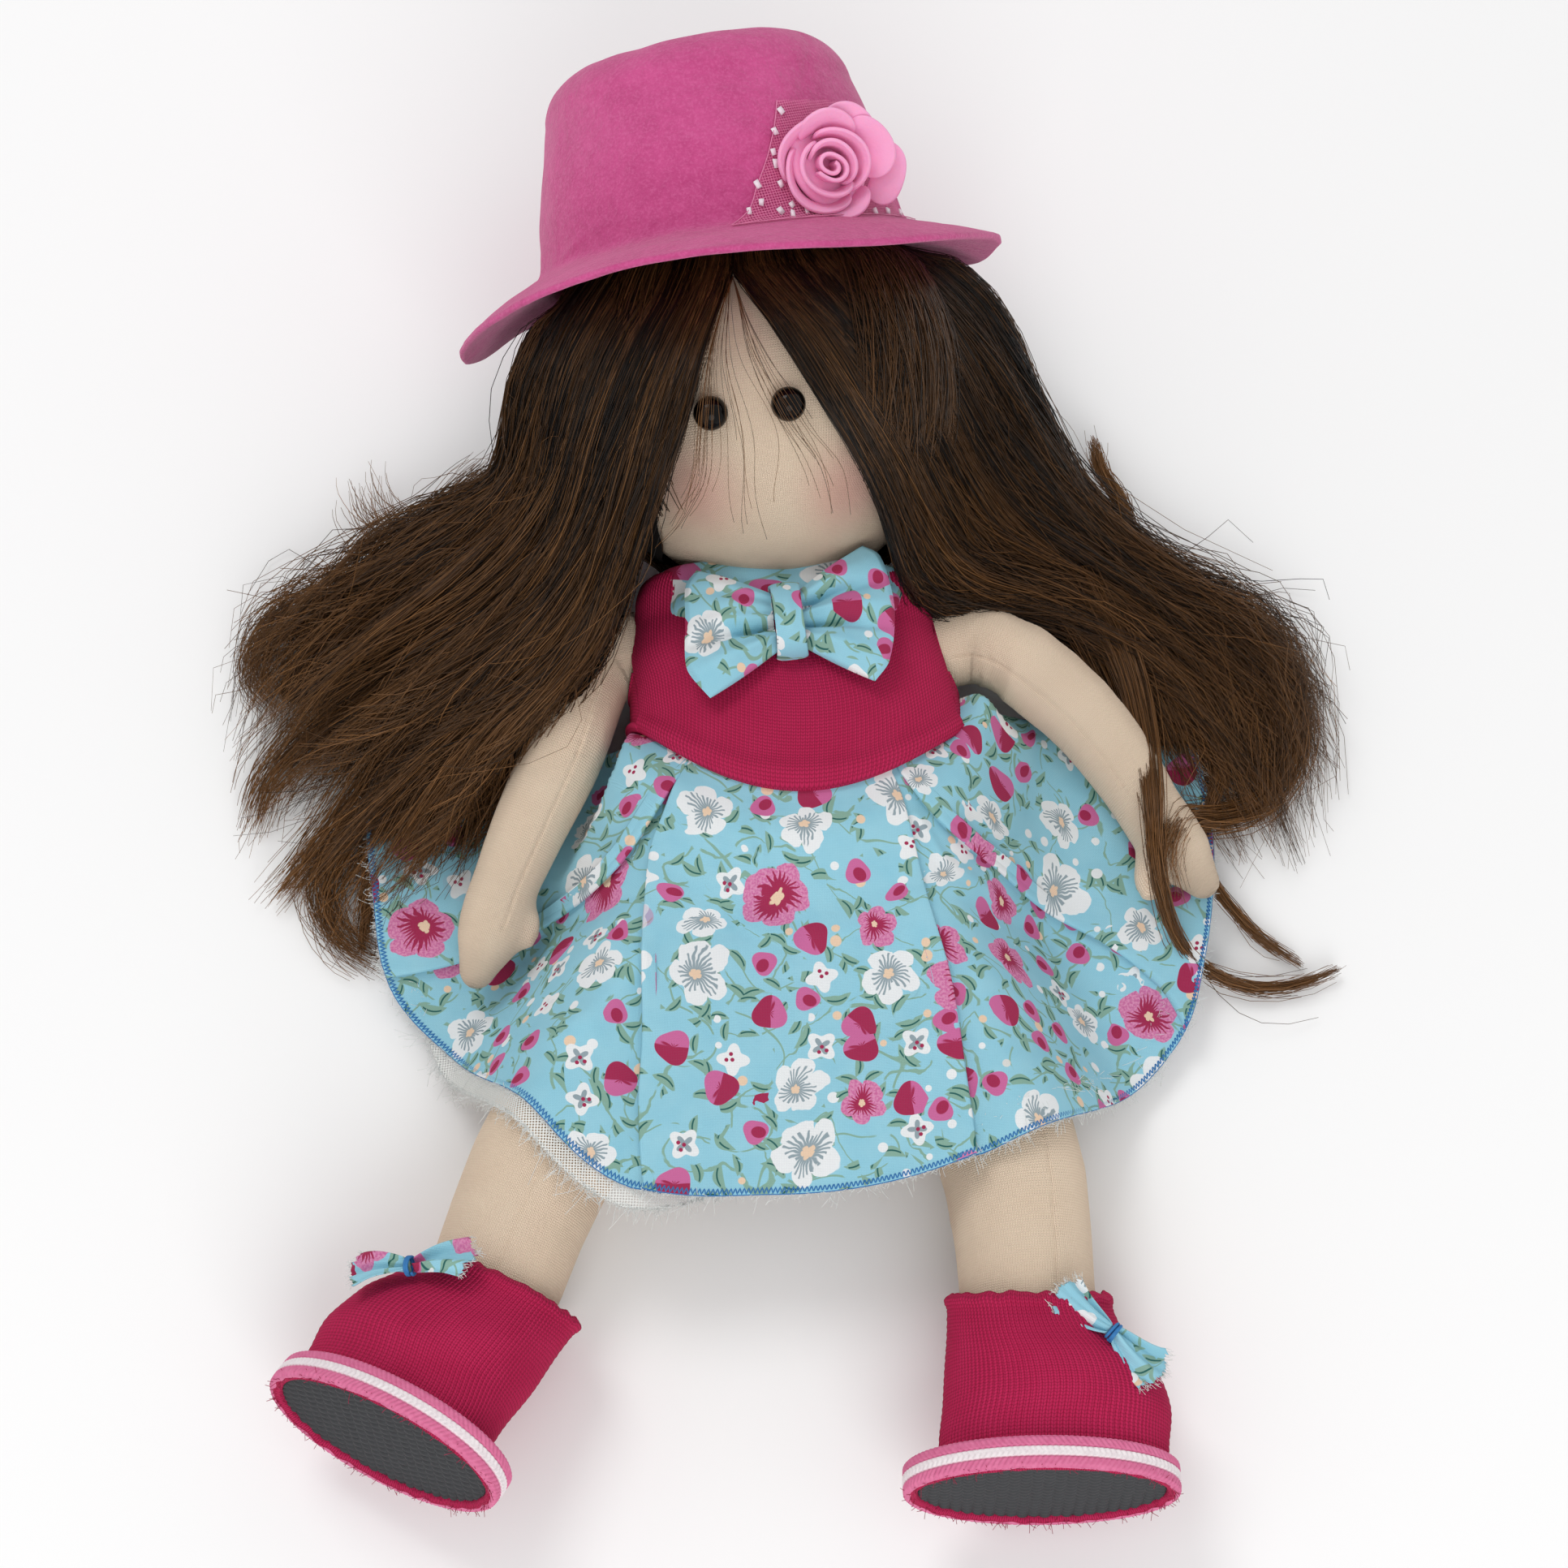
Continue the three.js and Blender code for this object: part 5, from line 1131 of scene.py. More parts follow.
def makeWing(name, side):
    s = bowSettings[side]
    sign = -1 if side == "left" else 1
    rows, columns = 70, 90
    t = np.linspace(0, 1, rows)[:, None]
    v = np.linspace(0, 1, columns)[None]
    outer = curveThrough(s["outer"], columns)
    gather = bowSettings["gather"]
    inner = stacked(np.full(columns, sign * bowSettings["knot"]), blendOf(gather, -gather, v[0]))
    ease = t[..., None] ** 0.85
    flat = inner[None] * (1 - ease) + outer[None] * ease
    bulge = np.sin(np.pi * t) * 1.5 * (v - 0.5)
    flat[..., 1] += bulge * -0.6
    edge = np.sin(np.pi * v) ** 0.3 * (1 - smoothStep(t, 0.93, 1.0)) ** 0.5
    pleat = sum(h * np.exp(-(((v - c) / w) ** 2)) * (1 - t) ** 0.6 * smoothStep(t, -0.3, 0.1)
                for c, h, w in s["pleats"])
    puff = bowSettings["depth"] * (0.42 + 0.7 * np.sin(np.pi * np.clip(t, 0, 1) ** 0.8))
    lumps = waviness(np.dstack([flat, np.zeros(flat.shape[:2])]), 17, 5)
    front = edge * (puff + pleat + 0.5 * lumps)
    back = -edge * puff * 0.75
    top = np.concatenate([flat, front[..., None]], -1)
    bottom = np.concatenate([flat, back[..., None]], -1)[:, ::-1]
    ring = np.concatenate([top, bottom[:, 1:-1]], 1)
    u, w = s["uv"]
    uvTop = flat * 1.06 + (u, w)
    uvBottom = uvTop[:, ::-1] * (-1, 1)
    uv = np.concatenate([uvTop, uvBottom[:, 1:-1], uvTop[:, :1]], 1)
    obj = gridMesh(name, placed(ring, bowFrame), uv, wrap=True, turned=sign > 0)
    return dressed(obj, materials["print"], "torso", ["bow_wings"])


def makeBowBand():
    across = np.linspace(-4.6, 4.6, 26)[:, None]
    turn = roundTurn(120)[None]
    shrink = 0.7 * np.abs(across / 4.6) ** 4
    fold = 0.35 * np.cos(across / 9.2 * 2 * np.pi * 1.5) * np.sin(turn).clip(0)
    up, deep = 11.8 - shrink + fold * 0.4, 8.8 - shrink + fold
    points = stacked(across * (1 - 0.1 * np.sin(turn).clip(0)), up * np.cos(turn),
                     deep * np.sin(turn))
    uv = stacked(across + 40, np.arange(121)[None] * 0.53)
    obj = gridMesh("bow_band_cloth", placed(points, bowFrame), uv, wrap=True)
    thickened(obj, 0.9)
    return dressed(obj, materials["print"], "torso", ["bow_band"])


for side in ("left", "right"):
    makeWing("bow_wing_" + side, side)
makeBowBand()

print("stage: skirt and petticoat")
# how far the hem lies from the cloth's middle, by bearing in degrees
hemReaches = [(178, 122), (184, 126), (192, 130), (202, 134), (214, 142), (226, 141), (238, 144.5),
              (252, 155), (268, 151), (286, 150), (304, 149.5), (321, 148), (330, 141), (340, 134),
              (356, 124), (364, 118)]
skirtSettings = {
    "centre": (2, 22), "rows": 120, "thickness": 0.4, "panelRise": 2.7, "sideRise": 2.4, "wedge": -1.1,
    "tuck": 4.4,
    # pleat edges: share of the way to the hem, and the angle round the waist in degrees
    "leftFold": [(-0.1, 132.6), (0, 132.4), (0.08, 131), (0.275, 130), (0.385, 132), (0.565, 139),
                 (0.83, 144.8), (1.02, 149)],
    "leftPanel": [(-0.1, 132), (0, 131.6), (0.165, 127), (0.255, 125), (0.425, 118.5), (0.63, 112),
                  (0.805, 109), (0.985, 106)],
    "rightPanel": [(-0.1, 56.5), (0, 57), (0.14, 61.5), (0.315, 65.5), (0.53, 68), (0.755, 71), (1, 73.5)],
    "rightFold": [(-0.1, 53), (0, 53.2), (0.1, 54), (0.195, 52.5), (0.365, 45.5), (0.59, 40.5), (0.865, 39.5),
                  (1.02, 42.5)],
    # drag folds: from, to, height and width
    "folds": [((-20, -36), (-13, -50), -1.3, 3.2), ((-13, -50), (2, -56), -1.4, 3.4),
              ((-5, -46), (10, -55), 0.8, 3.0), ((-9, -16), (-6.5, -34), 1.5, 1.1),
              ((-6.5, -34), (-5.5, -44), 0.8, 1.6), ((-40, -62), (-56, -80), 1.2, 4.0),
              ((-56, -80), (-76, -86), 1.0, 5.0), ((38, -20), (46, -32), 0.9, 1.6),
              ((46, -32), (60, -36), 0.8, 2.2), ((40, -60), (60, -78), -0.8, 6.0),
              ((10, -80), (16, -118), 0.6, 7.0), ((-14, -84), (-18, -122), -0.6, 7.0),
              ((74, -20), (96, -26), 0.9, 5.0), ((-66, -10), (-92, -16), 0.9, 5.0)],
}


def legAt(side, y):
    spine = np.array(limbSpines[side], float)
    return np.interp(-y, -spine[:, 1], spine[:, 0])


def clothHeight(x, y):
    # how high the skirt lies over the belly, the legs and the floor
    lift = 4.2
    top = 26 + 21.4 + lift
    right, left = legAt("leg_right", y), legAt("leg_left", y)
    beyond = np.maximum(0, np.maximum(right - x, x - left))
    between = 1 - np.clip((2 * x - left - right) / (left - right), -1, 1) ** 2
    fall = np.clip((beyond - 4) / 50, 0, 1)
    laid = 7 + (top - 9 * between - 7) * np.cos(fall * np.pi / 2) ** 2
    row = np.clip(y, -54, 68)
    halfWidth, halfDepth, middle = np.moveaxis(eased(torsoRows, row), -1, 0)
    halfWidth, halfDepth = halfWidth + lift, halfDepth + lift
    off = np.abs(x - middle)
    belly = np.where(off < halfWidth, 30 + halfDepth * np.sqrt(np.maximum(0, 1 - (off / halfWidth) ** 2)),
                     30 - 1.5 * (off - halfWidth))
    heights = np.stack([np.full_like(laid, 7), laid, belly - 1.2 * np.maximum(0, row - y)])
    high = heights.max(0)
    return np.minimum(high + np.log(np.exp(0.28 * (heights - high)).sum(0)) / 0.28, high + 2.5)


def underArms(x, y):
    # the most the cloth may rise where an arm lies on it
    limit = np.full(x.shape, 1e3)
    for name in ("arm_left", "arm_right"):
        line = curveThrough(limbSpines[name], 60)
        distance = np.hypot(x[..., None] - line[:, 0], y[..., None] - line[:, 1])
        nearest = distance.argmin(-1)
        distance = distance.min(-1)
        radius = eased(armRadii, nearest / 59) + 5
        room = line[nearest, 2] - np.sqrt(np.maximum(radius ** 2 - distance ** 2, 0))
        limit = np.where(distance < radius, np.minimum(limit, room), limit)
    return np.maximum(limit, 5.6)


def foldRelief(x, y):
    total = np.zeros(x.shape)
    for start, end, height, width in skirtSettings["folds"]:
        total = total + height * np.exp(-((offSegment(x, y, start, end) / width) ** 2))
    return total


def waistPoint(angle, above, lift, lowest):
    return torsoSkin(bodiceHem(angle) + above, angle, lift, lowest)


def fanOf(angle):
    # the bearing in which the cloth runs out: its two side edges lie up under the arms
    bent = np.radians(5) * np.sin(angle) ** 2 * np.cos(angle)
    return np.radians(362) - angle / np.pi * np.radians(180) + bent


def runOut(waist, below, reach, fan):
    # from the waist towards the hem, as the cloth fans out round its middle
    cx, cy = skirtSettings["centre"]
    x = waist[..., 0] + (cx - waist[..., 0]) * below + reach * below * np.cos(fan)
    y = waist[..., 1] + (cy - waist[..., 1]) * below + reach * below * np.sin(fan)
    return x, y


def skirtPoint(angle, share, drop=0.0, extra=0.0):
    # the front cloth: angle round the waist (180 degrees is the doll's right), share of the way to the hem
    angle, share = matched(angle, share)
    below = np.clip(share, 0, None)
    waist = waistPoint(angle, -2.2 + 60 * np.clip(-share, 0, 0.09), 2.2 - drop, 1.8)
    fan = fanOf(angle)
    x, y = runOut(waist, below, eased(hemReaches, np.degrees(fan)) + extra, fan)
    laid = clothHeight(x, y) - drop + foldRelief(x, y) * smoothStep(below, 0.0, 0.12)
    z = blendOf(waist[..., 2], laid, smoothStep(below, -0.03, 0.2))
    upward = 12 * (1 - below) ** 1.5 + 6 * np.sin(np.pi * np.clip(below / 0.85, 0, 1)) ** 0.8
    y = y + upward * np.exp(-((angle / 0.3) ** 2))
    z = np.minimum(z, underArms(x, y) - drop)
    z = z + 0.5 * waviness(stacked(x, y, 0 * x), 34, 3) * smoothStep(below, 0.1, 0.4)
    side = np.minimum(angle, np.pi - angle) / np.radians(4.5)
    rounding = np.sqrt(np.clip(1 - (1 - np.clip(side, 0, 1)) ** 2, 0, 1))
    low = 1.2 + waist[..., 2] * (1 - smoothStep(below, 0, 0.14)) * 0.9
    return stacked(x, y, low + (z - low) * rounding)


def skirtColumns():
    # each column: two pleat edges, the share between them, shift across, height over the cloth, and its panel
    s = skirtSettings
    columns = []

    def panel(first, second, count, rise, name, ends=(True, True)):
        for k in range(0 if ends[0] else 1, count + (1 if ends[1] else 0)):
            columns.append((first, second, k / count, 0.0, rise, name))

    def fold(at, name, over, under, direction):
        # the upper cloth rounds its edge, runs back under itself, then out again as the lower cloth
        for across, height in ((0.25, -0.12), (0.42, -0.45), (0.30, -0.8), (-0.4, -0.95), (-s["tuck"], -1.0)):
            columns.append((at, at, 0.0, across * direction, over + height, name))
        for across, height in ((-s["tuck"] - 0.3, -1.35), (-s["tuck"], -1.7), (-0.4, -1.7)):
            columns.append((at, at, 0.0, across * direction, over + height, under))
    panel("leftEnd", "leftFold", 56, s["sideRise"], 0)
    fold("leftFold", 0, s["sideRise"], 1, 1)
    panel("leftFold", "leftPanel", 34, s["wedge"], 1, (False, False))
    start = len(columns)
    fold("leftPanel", 2, s["panelRise"], 1, -1)
    columns[start:] = columns[start:][::-1]
    panel("leftPanel", "rightPanel", 72, s["panelRise"], 2)
    fold("rightPanel", 2, s["panelRise"], 3, 1)
    panel("rightPanel", "rightFold", 34, s["wedge"], 3, (False, False))
    start = len(columns)
    fold("rightFold", 4, s["sideRise"], 3, -1)
    columns[start:] = columns[start:][::-1]
    panel("rightFold", "rightEnd", 56, s["sideRise"], 4)
    return columns


def edgeAngle(name, share):
    if name == "leftEnd":
        return np.full(share.shape, np.pi)
    if name == "rightEnd":
        return np.zeros(share.shape)
    return np.radians(eased(skirtSettings[name], share))


def skirtFront(share, drop=0.0, extra=0.0):
    # points rows x columns, and the panel of each column
    columns = skirtColumns()
    edges = {name: edgeAngle(name, share) for name in
             ("leftEnd", "leftFold", "leftPanel", "rightPanel", "rightFold", "rightEnd")}
    angle = np.stack([blendOf(edges[a], edges[b], k) for a, b, k, _, _, _ in columns], 1)
    shift = np.array([c[3] for c in columns])
    rise = np.array([c[4] for c in columns])
    opened = np.array([smoothStep(share, 0.74, 0.98) if "rightFold" in (c[0], c[1]) and c[5] in (3, 4) and c[3]
                       else 0 * share for c in columns]).T
    points = skirtPoint(angle, share[:, None], drop, extra)
    ahead = skirtPoint(angle - 0.01, share[:, None], drop, extra)
    across = ahead - points
    across[..., 2] = 0
    across = unit(across)
    up = np.zeros(points.shape)
    up[..., 2] = 1
    tight = smoothStep(share, 0.0, 0.12)[:, None]
    points += across * (shift[None] * (0.35 + 0.65 * tight) * (1 - 0.9 * opened))[..., None]
    lift = blendOf(rise * (0.25 + 0.75 * tight), 0.6, opened * 0.8)
    side = np.minimum(angle, np.pi - angle) / np.radians(4.5)
    points[..., 2] += lift * np.clip(side, 0, 1)
    return points, np.array([c[5] for c in columns])


def flatPlaces(points, reference):
    # where each point lay on the flat cloth, walked out from a reference column
    steps = np.diff(points, axis=1)
    flat = np.linalg.norm(steps[..., :2], axis=2)
    ratio = np.clip(np.linalg.norm(steps, axis=2) / np.maximum(flat, 1e-6), 1, 3)
    moves = steps[..., :2] * ratio[..., None]
    down = np.diff(points[:, reference], axis=0)
    downRatio = np.linalg.norm(down, axis=1) / np.maximum(np.linalg.norm(down[:, :2], axis=1), 1e-6)
    column = np.concatenate([points[:1, reference, :2], points[:1, reference, :2]
                             + np.cumsum(down[:, :2] * downRatio[:, None], 0)])
    uv = np.zeros(points.shape[:2] + (2,))
    uv[:, reference] = column
    for c in range(reference + 1, points.shape[1]):
        uv[:, c] = uv[:, c - 1] + moves[:, c - 1]
    for c in range(reference - 1, -1, -1):
        uv[:, c] = uv[:, c + 1] - moves[:, c]
    return uv


def halfSheets(name, points, uv, panels, offsets, material, replaced, thickness):
    # two halves that meet at the middle; one set of normals hides the join
    rows, columns = points.shape[:2]
    middle = int(np.abs(points[rows // 2, :, 0]).argmin())
    quads, r, c = gridFaces(rows, columns)
    whole = gridMesh(name + "_whole", points, uv)
    whole.data.update()
    normals = vertexNormals(whole)
    bpy.data.objects.remove(whole)
    made = {}
    for side, keep in (("right", c.max(1) <= middle), ("left", c.min(1) >= middle)):
        faces = quads[keep]
        used, packed = np.unique(faces, return_inverse=True)
        panel = panels[c[keep].min(1)] if side == "right" else panels[c[keep].max(1)]
        cornerUv = uv[r[keep], c[keep]] + np.asarray(offsets, float)[panel][:, None]
        flat = points.reshape(-1, 3)[used]
        normal = normals[used]
        lower = flat - normal * thickness
        count = len(used)
        top = packed.reshape(-1, 4)
        edges = np.concatenate([top[:, [k, (k + 1) % 4]] for k in range(4)])
        keys = np.sort(edges, 1)
        _, first, counts = np.unique(keys, axis=0, return_index=True, return_counts=True)
        rim = edges[first[counts == 1]]
        wall = np.stack([rim[:, 1], rim[:, 0], rim[:, 0] + count, rim[:, 1] + count], 1)
        edgeUv = np.zeros((count, 2))
        edgeUv[top.ravel()] = cornerUv.reshape(-1, 2)
        wallUv = edgeUv[wall % count]
        every = np.concatenate([cornerUv, cornerUv[:, ::-1], wallUv]).reshape(-1, 2)
        faceGroups = [top, top[:, ::-1] + count, wall]
        obj = buildMesh(f"{name}_{side}", np.concatenate([flat, lower]), faceGroups, every)
        obj.data.normals_split_custom_set_from_vertices(np.concatenate([normal, -normal]).tolist())
        made[side] = dressed(obj, material, None, replaced)
    return made


def overLeg(obj):
    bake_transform(obj)
    return obj


def backSheet(name, lift, extra, material, replaced):
    share = np.concatenate([[-0.06, -0.03], np.linspace(0, 1, 60)])
    angle = np.linspace(np.pi, 2 * np.pi, 100)
    below = np.clip(share, 0, None)[:, None]
    waist = waistPoint(angle[None], -2.2 + 60 * np.clip(-share, 0, 0.09)[:, None], 2.2, 1.8)
    around = 2 * np.pi - angle
    fan = fanOf(around)
    reach = eased(hemReaches, np.degrees(fan)) - 26 * np.abs(np.sin(fan)) + extra
    x, y = runOut(waist, below, reach, fan)
    z = blendOf(waist[..., 2], lift, smoothStep(below, -0.04, 0.17))
    points = stacked(x, y, z)
    obj = gridMesh(name, points, points[..., :2] + 200, turned=True)
    thickened(obj, 0.35, 1.0)
    return dressed(obj, material, "torso", replaced)


skirtShares = np.concatenate([[-0.08, -0.04], np.linspace(0, 1, skirtSettings["rows"])])
skirtGrid, skirtPanels = skirtFront(skirtShares)
centreColumn = int(np.abs(skirtGrid[60, :, 0]).argmin())
skirtUv = flatPlaces(skirtGrid, centreColumn)
panelShifts = [(43, 11), (-23, 17), (0, 0), (37, -19), (-9, 33)]
skirtHalves = halfSheets("skirt_front", skirtGrid, skirtUv, skirtPanels, panelShifts, materials["print"],
                         ["skirt"], skirtSettings["thickness"])
backSheet("skirt_back", 0.9, 0.0, materials["print"], ["skirt"])


def petticoatExtra(angle):
    fan = np.degrees(fanOf(angle))
    return -9 + 15 * smoothStep(fan, 212, 228) * (1 - smoothStep(fan, 252, 272))


def makePetticoat():
    share = np.concatenate([[-0.08, -0.04], np.linspace(0, 1, 70)])
    angle = np.linspace(np.pi, 0, 130)
    points = skirtPoint(angle[None], share[:, None], 1.9, petticoatExtra(angle)[None])
    points[..., 2] = np.maximum(points[..., 2], 1.0)
    uv = flatPlaces(points, 65)
    return halfSheets("petticoat_front", points, uv, np.zeros(130, int), [(0, 0)], materials["gauze"],
                      ["petticoat"], 0.15)


petticoatHalves = makePetticoat()
backSheet("petticoat_back", 1.5, -9.0, materials["gauze"], ["petticoat"])
for side in ("right", "left"):
    overLeg(skirtHalves[side])
    overLeg(petticoatHalves[side])


def makeHem(side):
    # blue overlock zigzag along the hem, with the cloth's white threads frayed beyond it
    columns = slice(0, centreColumn + 1) if side == "right" else slice(centreColumn, None)
    edge, inner = skirtGrid[-1, columns], skirtGrid[-3, columns]
    inward = unit(inner - edge)
    steps = lengthsAlong(edge)
    stitches = int(steps[-1] / 0.62)
    places = np.linspace(0, steps[-1], stitches * 3)

    def sampled(values):
        return np.stack([np.interp(places, steps, values[:, k]) for k in range(3)], 1)
    line, inwards = sampled(edge), unit(sampled(inward))
    swing = np.abs((np.arange(len(places)) / 3 + (0 if side == "right" else 0.5)) % 2 - 1)
    raised = np.array([0, 0, 1.0])
    path = line + inwards * (0.1 + 1.9 * swing)[:, None]
    path = path + raised * (0.32 + 0.1 * np.sin(swing * np.pi))[:, None]
    thread = tubesMesh(f"hem_zigzag_{side}", path[None], 0.2, sides=5)
    rim = tubesMesh(f"hem_edge_{side}", (line + inwards * 0.1 + raised * 0.08)[None], 0.34, sides=6)
    for obj in (thread, rim):
        dressed(obj, materials["blueThread"])
    rng = np.random.default_rng(71 if side == "right" else 72)
    count = int(steps[-1] * 5)
    pick = rng.integers(0, len(places), count)
    length = rng.gamma(1.6, 0.62, (count, 1, 1))
    t = np.linspace(0, 1, 5)[None, :, None]
    heading = unit(-inwards[pick] + rng.normal(0, 0.4, (count, 3)))[:, None]
    bend = rng.normal(0, 0.45, (count, 1, 3)) * t ** 2
    fibres = line[pick][:, None] + heading * length * t + bend * length
    fibres[..., 2] = np.maximum(fibres[..., 2], 0.6)
    fray = tubesMesh(f"hem_fray_{side}", fibres, 0.075)
    dressed(fray, materials["whiteFray"])
    for obj in (thread, rim, fray):
        overLeg(obj)


def makeGauzeFray(side):
    # loose threads along the petticoat's cut edge
    rng = np.random.default_rng(90)
    share = np.ones(1)
    angle = np.linspace(np.pi, 0, 900)
    edge, inner = (skirtPoint(angle[None], share[:, None] * part, 1.9, petticoatExtra(angle)[None])[0]
                   for part in (1, 0.97))
    keep = np.flatnonzero(edge[:, 0] <= 0 if side == "right" else edge[:, 0] > 0)
    pick = keep[rng.integers(0, len(keep), 2600)]
    outward = unit(edge[pick] - inner[pick] + rng.normal(0, 1.2, (2600, 3)) * (1, 1, 0.3))
    t = np.linspace(0, 1, 6)[None, :, None]
    length = rng.gamma(1.8, 0.9, (2600, 1, 1))
    fibres = edge[pick][:, None] - outward[:, None] * 1.0 + outward[:, None] * length * t
    fibres += rng.normal(0, 0.5, (2600, 1, 3)) * t ** 2 * length
    fibres[..., 2] = np.maximum(fibres[..., 2], 0.6)
    fray = tubesMesh(f"petticoat_fray_{side}", fibres, 0.07)
    dressed(fray, materials["whiteFray"])
    return overLeg(fray)


for side in ("right", "left"):
    makeHem(side)
    makeGauzeFray(side)


print("stage: hat")
hatSettings = {
    "segments": 260, "rise": 3.2, "back": 14.5,
    # where the brim's back hangs lower than its front: bearing, width in degrees, drop in mm
    "droops": [(-104, 20, 5.5), (112, 18, 5.0)],
    # soft creases: a run of (bearing, height) places, then depth and width in mm
    "creases": [([(58, 59), (48, 47), (41, 38), (33, 31)], -0.45, 1.3),
                ([(28, 27), (20, 21), (8, 17), (-6, 15)], -0.4, 1.2),
                ([(34, 44), (22, 40), (10, 41)], 0.35, 1.6), ([(16, 30), (4, 27), (-8, 29)], 0.3, 1.6),
                ([(-44, 8), (-52, 4), (-58, 5)], 0.5, 1.6)],
}


def hatProfile():
    def arc(radius, angles):
        turns = [math.radians(a) for a in angles]
        return [(31.5 + radius * math.cos(turn), 47 + radius * math.sin(turn)) for turn in turns]
    outer = [(0.3, 62), (16, 62), (31.5, 61.7)] + arc(15, (75, 60, 45, 30, 15, 2)) + [
        (51.8, 27.9), (54.6, 9), (56.2, 3), (62, -0.4), (70.9, -3.8), (81.2, -8.9)]
    rim = [(82.2, -9.6), (82.1, -10.7), (81.0, -11.2)]
    inner = [(70.3, -6), (60.4, -2.6), (53, 1.2), (52.4, 9), (49.6, 27.9)] + arc(12.8, (2, 30, 60, 80)) + [
        (16, 59.8), (0.3, 59.8)]
    return np.concatenate([curveThrough(outer, 130), curveThrough(rim, 7), curveThrough(inner, 70)])


def hatWave(radius, bearing):
    out = np.clip((radius - 55) / 26.5, 0, 1.1)
    wave = hatSettings["rise"] * (np.cos(3 * bearing + 0.9) + 0.5 * np.cos(2 * bearing - 2.2))
    wave = wave + hatSettings["back"] * np.clip(-np.cos(bearing), 0, 1)
    for middle, width, drop in hatSettings["droops"]:
        away = (np.degrees(bearing) - middle + 180) % 360 - 180
        wave = wave - drop * np.exp(-((away / width) ** 2)) * out
    return out ** 1.4 * wave


def creaseRelief(bearing, height, reach):
    total = 0
    for run, depth, width in hatSettings["creases"]:
        places = np.array([(math.radians(b) * reach, h) for b, h in run])
        best = np.full(bearing.shape, 1e3)
        for start, end in zip(places[:-1], places[1:]):
            best = np.minimum(best, offSegment(bearing * reach, height, start, end))
        total = total + depth * np.exp(-((best / width) ** 2))
    return total


def onHat(bearing, radius, height):
    height = height + hatWave(radius, bearing)
    return stacked(radius * np.sin(bearing), height, radius * np.cos(bearing))


def makeHat():
    profile = hatProfile()
    bearing = np.linspace(-np.pi, np.pi, hatSettings["segments"], endpoint=False)
    radius = profile[:, 0][:, None]
    height = profile[:, 1][:, None]
    radius, height, bearing = np.broadcast_arrays(radius, height, bearing[None])
    base = stacked(radius * np.sin(bearing), height, radius * np.cos(bearing))
    lumps = waviness(base, 38, 21) * 0.45 + waviness(base, 13, 8) * 0.14
    outside = (np.arange(len(profile)) < 130)[:, None]
    lumps = lumps * smoothStep(radius, 4, 20) + creaseRelief(bearing, height, 50) * outside
    points = onHat(bearing, radius + lumps * np.where(height < 52, 1, 0.3),
                   height + lumps * np.where(height > 52, 1, 0.2))
    lengths = lengthsAlong(profile)
    uv = stacked(np.arange(bearing.shape[1] + 1)[None] * 1.3, lengths[:, None])
    obj = gridMesh("hat_felt", placed(points, hatFrame), uv, wrap=True)
    return dressed(obj, materials["felt"], "hat", ["hat"])


makeHat()

netSettings = {
    "left": [(0.6, 7), (5, 13), (12, 17), (20, 22), (30, 27), (36.5, 30)],
    "right": [(0.6, 76), (5, 74), (18, 68), (30, 62), (36.5, 58)],
    "radius": [(0.6, 59.6), (3, 56.4), (9, 54.8), (27.9, 52.0), (47, 47.0)],
    # the flecks: bearing in degrees and height in mm
    "flecks": [(30, 33), (26, 27), (24, 21), (24, 17.5), (24, 11.5), (17, 12), (17, 6.5), (26, 5), (22, 3.5),
               (13, 4.5), (25, 2), (30, 3), (35, 2), (41, 3), (47, 2.5), (54, 1.7), (62, 2.5), (72, 3)],
}


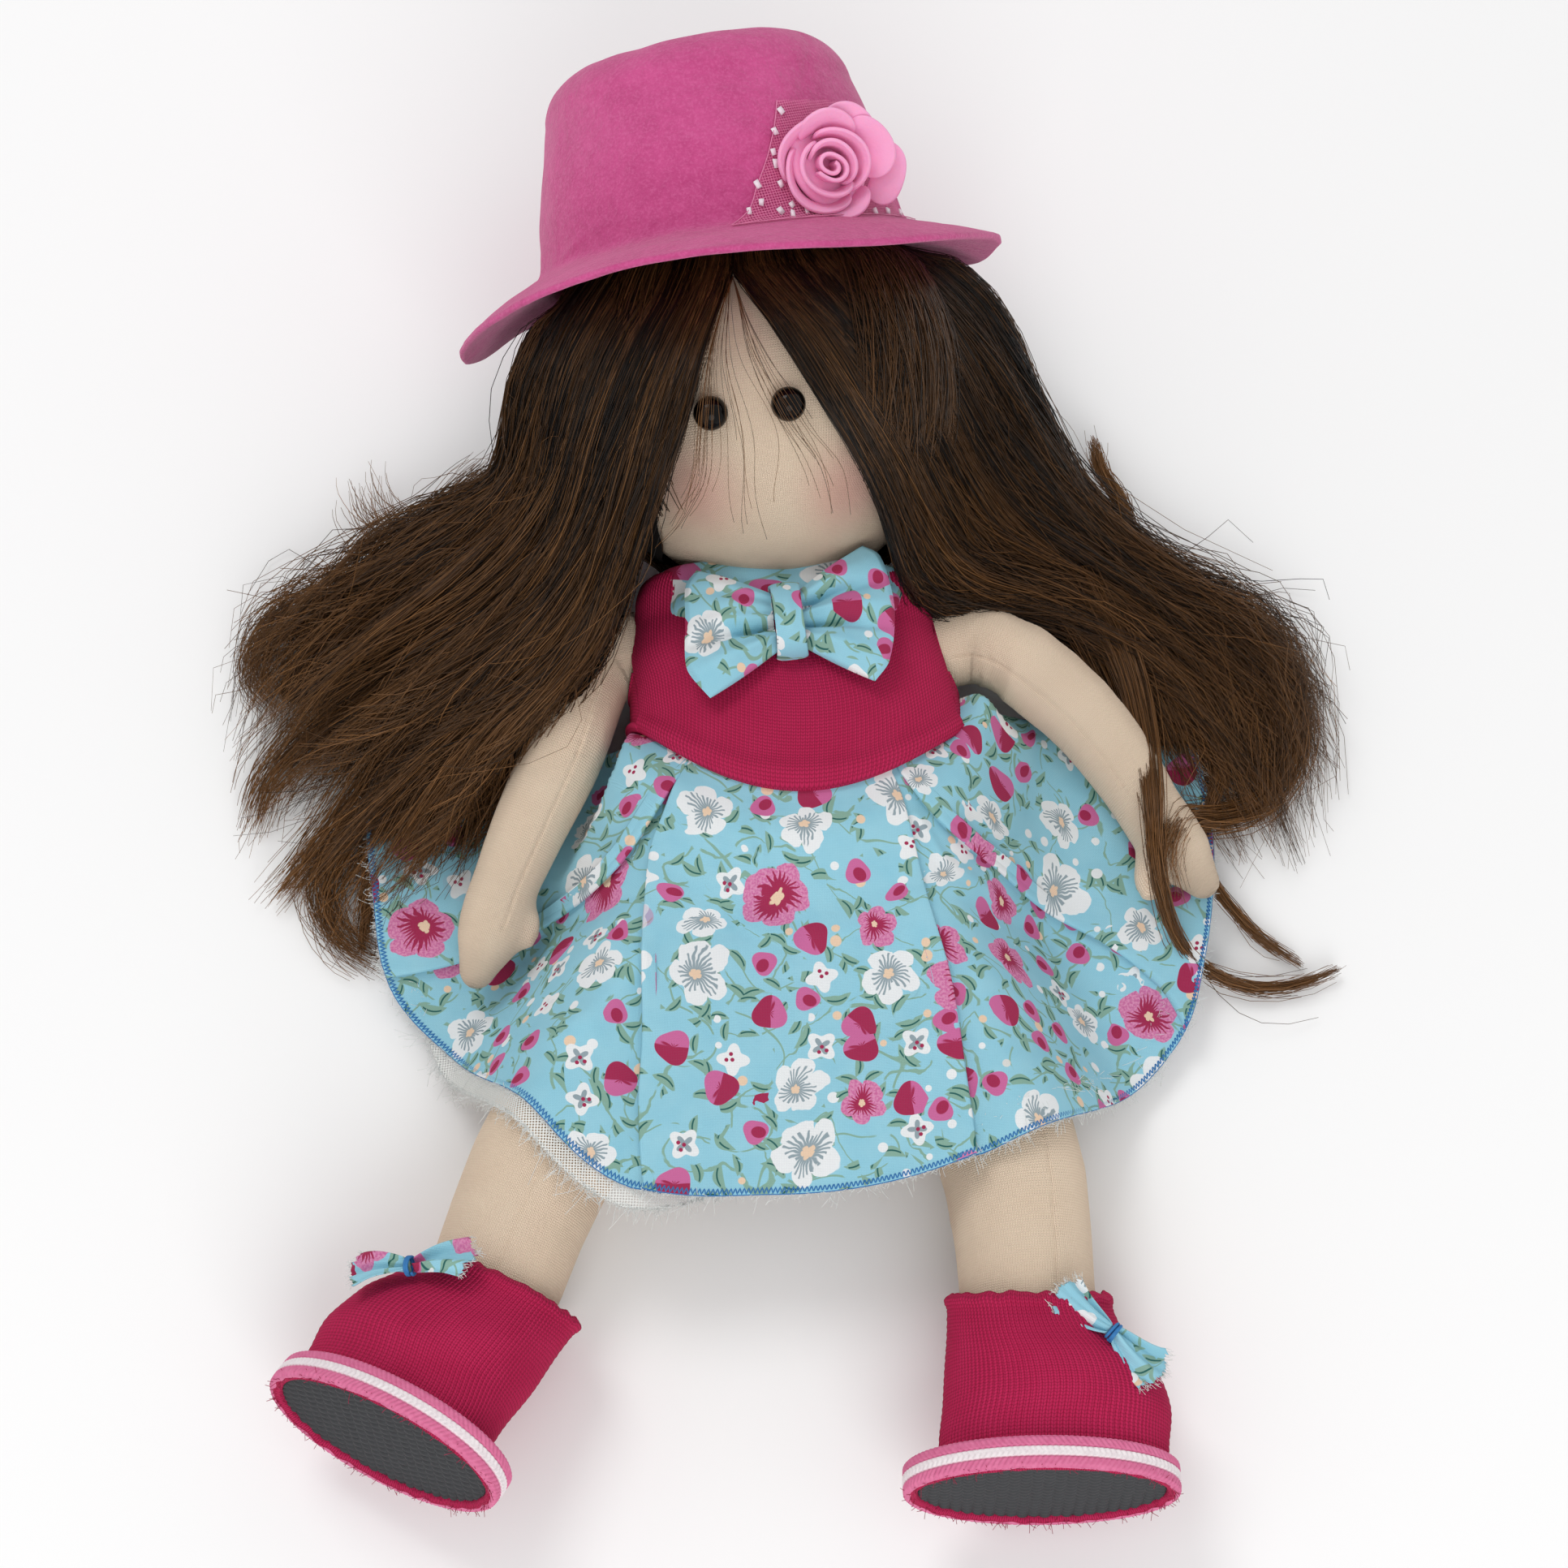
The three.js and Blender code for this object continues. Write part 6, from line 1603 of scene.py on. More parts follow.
def makeNet():
    s = netSettings
    height = np.linspace(0.6, 36.5, 70)
    left, right = eased(s["left"], height), eased(s["right"], height)
    share = np.linspace(0, 1, 80)
    bearing = np.radians(blendOf(left[:, None], right[:, None], share[None]))
    radius = eased(s["radius"], height)[:, None] + 0.55 + 0.25 * waviness(
        stacked(bearing * 50, np.broadcast_to(height[:, None], bearing.shape), 0 * bearing), 9, 6)
    tall = np.broadcast_to(height[:, None], bearing.shape)
    points = placed(onHat(bearing, radius, tall), hatFrame)
    uv = stacked(bearing * 53 + 0.12 * tall, tall - bearing * 5)
    uv = np.concatenate([uv, uv[:, -1:]], 1)
    obj = gridMesh("hat_net_cloth", points, uv)
    dressed(obj, materials["net"], "hat", ["hat_net"])
    # the gathered thread edges of the net
    edges = [curveThrough(along + (0.05, -0.1, 0.35), 120) for along in (points[:, 0], points[0])]
    thread = tubesMesh("net_edge_threads", edges, 0.16, sides=5)
    dressed(thread, materials["netEdge"], "hat")
    dice = np.random.default_rng(4)
    corners, faces = [], []
    for bearing, tall in s["flecks"]:
        radius = float(eased(s["radius"], np.array([float(tall)]))[0]) + 1.0
        middle = onHat(np.radians(bearing), radius, float(tall))
        turn = dice.uniform(-0.5, 0.5)
        long, short, thick = dice.uniform(0.85, 1.2), dice.uniform(0.6, 0.85), 0.22
        outward = Vector((math.sin(math.radians(bearing)), 0.1, math.cos(math.radians(bearing)))).normalized()
        spin = np.array(outward.to_track_quat("Z", "Y").to_matrix() @ Matrix.Rotation(turn, 3, "Z"))
        cornerPlaces = [(sx * long + 0.15 * dice.normal(), sy * short + 0.12 * dice.normal(), sz * thick)
                        for sz in (-1, 1) for sx, sy in ((-1, -1), (1, -1), (1, 1), (-1, 1))]
        start = len(corners)
        corners.extend(middle + spin @ np.array(place) for place in cornerPlaces)
        faces.extend([start + k for k in face] for face in
                     ((0, 3, 2, 1), (4, 5, 6, 7), (0, 1, 5, 4), (1, 2, 6, 5), (2, 3, 7, 6), (3, 0, 4, 7)))
    obj = buildMesh("net_flecks", placed(np.array(corners), hatFrame), [faces])
    return dressed(obj, materials["fleck"], "hat")


makeNet()

print("stage: rose")
# a petal: radius, start and sweep in degrees, height, flare, shift of its middle (right, down), base height
roseSettings = {
    "tilt": (24, 14), "middle": (-1.5, 1.0), "heart": {"turns": 1.55, "start": -35, "height": 9.6},
    "petals": [(5.9, 205, 215, 9.4, 0.6, (0.2, 0.1), 0), (7.3, 35, 220, 9.2, 0.9, (0, 0.2), 0),
               (8.6, 250, 170, 8.6, 1.6, (0.4, -0.1), 0), (10.0, 55, 165, 7.6, 2.4, (-0.4, 0.4), 0),
               (11.2, 165, 120, 6.8, 2.6, (-0.6, -0.4), 0), (9.4, 228, 95, 7.6, 4.6, (0.2, -1.2), 0),
               (10.6, 35, 95, 6.4, 3.4, (1.4, 0.8), 0), (8.8, 298, 92, 6.2, 7.8, (2.6, -0.6), 0),
               (10.2, 262, 74, 4.4, 6.6, (2.6, -0.6), 0), (11.0, 335, 74, 3.4, 8.4, (3.2, 1.2), 0)],
    "thickness": 1.25, "base": 16.4,
}


def makePetal(name, radius, start, sweep, height, flare, shift, low, node, frameHere):
    u = np.linspace(0, 1, 44)[None]
    v = np.linspace(0, 1, 16)[:, None]
    edge = np.maximum(1 - np.abs(2 * u - 1) ** 3.2, 0) ** 0.6
    angle = np.radians(start + sweep * u) + 0 * v
    tall = 1.2 + low + height * v * (0.42 + 0.58 * edge)
    spread = radius + flare * v ** 1.8 * (0.35 + 0.65 * edge) + 0.35 * np.sin(u * 9 + radius) * v
    lip = 0.7 * smoothStep(v, 0.78, 1.0) * edge
    points = stacked(shift[0] + (spread + lip) * np.cos(angle), tall - 0.25 * lip,
                     shift[1] + (spread + lip) * np.sin(angle))
    obj = gridMesh(name, placed(points, frameHere), stacked(u * 20, v * 9))
    thickened(obj, roseSettings["thickness"], 0.0, 1)
    return dressed(obj, materials["foam"], "hat", [node] if node else ())


def makeRose():
    s = roseSettings
    tilted = roseFrame @ rotation(s["tilt"][0], "Z") @ rotation(s["tilt"][1], "X")
    here = tilted @ Matrix.Translation((s["middle"][0], 0, s["middle"][1]))
    heart = s["heart"]
    turn = np.linspace(0, 1, 110)[None]
    v = np.linspace(0, 1, 12)[:, None]
    angle = np.radians(heart["start"]) + turn * heart["turns"] * 2 * np.pi + 0 * v
    radius = 1.3 + 3.2 * turn + 0.35 * v
    oval = 1 + 0.16 * np.cos(2 * (angle - 0.7))
    tall = 1.2 + (heart["height"] - 1.1 * (1 - turn)) * v
    points = stacked(radius * oval * np.cos(angle), tall, radius * oval * np.sin(angle))
    obj = gridMesh("rose_heart_foam", placed(points, here), stacked(turn * 40, v * 10))
    thickened(obj, s["thickness"], 0.0, 1)
    dressed(obj, materials["foam"], "hat", ["rose_heart"])
    for index, (radius, start, sweep, height, flare, shift, low) in enumerate(s["petals"], 1):
        node = f"rose_petal_{index}" if index <= 5 else None
        makePetal(f"petal_foam_{index}", radius, start, sweep, height, flare, shift, low, node, here)
    spread = np.linspace(0, 1, 14)[:, None]
    turn = roundTurn(90)[None]
    dome = s["base"] * np.sin(spread * np.pi / 2) * 0.82
    low = 2.0 - 2.6 * spread ** 4
    points = stacked(dome * np.cos(turn), low + 0 * turn, dome * np.sin(turn))
    obj = gridMesh("rose_base_foam", placed(points, roseFrame), np.zeros((14, 91, 2)), wrap=True)
    thickened(obj, 0.8)
    return dressed(obj, materials["foam"], "hat", ["rose_base"])


makeRose()

print("stage: shoes")
shoeSettings = {
    "left": {"sign": 1, "ankle": (68.4, -153.5, 25), "toe": (1, 0, 0.02), "facing": (0, -0.98, 0.18),
             "bowBearing": 57, "bowLean": 38},
    "right": {"sign": -1, "ankle": (-79, -151.2, 25), "toe": (-0.8, 0.5, -0.33), "facing": (-0.5, -0.81, 0.31),
              "bowBearing": 77, "bowLean": 22},
    "sections": [(-12, 0, 22.6, 22.9), (0, 0, 22.6, 22.9), (10, 1.6, 24.6, 23.6), (20, 5, 28.6, 23.8),
                 (32, 6.4, 30.4, 22.6), (44, 5.2, 30.6, 19.2), (60, 5, 30.6, 18.4)],
    "height": 58, "rimSlope": 0.42, "ribs": 118, "perRib": 4, "relief": 0.5, "braid": 9,
    "sole": (37.4, 22.5, 5),
}


def shoeFrameOf(side):
    s = shoeSettings[side]
    out = Vector(s["facing"]).normalized()
    toe = Vector(s["toe"])
    forward = (toe - out * toe.dot(out)).normalized()
    width = forward.cross(out)
    turn = Matrix((forward, out, width)).transposed().to_4x4()
    return Matrix.Translation(s["ankle"]) @ turn


def upperPoint(side, s, angle, grow):
    forward, halfLength, halfWidth = np.moveaxis(eased(shoeSettings["sections"], s), -1, 0)
    x = forward + (halfLength + grow) * np.cos(angle)
    z = (halfWidth + grow) * np.sin(angle)
    risen = smoothStep(s, 0, 0.85 * shoeSettings["height"])
    lean = -shoeSettings[side]["sign"] * shoeSettings["rimSlope"] * (1 - risen)
    return stacked(x, s + lean * z, z)


def makeUpper(side, frameHere):
    s = shoeSettings
    columns = s["ribs"] * s["perRib"]
    angle = roundTurn(columns)[None]
    down = np.concatenate([np.linspace(-1.6, 4.5, 18), np.linspace(4.5, 52.2, 64)[1:]])[:, None]
    down, angle = np.broadcast_arrays(down, angle)
    rib = (np.abs(np.cos(np.arange(columns) / s["perRib"] * np.pi)) - 0.5) * s["relief"]
    course = 0.09 * np.sin(down * 2 * np.pi / 1.15)
    roll = 0.75 * np.exp(-(((down - 0.6) / 1.5) ** 2)) - 1.2 * smoothStep(-down, 0.2, 1.7)
    lumps = waviness(stacked(np.cos(angle) * 24, down, np.sin(angle) * 24), 26, 12 if side == "left" else 15)
    ragged = 0.5 * waviness(stacked(angle * 24, 0 * angle, 0 * angle), 5, 19) * (1 - smoothStep(down, -1.6, 5))
    tuck = -1.6 * smoothStep(down, 48.5, 52.2)
    points = upperPoint(side, down, angle, 0.2 + rib[None] + course + roll + 0.6 * lumps + tuck)
    points[..., 1] += ragged
    uv = stacked(np.arange(columns + 1)[None] * 1.3 / s["perRib"],
                 np.append(down[:, :1], down[:, :1], 1)[:, :1])
    obj = gridMesh(f"upper_knit_{side}", placed(points, frameHere), uv, wrap=True, turned=True)
    thickened(obj, 0.9)
    return dressed(obj, materials["upper"], "leg_" + side, ["shoe_upper_" + side])


def ovalLengths(a, b, count):
    # bearings that step evenly round an oval
    fine = np.linspace(0, 2 * np.pi, 4001)
    lengths = np.concatenate([[0], np.cumsum(np.hypot(np.diff(a * np.cos(fine)), np.diff(b * np.sin(fine))))])
    return np.interp(np.linspace(0, lengths[-1], count, endpoint=False), lengths, fine), lengths[-1]


def makeBraid(side, frameHere):
    s = shoeSettings
    a, b, forward = s["sole"][0], s["sole"][1], 1.6
    turn, around = ovalLengths(a, b, 620)
    loops = round(around / 1.55)
    low = s["height"] - s["braid"]
    rise = np.linspace(0, 1, 46)
    stitch = np.arange(620) / 620 * loops
    bands = np.abs(rise - 0.5)[:, None]
    lean = np.where(bands < 0.16, bands * 3.0, (bands - 0.16) * 4.2)
    loop = np.abs(np.sin(np.pi * (stitch[None] + lean)))
    groove = 0.5 * np.exp(-(((bands - 0.165) / 0.022) ** 2)) + 0.7 * np.exp(-(((bands - 0.5) / 0.05) ** 2))
    relief = 0.5 * loop ** 0.7 - groove + 0.25 * np.cos(bands * np.pi)
    grow = relief - 0.25
    outer = stacked(forward + (a + grow) * np.cos(turn), low + rise[:, None] * s["braid"] + 0 * turn,
                    (b + grow) * np.sin(turn))
    back = stacked(np.broadcast_to(forward + (a - 2.4) * np.cos(turn), (3, 620)),
                   low + np.array([0.97, 0.5, 0.03])[:, None] * s["braid"] + 0 * turn,
                   np.broadcast_to((b - 2.4) * np.sin(turn), (3, 620)))
    ring = np.concatenate([outer, back, outer[:1]])
    across = np.concatenate([rise * 9, [9, 4.5, 0], [0]])
    uv = stacked(np.arange(621)[None] * around / 620, across[:, None])
    obj = gridMesh(f"braid_band_{side}", placed(ring, frameHere), uv, wrap=True, turned=True)
    return dressed(obj, materials["braid"], "leg_" + side, ["shoe_braid_" + side])


def makeSole(side, frameHere):
    # an anti-slip sheet: rows of raised pads, staggered like basket work
    a, b, forward = 34.6, 19.8, 1.6
    x, z = np.meshgrid(np.linspace(-1, 1, 210), np.linspace(-1, 1, 124))
    # square to disc, so that the rim is even
    dx = x * np.sqrt(1 - z ** 2 / 2) * a
    dz = z * np.sqrt(1 - x ** 2 / 2) * b
    row = dx / 3.1
    column = dz / 2.2 + 0.5 * (np.floor(row) % 2)
    pad = (np.sin(np.pi * row % np.pi).clip(0) ** 0.5) * (np.abs(np.sin(np.pi * column)) ** 0.55)
    rim = np.hypot(dx / a, dz / b)
    height = 0.75 * pad - 1.4 * smoothStep(rim, 0.965, 1.0)
    points = stacked(forward + dx, 56.3 + height, dz)
    obj = gridMesh(f"sole_sheet_{side}", placed(points, frameHere), stacked(dx, dz), turned=True)
    thickened(obj, 1.3)
    dressed(obj, materials["sole"], "leg_" + side, ["sole_" + side])
    turn = roundTurn(120)[None]
    levels = np.array([(0.02, 52.9), (1.0, 52.9), (1.0, 54.2), (0.02, 54.2)])
    card = stacked(forward + 34.4 * levels[:, :1] * np.cos(turn), levels[:, 1:] + 0 * turn,
                   19.5 * levels[:, :1] * np.sin(turn))
    obj = gridMesh(f"insole_sheet_{side}", placed(card, frameHere), np.zeros((4, 121, 2)), wrap=True,
                   turned=True)
    dressed(obj, materials["card"], "leg_" + side, ["insole_" + side])
    # the knit's raw edge shows between the sole and the braid, with loose fibres
    turn, around = ovalLengths(a, b, 420)
    ragged = 0.6 * waviness(stacked(np.cos(turn) * a, np.sin(turn) * b, 0 * turn), 6, 14)
    levels = [(-0.9, 55.2), (-0.2, 56.8), (0.6, 57.6), (1.3, 57.2), (1.5, 55.8)]
    strip = np.stack([stacked(forward + (a + out + 0.3 * ragged) * np.cos(turn), up + ragged * 0.4,
                              (b + out + 0.3 * ragged) * np.sin(turn)) for out, up in levels])
    uv = stacked(np.arange(421)[None] * 0.42, np.arange(5)[:, None] * 1.0)
    obj = gridMesh(f"raw_edge_{side}", placed(strip, frameHere), uv, wrap=True, turned=True)
    thickened(obj, 0.5)
    dressed(obj, materials["upper"], "leg_" + side)
    dice = np.random.default_rng(31 if side == "left" else 32)
    count = 420
    bearing = dice.uniform(0, 2 * np.pi, count)
    start = stacked(forward + (a + 0.8) * np.cos(bearing), np.full(count, 57.3), (b + 0.8) * np.sin(bearing))
    heading = stacked(0.6 * np.cos(bearing), 0.5 + 0 * bearing, 0.6 * np.sin(bearing))
    heading = heading + dice.normal(0, 0.6, (count, 3))
    t = np.linspace(0, 1, 6)[None, :, None]
    bend = dice.normal(0, 0.9, (count, 1, 3))
    length = dice.uniform(0.6, 2.2, (count, 1, 1))
    paths = start[:, None] + unit(heading)[:, None] * length * t + bend * t ** 2
    obj = tubesMesh(f"raw_fibres_{side}", placed(paths, frameHere), 0.09)
    dressed(obj, materials["crimsonFray"], "leg_" + side)


def makeShoeBow(side, frameHere):
    s = shoeSettings[side]
    sign, bearing, lean = s["sign"], math.radians(s["bowBearing"]), math.radians(s["bowLean"])
    forward, halfLength, halfWidth = eased(shoeSettings["sections"], np.array(19.0))
    where = Vector((forward + (halfLength + 2.4) * math.cos(bearing), 19,
                    -sign * (halfWidth + 2.4) * math.sin(bearing)))
    basis = Matrix(((0, math.sin(lean), sign * math.cos(lean)), (0, math.cos(lean), -sign * math.sin(lean)),
                    (-sign, 0, 0))).transposed().to_4x4()
    turned = Matrix.Rotation(sign * math.radians(79), 4, "Y")
    place = frameHere @ Matrix.Translation(where) @ turned @ basis
    rng = np.random.default_rng(5 if side == "left" else 9)
    for wing, reach in ((-1, 17.0), (1, 16.0)):
        t = np.linspace(0, 1, 40)[:, None]
        v = np.linspace(0, 1, 44)[None]
        half = blendOf(1.6, 7.0, t ** 0.7)
        ragged = rng.normal(0, 0.45, 44)[None] * smoothStep(t, 0.85, 1.0)
        bow = 1.6 * np.cos((v - 0.5) * np.pi * 1.6) * smoothStep(t, 0.5, 1)
        x = wing * (0.8 + (reach - 0.8) * t + ragged + bow)
        y = blendOf(half, -half, v) + wing * 0.8 * t
        waves = ((1.3, 1.5, 0.1 * wing), (0.6, 3.3, 0.4))
        crumple = sum(h * np.sin((v * pace + phase) * np.pi * 2) for h, pace, phase in waves)
        z = 1.0 + 2.2 * np.sin(np.pi * t * 0.8) + crumple * (1 - 0.35 * t)
        points = stacked(x, y, z)
        sheetUv = stacked(x + 150 + wing * 23, y + 70 * sign)
        name = f"shoe_bow_{side}_{'a' if wing < 0 else 'b'}"
        obj = gridMesh(name, placed(points, place), sheetUv, turned=wing < 0)
        thickened(obj, 0.35)
        stands = ["shoe_bow_" + side] if wing < 0 else ()
        dressed(obj, materials["print"], "leg_" + side, stands)
        tips = placed(points[-1], place)
        roots = placed(points[-4], place)
        picks = rng.integers(0, 44, 70)
        out = unit(tips[picks] - roots[picks])
        steps = np.linspace(0, 1, 5)[None, :, None]
        paths = tips[picks][:, None] + (out[:, None] * rng.uniform(0.5, 2.0, (70, 1, 1)) * steps
                                        + rng.normal(0, 0.5, (70, 1, 3)) * steps ** 2)
        obj = tubesMesh(name + "_fray", paths, 0.07)
        dressed(obj, materials["whiteFray"], "leg_" + side)
    # the thread that ties the middle
    turn = np.linspace(0, 6 * np.pi, 90)
    path = stacked(1.2 * np.sin(turn / 6 + 0.4), 2.6 * np.cos(turn), 1.0 + 2.3 * np.sin(turn))
    obj = tubesMesh(f"shoe_bow_tie_{side}", placed(path, place)[None], 0.45, sides=6)
    return dressed(obj, materials["blueThread"], "leg_" + side)


for side in ("left", "right"):
    here = shoeFrameOf(side)
    makeUpper(side, here)
    makeBraid(side, here)
    makeSole(side, here)
    makeShoeBow(side, here)


print("stage: hair")
hairSettings = {
    # guides from the face outwards, each from the parting to the tips
    "right": [
        [(-15, 123, 109), (-24, 98, 111), (-31, 75, 105), (-39, 58, 88), (-46, 45, 70), (-52, 33, 60),
         (-63, 22, 50), (-80, 7, 47), (-96, -6, 30), (-111, -23, 16), (-124, -39, 9)],
        [(-19, 122, 110), (-29, 98, 111), (-38, 76, 103), (-45, 59, 86), (-53, 46, 68), (-63, 32, 56),
         (-77, 18, 49), (-95, 7, 36), (-112, -5, 20), (-124, -19, 12), (-134, -25, 9)],
        [(-27, 120, 109), (-37, 100, 108), (-46, 80, 96), (-54, 64, 80), (-63, 51, 62), (-76, 39, 50),
         (-92, 28, 38), (-108, 19, 26), (-123, 8, 17), (-134, -3, 12), (-142, -7, 9)],
        [(-39, 121, 103), (-49, 106, 98), (-58, 88, 84), (-65, 74, 66), (-76, 63, 48), (-90, 54, 34),
         (-107, 43, 25), (-122, 32, 19), (-135, 23, 14), (-144, 13, 12), (-148, 6, 10)],
        [(-56, 124, 92), (-64, 112, 84), (-71, 99, 66), (-77, 89, 48), (-89, 80, 33), (-104, 71, 24),
         (-121, 60, 18), (-135, 49, 15), (-147, 38, 13), (-153, 28, 11), (-154, 19, 10)],
        [(-75, 129, 75), (-82, 119, 64), (-85, 109, 46), (-88, 103, 32), (-103, 102, 20), (-120, 92, 15),
         (-135, 79, 12), (-147, 67, 11), (-158, 57, 10), (-163, 48, 9), (-160, 34, 9)],
    ],
    "left": [
        [(-13, 124, 109), (-1, 106, 112), (10, 89, 107), (21, 75, 96), (30, 62, 80), (36, 51, 64),
         (47, 51, 48), (67, 57, 34), (87, 53, 24), (107, 36, 18), (119, 16, 14), (128, -1, 10)],
        [(-6, 123, 109), (7, 107, 110), (19, 91, 103), (30, 78, 90), (39, 68, 73), (48, 61, 56), (63, 60, 40),
         (82, 61, 28), (101, 51, 20), (117, 34, 15), (128, 14, 12), (138, -6, 9)],
        [(4, 125, 105), (17, 111, 105), (30, 98, 95), (41, 88, 78), (52, 80, 60), (63, 74, 42), (79, 70, 29),
         (95, 64, 21), (112, 51, 16), (127, 35, 13), (139, 18, 10), (145, -3, 8)],
        [(20, 131, 96), (33, 120, 92), (45, 109, 80), (56, 101, 62), (67, 93, 45), (80, 85, 31), (94, 77, 22),
         (109, 67, 17), (125, 55, 14), (140, 41, 11), (149, 25, 9), (148, 2, 8)],
        [(37, 140, 82), (49, 133, 74), (61, 124, 60), (71, 115, 44), (83, 103, 31), (95, 92, 22),
         (107, 82, 17), (122, 71, 14), (137, 60, 12), (149, 46, 10), (154, 29, 9), (152, 10, 8)],
        [(56, 156, 62), (65, 151, 52), (74, 139, 38), (82, 123, 28), (91, 108, 20), (104, 94, 16),
         (118, 82, 13), (133, 71, 11), (146, 58, 10), (156, 41, 9), (158, 25, 8), (157, 15, 7)],
    ],
    "steps": 20, "radius": 0.13, "clumps": 90,
    "counts": {"right": 5200, "left": 5200}, "lean": {"right": 1.25, "left": 1.1},
    # loose locks: places, how many strands, how wide at the start and at the end
    "locks": {
        "wrist": ([(90, 73, 25), (103, 43, 23), (107, 19, 27), (108, -6, 35), (108, -22, 35), (111, -34, 25),
                   (117, -44, 13), (126, -51, 7), (139, -55, 5), (152, -54, 4), (160, -51, 4)], 260, 5.0, 0.7),
        "hand": ([(118, 62, 14), (132, 26, 10), (131, 9, 12), (126, -7, 12), (127, -20, 8), (135, -31, 5),
                  (142, -39, 4), (151, -45, 3)], 150, 4.0, 0.6),
        "loop": ([(118, 62, 14), (141, 53, 9), (154, 38, 7), (154, 19, 6), (143, 3, 6), (128, -4, 12),
                  (115, -12, 30), (110, -24, 33), (112, -31, 28)], 170, 7.0, 4.0),
        "tuft": ([(78, 118, 22), (88, 96, 15), (97, 87, 12), (106, 92, 11), (105, 102, 12), (100, 113, 10),
                  (98, 124, 8)],
                 230, 6.0, 1.6),
        "curlHigh": ([(-84, 113, 24), (-92, 94, 16), (-102, 89, 12), (-115, 89, 10), (-126, 95, 9),
                      (-131, 104, 8), (-132, 110, 7)], 60, 8.0, 9.0),
        "curlLow": ([(-85, 91, 22), (-99, 72, 15), (-117, 69, 11), (-135, 71, 9), (-150, 69, 8), (-160, 60, 7),
                     (-163, 46, 6), (-154, 36, 5)], 120, 9.0, 7.0),
        "curlBack": ([(-85, 96, 24), (-94, 80, 16), (-103, 78, 12), (-110, 91, 10), (-100, 109, 9),
                      (-92, 117, 8)],
                     70, 7.0, 6.0),
        "endLow": ([(-96, 38, 34), (-115, 18, 18), (-130, 0, 10), (-142, -14, 6),
                    (-150, -24, 4)], 150, 12.0, 6.0),
        "endCurl": ([(-98, 30, 30), (-116, 8, 14), (-131, -10, 8), (-138, -26, 5), (-133, -39, 4),
                     (-122, -46, 3)], 130,
                    10.0, 6.0),
        "endOut": ([(-110, 52, 20), (-130, 36, 12), (-146, 24, 8), (-157, 12, 5),
                    (-161, -2, 4)], 120, 10.0, 7.0),
        "tipRight": ([(-99, 29, 27), (-113, 6, 18), (-122, -11, 10), (-125, -28, 5),
                      (-126, -41, 3)], 170, 7.0, 2.0),
    },
    "strays": [([(-14, 122, 110), (-20, 100, 114), (-22, 77, 112), (-23, 64, 104), (-29, 56, 93),
                 (-36, 52, 80)], 16),
               ([(-14, 122, 110), (-8, 99, 115), (4, 78, 111), (12, 68, 101), (15, 56, 92)], 12),
               ([(-15, 122, 110), (-15, 95, 117), (-9, 71, 115), (-8, 55, 106), (-6, 46, 92)], 7)],
}


def guideSheet(side, steps):
    return np.stack([curveThrough(guide, steps) for guide in hairSettings[side]])


def alongGuides(sheet, across, along):
    # places on a sheet of guides: across 0 to 1, along 0 to 1 and a little beyond
    rows, count = sheet.shape[:2]
    table = np.column_stack([np.arange(rows), sheet.reshape(rows, -1)])
    lines = eased(table, across * (rows - 1)).reshape(len(across), count, 3)
    spot = along * (count - 1)
    low = np.clip(np.floor(spot).astype(int), 0, count - 2)
    strand = np.arange(len(across))[:, None]
    part = (spot - low)[..., None]
    return lines[strand, low] * (1 - part) + lines[strand, low + 1] * part


def wander(rng, count, along, size):
    # each strand's own slow waves, stronger towards the tip
    total = np.zeros((count, along.shape[1], 3))
    for cycles in (0.7, 1.6, 3.1):
        phase = rng.uniform(0, 2 * np.pi, (count, 1, 3))
        pace = rng.uniform(0.7, 1.4, (count, 1, 3)) * cycles * 2 * np.pi
        total += np.sin(along[..., None] * pace + phase) * rng.normal(0, 1, (count, 1, 3)) / (0.5 + cycles)
    return total * size[:, None, None] * (0.12 + along[..., None] ** 1.6)


def overHead(points, clearance):
    # strands stay outside the head
    inside = placed(points, intoHead)
    scale = np.array(headHalf) + clearance
    depth = np.linalg.norm(inside / scale, axis=-1, keepdims=True)
    depth = np.maximum(depth, 0.3)
    inside = inside * (1 + depth ** 14) ** (1 / 14) / depth
    return placed(inside, headFrame)


def underHat(points):
    # strands inside the hat keep to the crown, and those outside it stay below the brim
    inHat = placed(points, hatFrame.inverted())
    radius = np.hypot(inHat[..., 0], inHat[..., 2])
    bearing = np.arctan2(inHat[..., 0], inHat[..., 2])
    height = inHat[..., 1] - hatWave(radius, bearing)
    high = smoothStep(height, -9.0, -2.0)
    kept = blendOf(radius, np.minimum(radius, 48.0), high)
    inHat[..., 0] = kept * np.sin(bearing)
    inHat[..., 2] = kept * np.cos(bearing)
    return placed(inHat, hatFrame)


def overNeck(obj):
    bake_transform(obj)


def growHair(name, paths, tones, radii, replaced=(), loose=True):
    # no strand lies below the floor or far outside the doll's width
    side = np.abs(paths[..., 0])
    paths[..., 0] = np.sign(paths[..., 0]) * np.where(side > 160, 160 + 12 * np.tanh((side - 160) / 12), side)
    paths[..., 2] = np.maximum(paths[..., 2], 0.6)
    obj = tubesMesh(name, paths, radii, attributes={"tone": tones})
    dressed(obj, materials["hair"], None if loose else "head", replaced)
    if loose:
        overNeck(obj)
    return obj


def taper(along, radius):
    return radius * (1 - 0.55 * np.clip((along - 0.75) / 0.3, 0, 1))


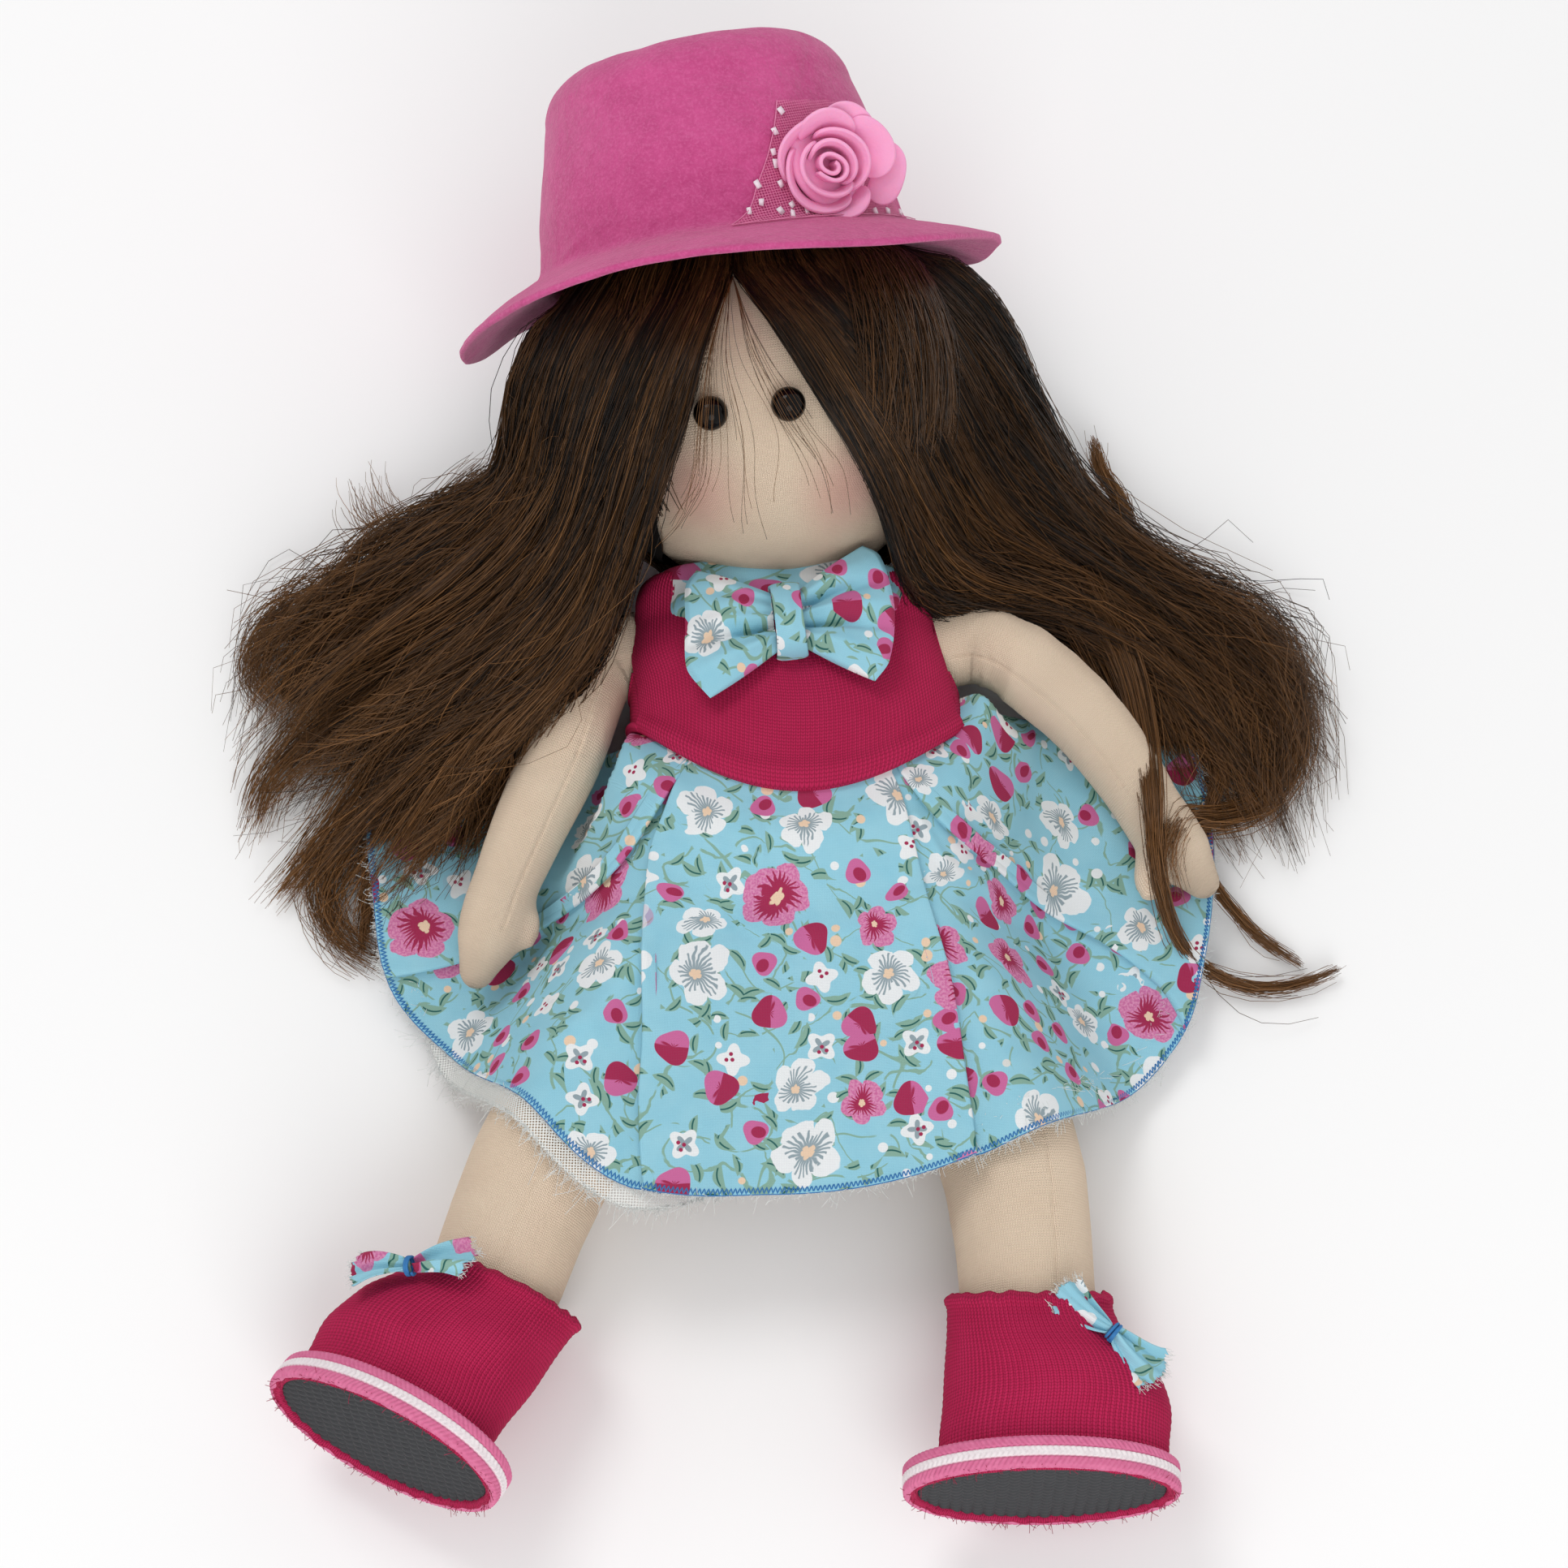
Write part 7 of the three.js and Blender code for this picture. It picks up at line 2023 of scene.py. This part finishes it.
def makeCurtain(side, replaced):
    s = hairSettings
    rng = np.random.default_rng(61 if side == "right" else 83)
    sheet = guideSheet(side, 48)
    # the roots run on under the hat towards the crown
    roots = placed(sheet[:, 0], intoHead)
    high = placed(roots * (0.55, 1.0, 0.62) + (0, 20, 0), headFrame)
    middle = blendOf(sheet[:, 0], high, 0.5) + np.array(headUp) * 3
    sheet = np.stack([curveThrough(np.concatenate([[high[k], middle[k]], guide[::3]]), 60)
                      for k, guide in enumerate(sheet)])
    count, steps = s["counts"][side], s["steps"]
    across = rng.uniform(0, 1, count) ** s["lean"][side]
    tufts = rng.uniform(0, 1, s["clumps"])
    tufts.sort()
    nearest = np.abs(across[:, None] + rng.normal(0, 0.015, (count, 1)) - tufts[None]).argmin(1)
    reach = np.clip(rng.normal(0.94, 0.08, count), 0.66, 1.08) - 0.06 * rng.uniform(0, 1, s["clumps"])[nearest]
    along = np.linspace(0, 1, steps)[None] * reach[:, None]
    spread = np.clip(across, 0, 1)
    places = alongGuides(sheet, spread, along)
    gathered = alongGuides(sheet, tufts[nearest], along)
    pull = (0.25 + 0.5 * rng.uniform(0, 1, s["clumps"])[nearest])[:, None] * smoothStep(along, 0.15, 1.0)
    places = blendOf(places, gathered, pull[..., None])
    depth = rng.uniform(0, 1, count)[:, None] ** 1.2
    thick = 5 + 7 * smoothStep(along, 0.15, 0.55) - 5 * smoothStep(along, 0.75, 1.0)
    places[..., 2] += 1.2 - depth * thick
    tuftSway = wander(rng, s["clumps"], np.linspace(0, 1, steps)[None].repeat(s["clumps"], 0),
                      np.full(s["clumps"], 4.5))[nearest]
    size = np.exp(rng.normal(0.35, 0.55, count)) * (1 + 1.2 * (spread > 0.8))
    places += (tuftSway + wander(rng, count, along, size)) * (1 + 0.9 * smoothStep(along, 0.6, 1.0)[..., None])
    places = underHat(overHead(places, 1.8))
    places[..., 2] = np.maximum(places[..., 2], 0.7 + 0.6 * depth)
    tuftTone = rng.uniform(-0.10, 0.14, s["clumps"])[nearest]
    lit = 0.4 * (rng.uniform(0, 1, (count, 1)) < 0.07)
    # painted shade: the deeper strands, lying under the others, are made darker; the tips are lighter
    tone = np.clip(0.11 + tuftTone[:, None] * 1.3 + rng.normal(0, 0.13, (count, 1)) + lit
                   + 0.36 * smoothStep(along, 0.3, 1.0) - 0.25 * depth, 0, 1)
    radii = taper(along, s["radius"])
    half = count // 2
    for part in range(2):
        pick = slice(part * half, (part + 1) * half)
        growHair(f"hair_{side}_{part + 1}", places[pick], tone[pick], radii[pick], replaced)


def makeLocks():
    s = hairSettings
    rng = np.random.default_rng(17)
    for name, (run, count, wide, narrow) in s["locks"].items():
        line = curveThrough(run, 70)
        reach = np.clip(rng.normal(0.97, 0.05, count), 0.7, 1.03)
        begin = rng.uniform(0, 0.18, count)
        along = begin[:, None] + np.linspace(0, 1, s["steps"])[None] * (reach - begin)[:, None]
        places = alongGuides(np.stack([line, line]), np.zeros(count), along)
        width = blendOf(wide, narrow, smoothStep(along, 0, 0.9))
        shift = rng.normal(0, 0.5, (count, 1, 3)) * (1, 1, 0.5)
        places = places + shift * width[..., None]
        places = places + wander(rng, count, along, np.exp(rng.normal(0.0, 0.5, count)))
        places[..., 2] = np.maximum(places[..., 2], 0.7)
        tone = np.clip(0.5 + rng.normal(0, 0.16, (count, 1)) + 0.2 * along, 0, 1)
        growHair("hair_lock_" + name, places, tone, taper(along, s["radius"]),
                 ["hair_wisp_left"] if name == "wrist" else ())


def makeFlyaways():
    s = hairSettings
    rng = np.random.default_rng(23)
    runs = []
    for side in ("right", "left"):
        sheet = guideSheet(side, 48)
        count = 230
        across = rng.uniform(0, 1, count)
        begin = rng.uniform(0, 0.6, count)
        reach = np.minimum(begin + rng.uniform(0.25, 0.6, count), 1.04)
        along = begin[:, None] + np.linspace(0, 1, s["steps"])[None] * (reach - begin)[:, None]
        places = alongGuides(sheet, across, along)
        free = np.linspace(0, 1, s["steps"])[None].repeat(count, 0)
        places += wander(rng, count, free, np.exp(rng.normal(1.4, 0.45, count)))
        places[..., 2] = np.maximum(places[..., 2] + 1.5 * free, 0.7)
        runs.append(overHead(places, 0.7))
    for run, count in s["strays"]:
        line = curveThrough(run, 40)
        along = np.linspace(0, 1, s["steps"])[None] * rng.uniform(0.6, 1.0, (count, 1))
        places = alongGuides(np.stack([line, line]), np.zeros(count), along)
        places += rng.normal(0, 3.0, (count, 1, 3)) * (1, 0.3, 0) * smoothStep(along, 0, 0.7)[..., None]
        places += wander(rng, count, along, np.full(count, 1.6))
        runs.append(overHead(places, 0.5))
    places = np.concatenate(runs)
    tone = np.clip(rng.normal(0.55, 0.15, (len(places), 1)), 0, 1) + np.zeros((1, s["steps"]))
    growHair("hair_flyaways", places, tone, s["radius"] * 0.6)


def makeCrown():
    # the hair under the hat and down the back of the head
    rng = np.random.default_rng(41)
    count, steps = 3600, 18
    bearing = rng.uniform(38, 322, count)
    along = np.linspace(0, 1, steps)[None] * rng.uniform(0.85, 1.0, (count, 1))
    back = np.abs(bearing - 180) < 85
    turn = np.radians(bearing)[:, None] + 0.12 * np.sin(along * 4 + rng.uniform(0, 6, (count, 1)))
    low = np.where(back, -62.0, -35.0)[:, None]
    rise = np.radians(blendOf(86.0, low, along))
    rx, ry, rz = 57.2, 62.0, 55.2
    swell = 1 + 0.03 * rng.uniform(0, 1, (count, 1))
    points = stacked(rx * swell * np.sin(turn) * np.cos(rise), 3.5 + ry * swell * np.sin(rise),
                     rz * swell * np.cos(turn) * np.cos(rise))
    points += wander(rng, count, along, np.full(count, 0.7))
    points = underHat(placed(points, headFrame))
    points[..., 2] = np.maximum(points[..., 2], 0.8)
    tone = np.clip(rng.normal(0.18, 0.12, (count, 1)) + 0.05 * along, 0, 1)
    return growHair("hair_crown", points, tone, 0.17, ["hair_cap"], loose=False)


def makeUnderHair():
    # dark matte masses that close the hair from below: the hair's darkest brown, partly its own colour and
    # partly painted shade of the hair's inner layers
    without = ("hair_cap", "hair_wisp_left", "hair_end_left", "hair_end_right")
    for node in nodes:
        if node.startswith("hair_") and node not in without:
            obj = remeshed(nodeCopy(node, node + "_under"), 2.2, 8)
            points = vertexPlaces(obj) - vertexNormals(obj) * 2.2
            sheet = guideSheet("right" if "right" in node else "left", 60)
            share = np.linspace(0, 1, 24)
            sheet = alongGuides(sheet, share, np.linspace(0, 1, 60)[None].repeat(24, 0)).reshape(-1, 3)
            gap = ((points[:, None, :2] - sheet[None, :, :2]) ** 2).sum(2)
            points[:, 2] = np.maximum(np.minimum(points[:, 2], sheet[gap.argmin(1), 2] - 4.5), 0.4)
            setPlaces(obj, points)
            dressed(obj, materials["hairUnderShade"], None, [node])
            overNeck(obj)
    obj = remeshed(nodeCopy("hair_cap", "hair_cap_under"), 1.6, 4)
    inside = placed(vertexPlaces(obj), intoHead)
    depth = np.linalg.norm(inside / (np.array(headHalf) + 1.2), axis=1, keepdims=True)
    setPlaces(obj, placed(inside / np.maximum(depth, 1), headFrame))
    return dressed(obj, materials["hairUnderShade"], "head", ["hair_cap"])


makeUnderHair()
makeCurtain("right", ["hair_front_right", "hair_side_right", "hair_fan_right", "hair_end_right"])
makeCurtain("left", ["hair_front_left", "hair_side_left", "hair_fan_left", "hair_end_left"])
makeLocks()
makeFlyaways()
makeCrown()
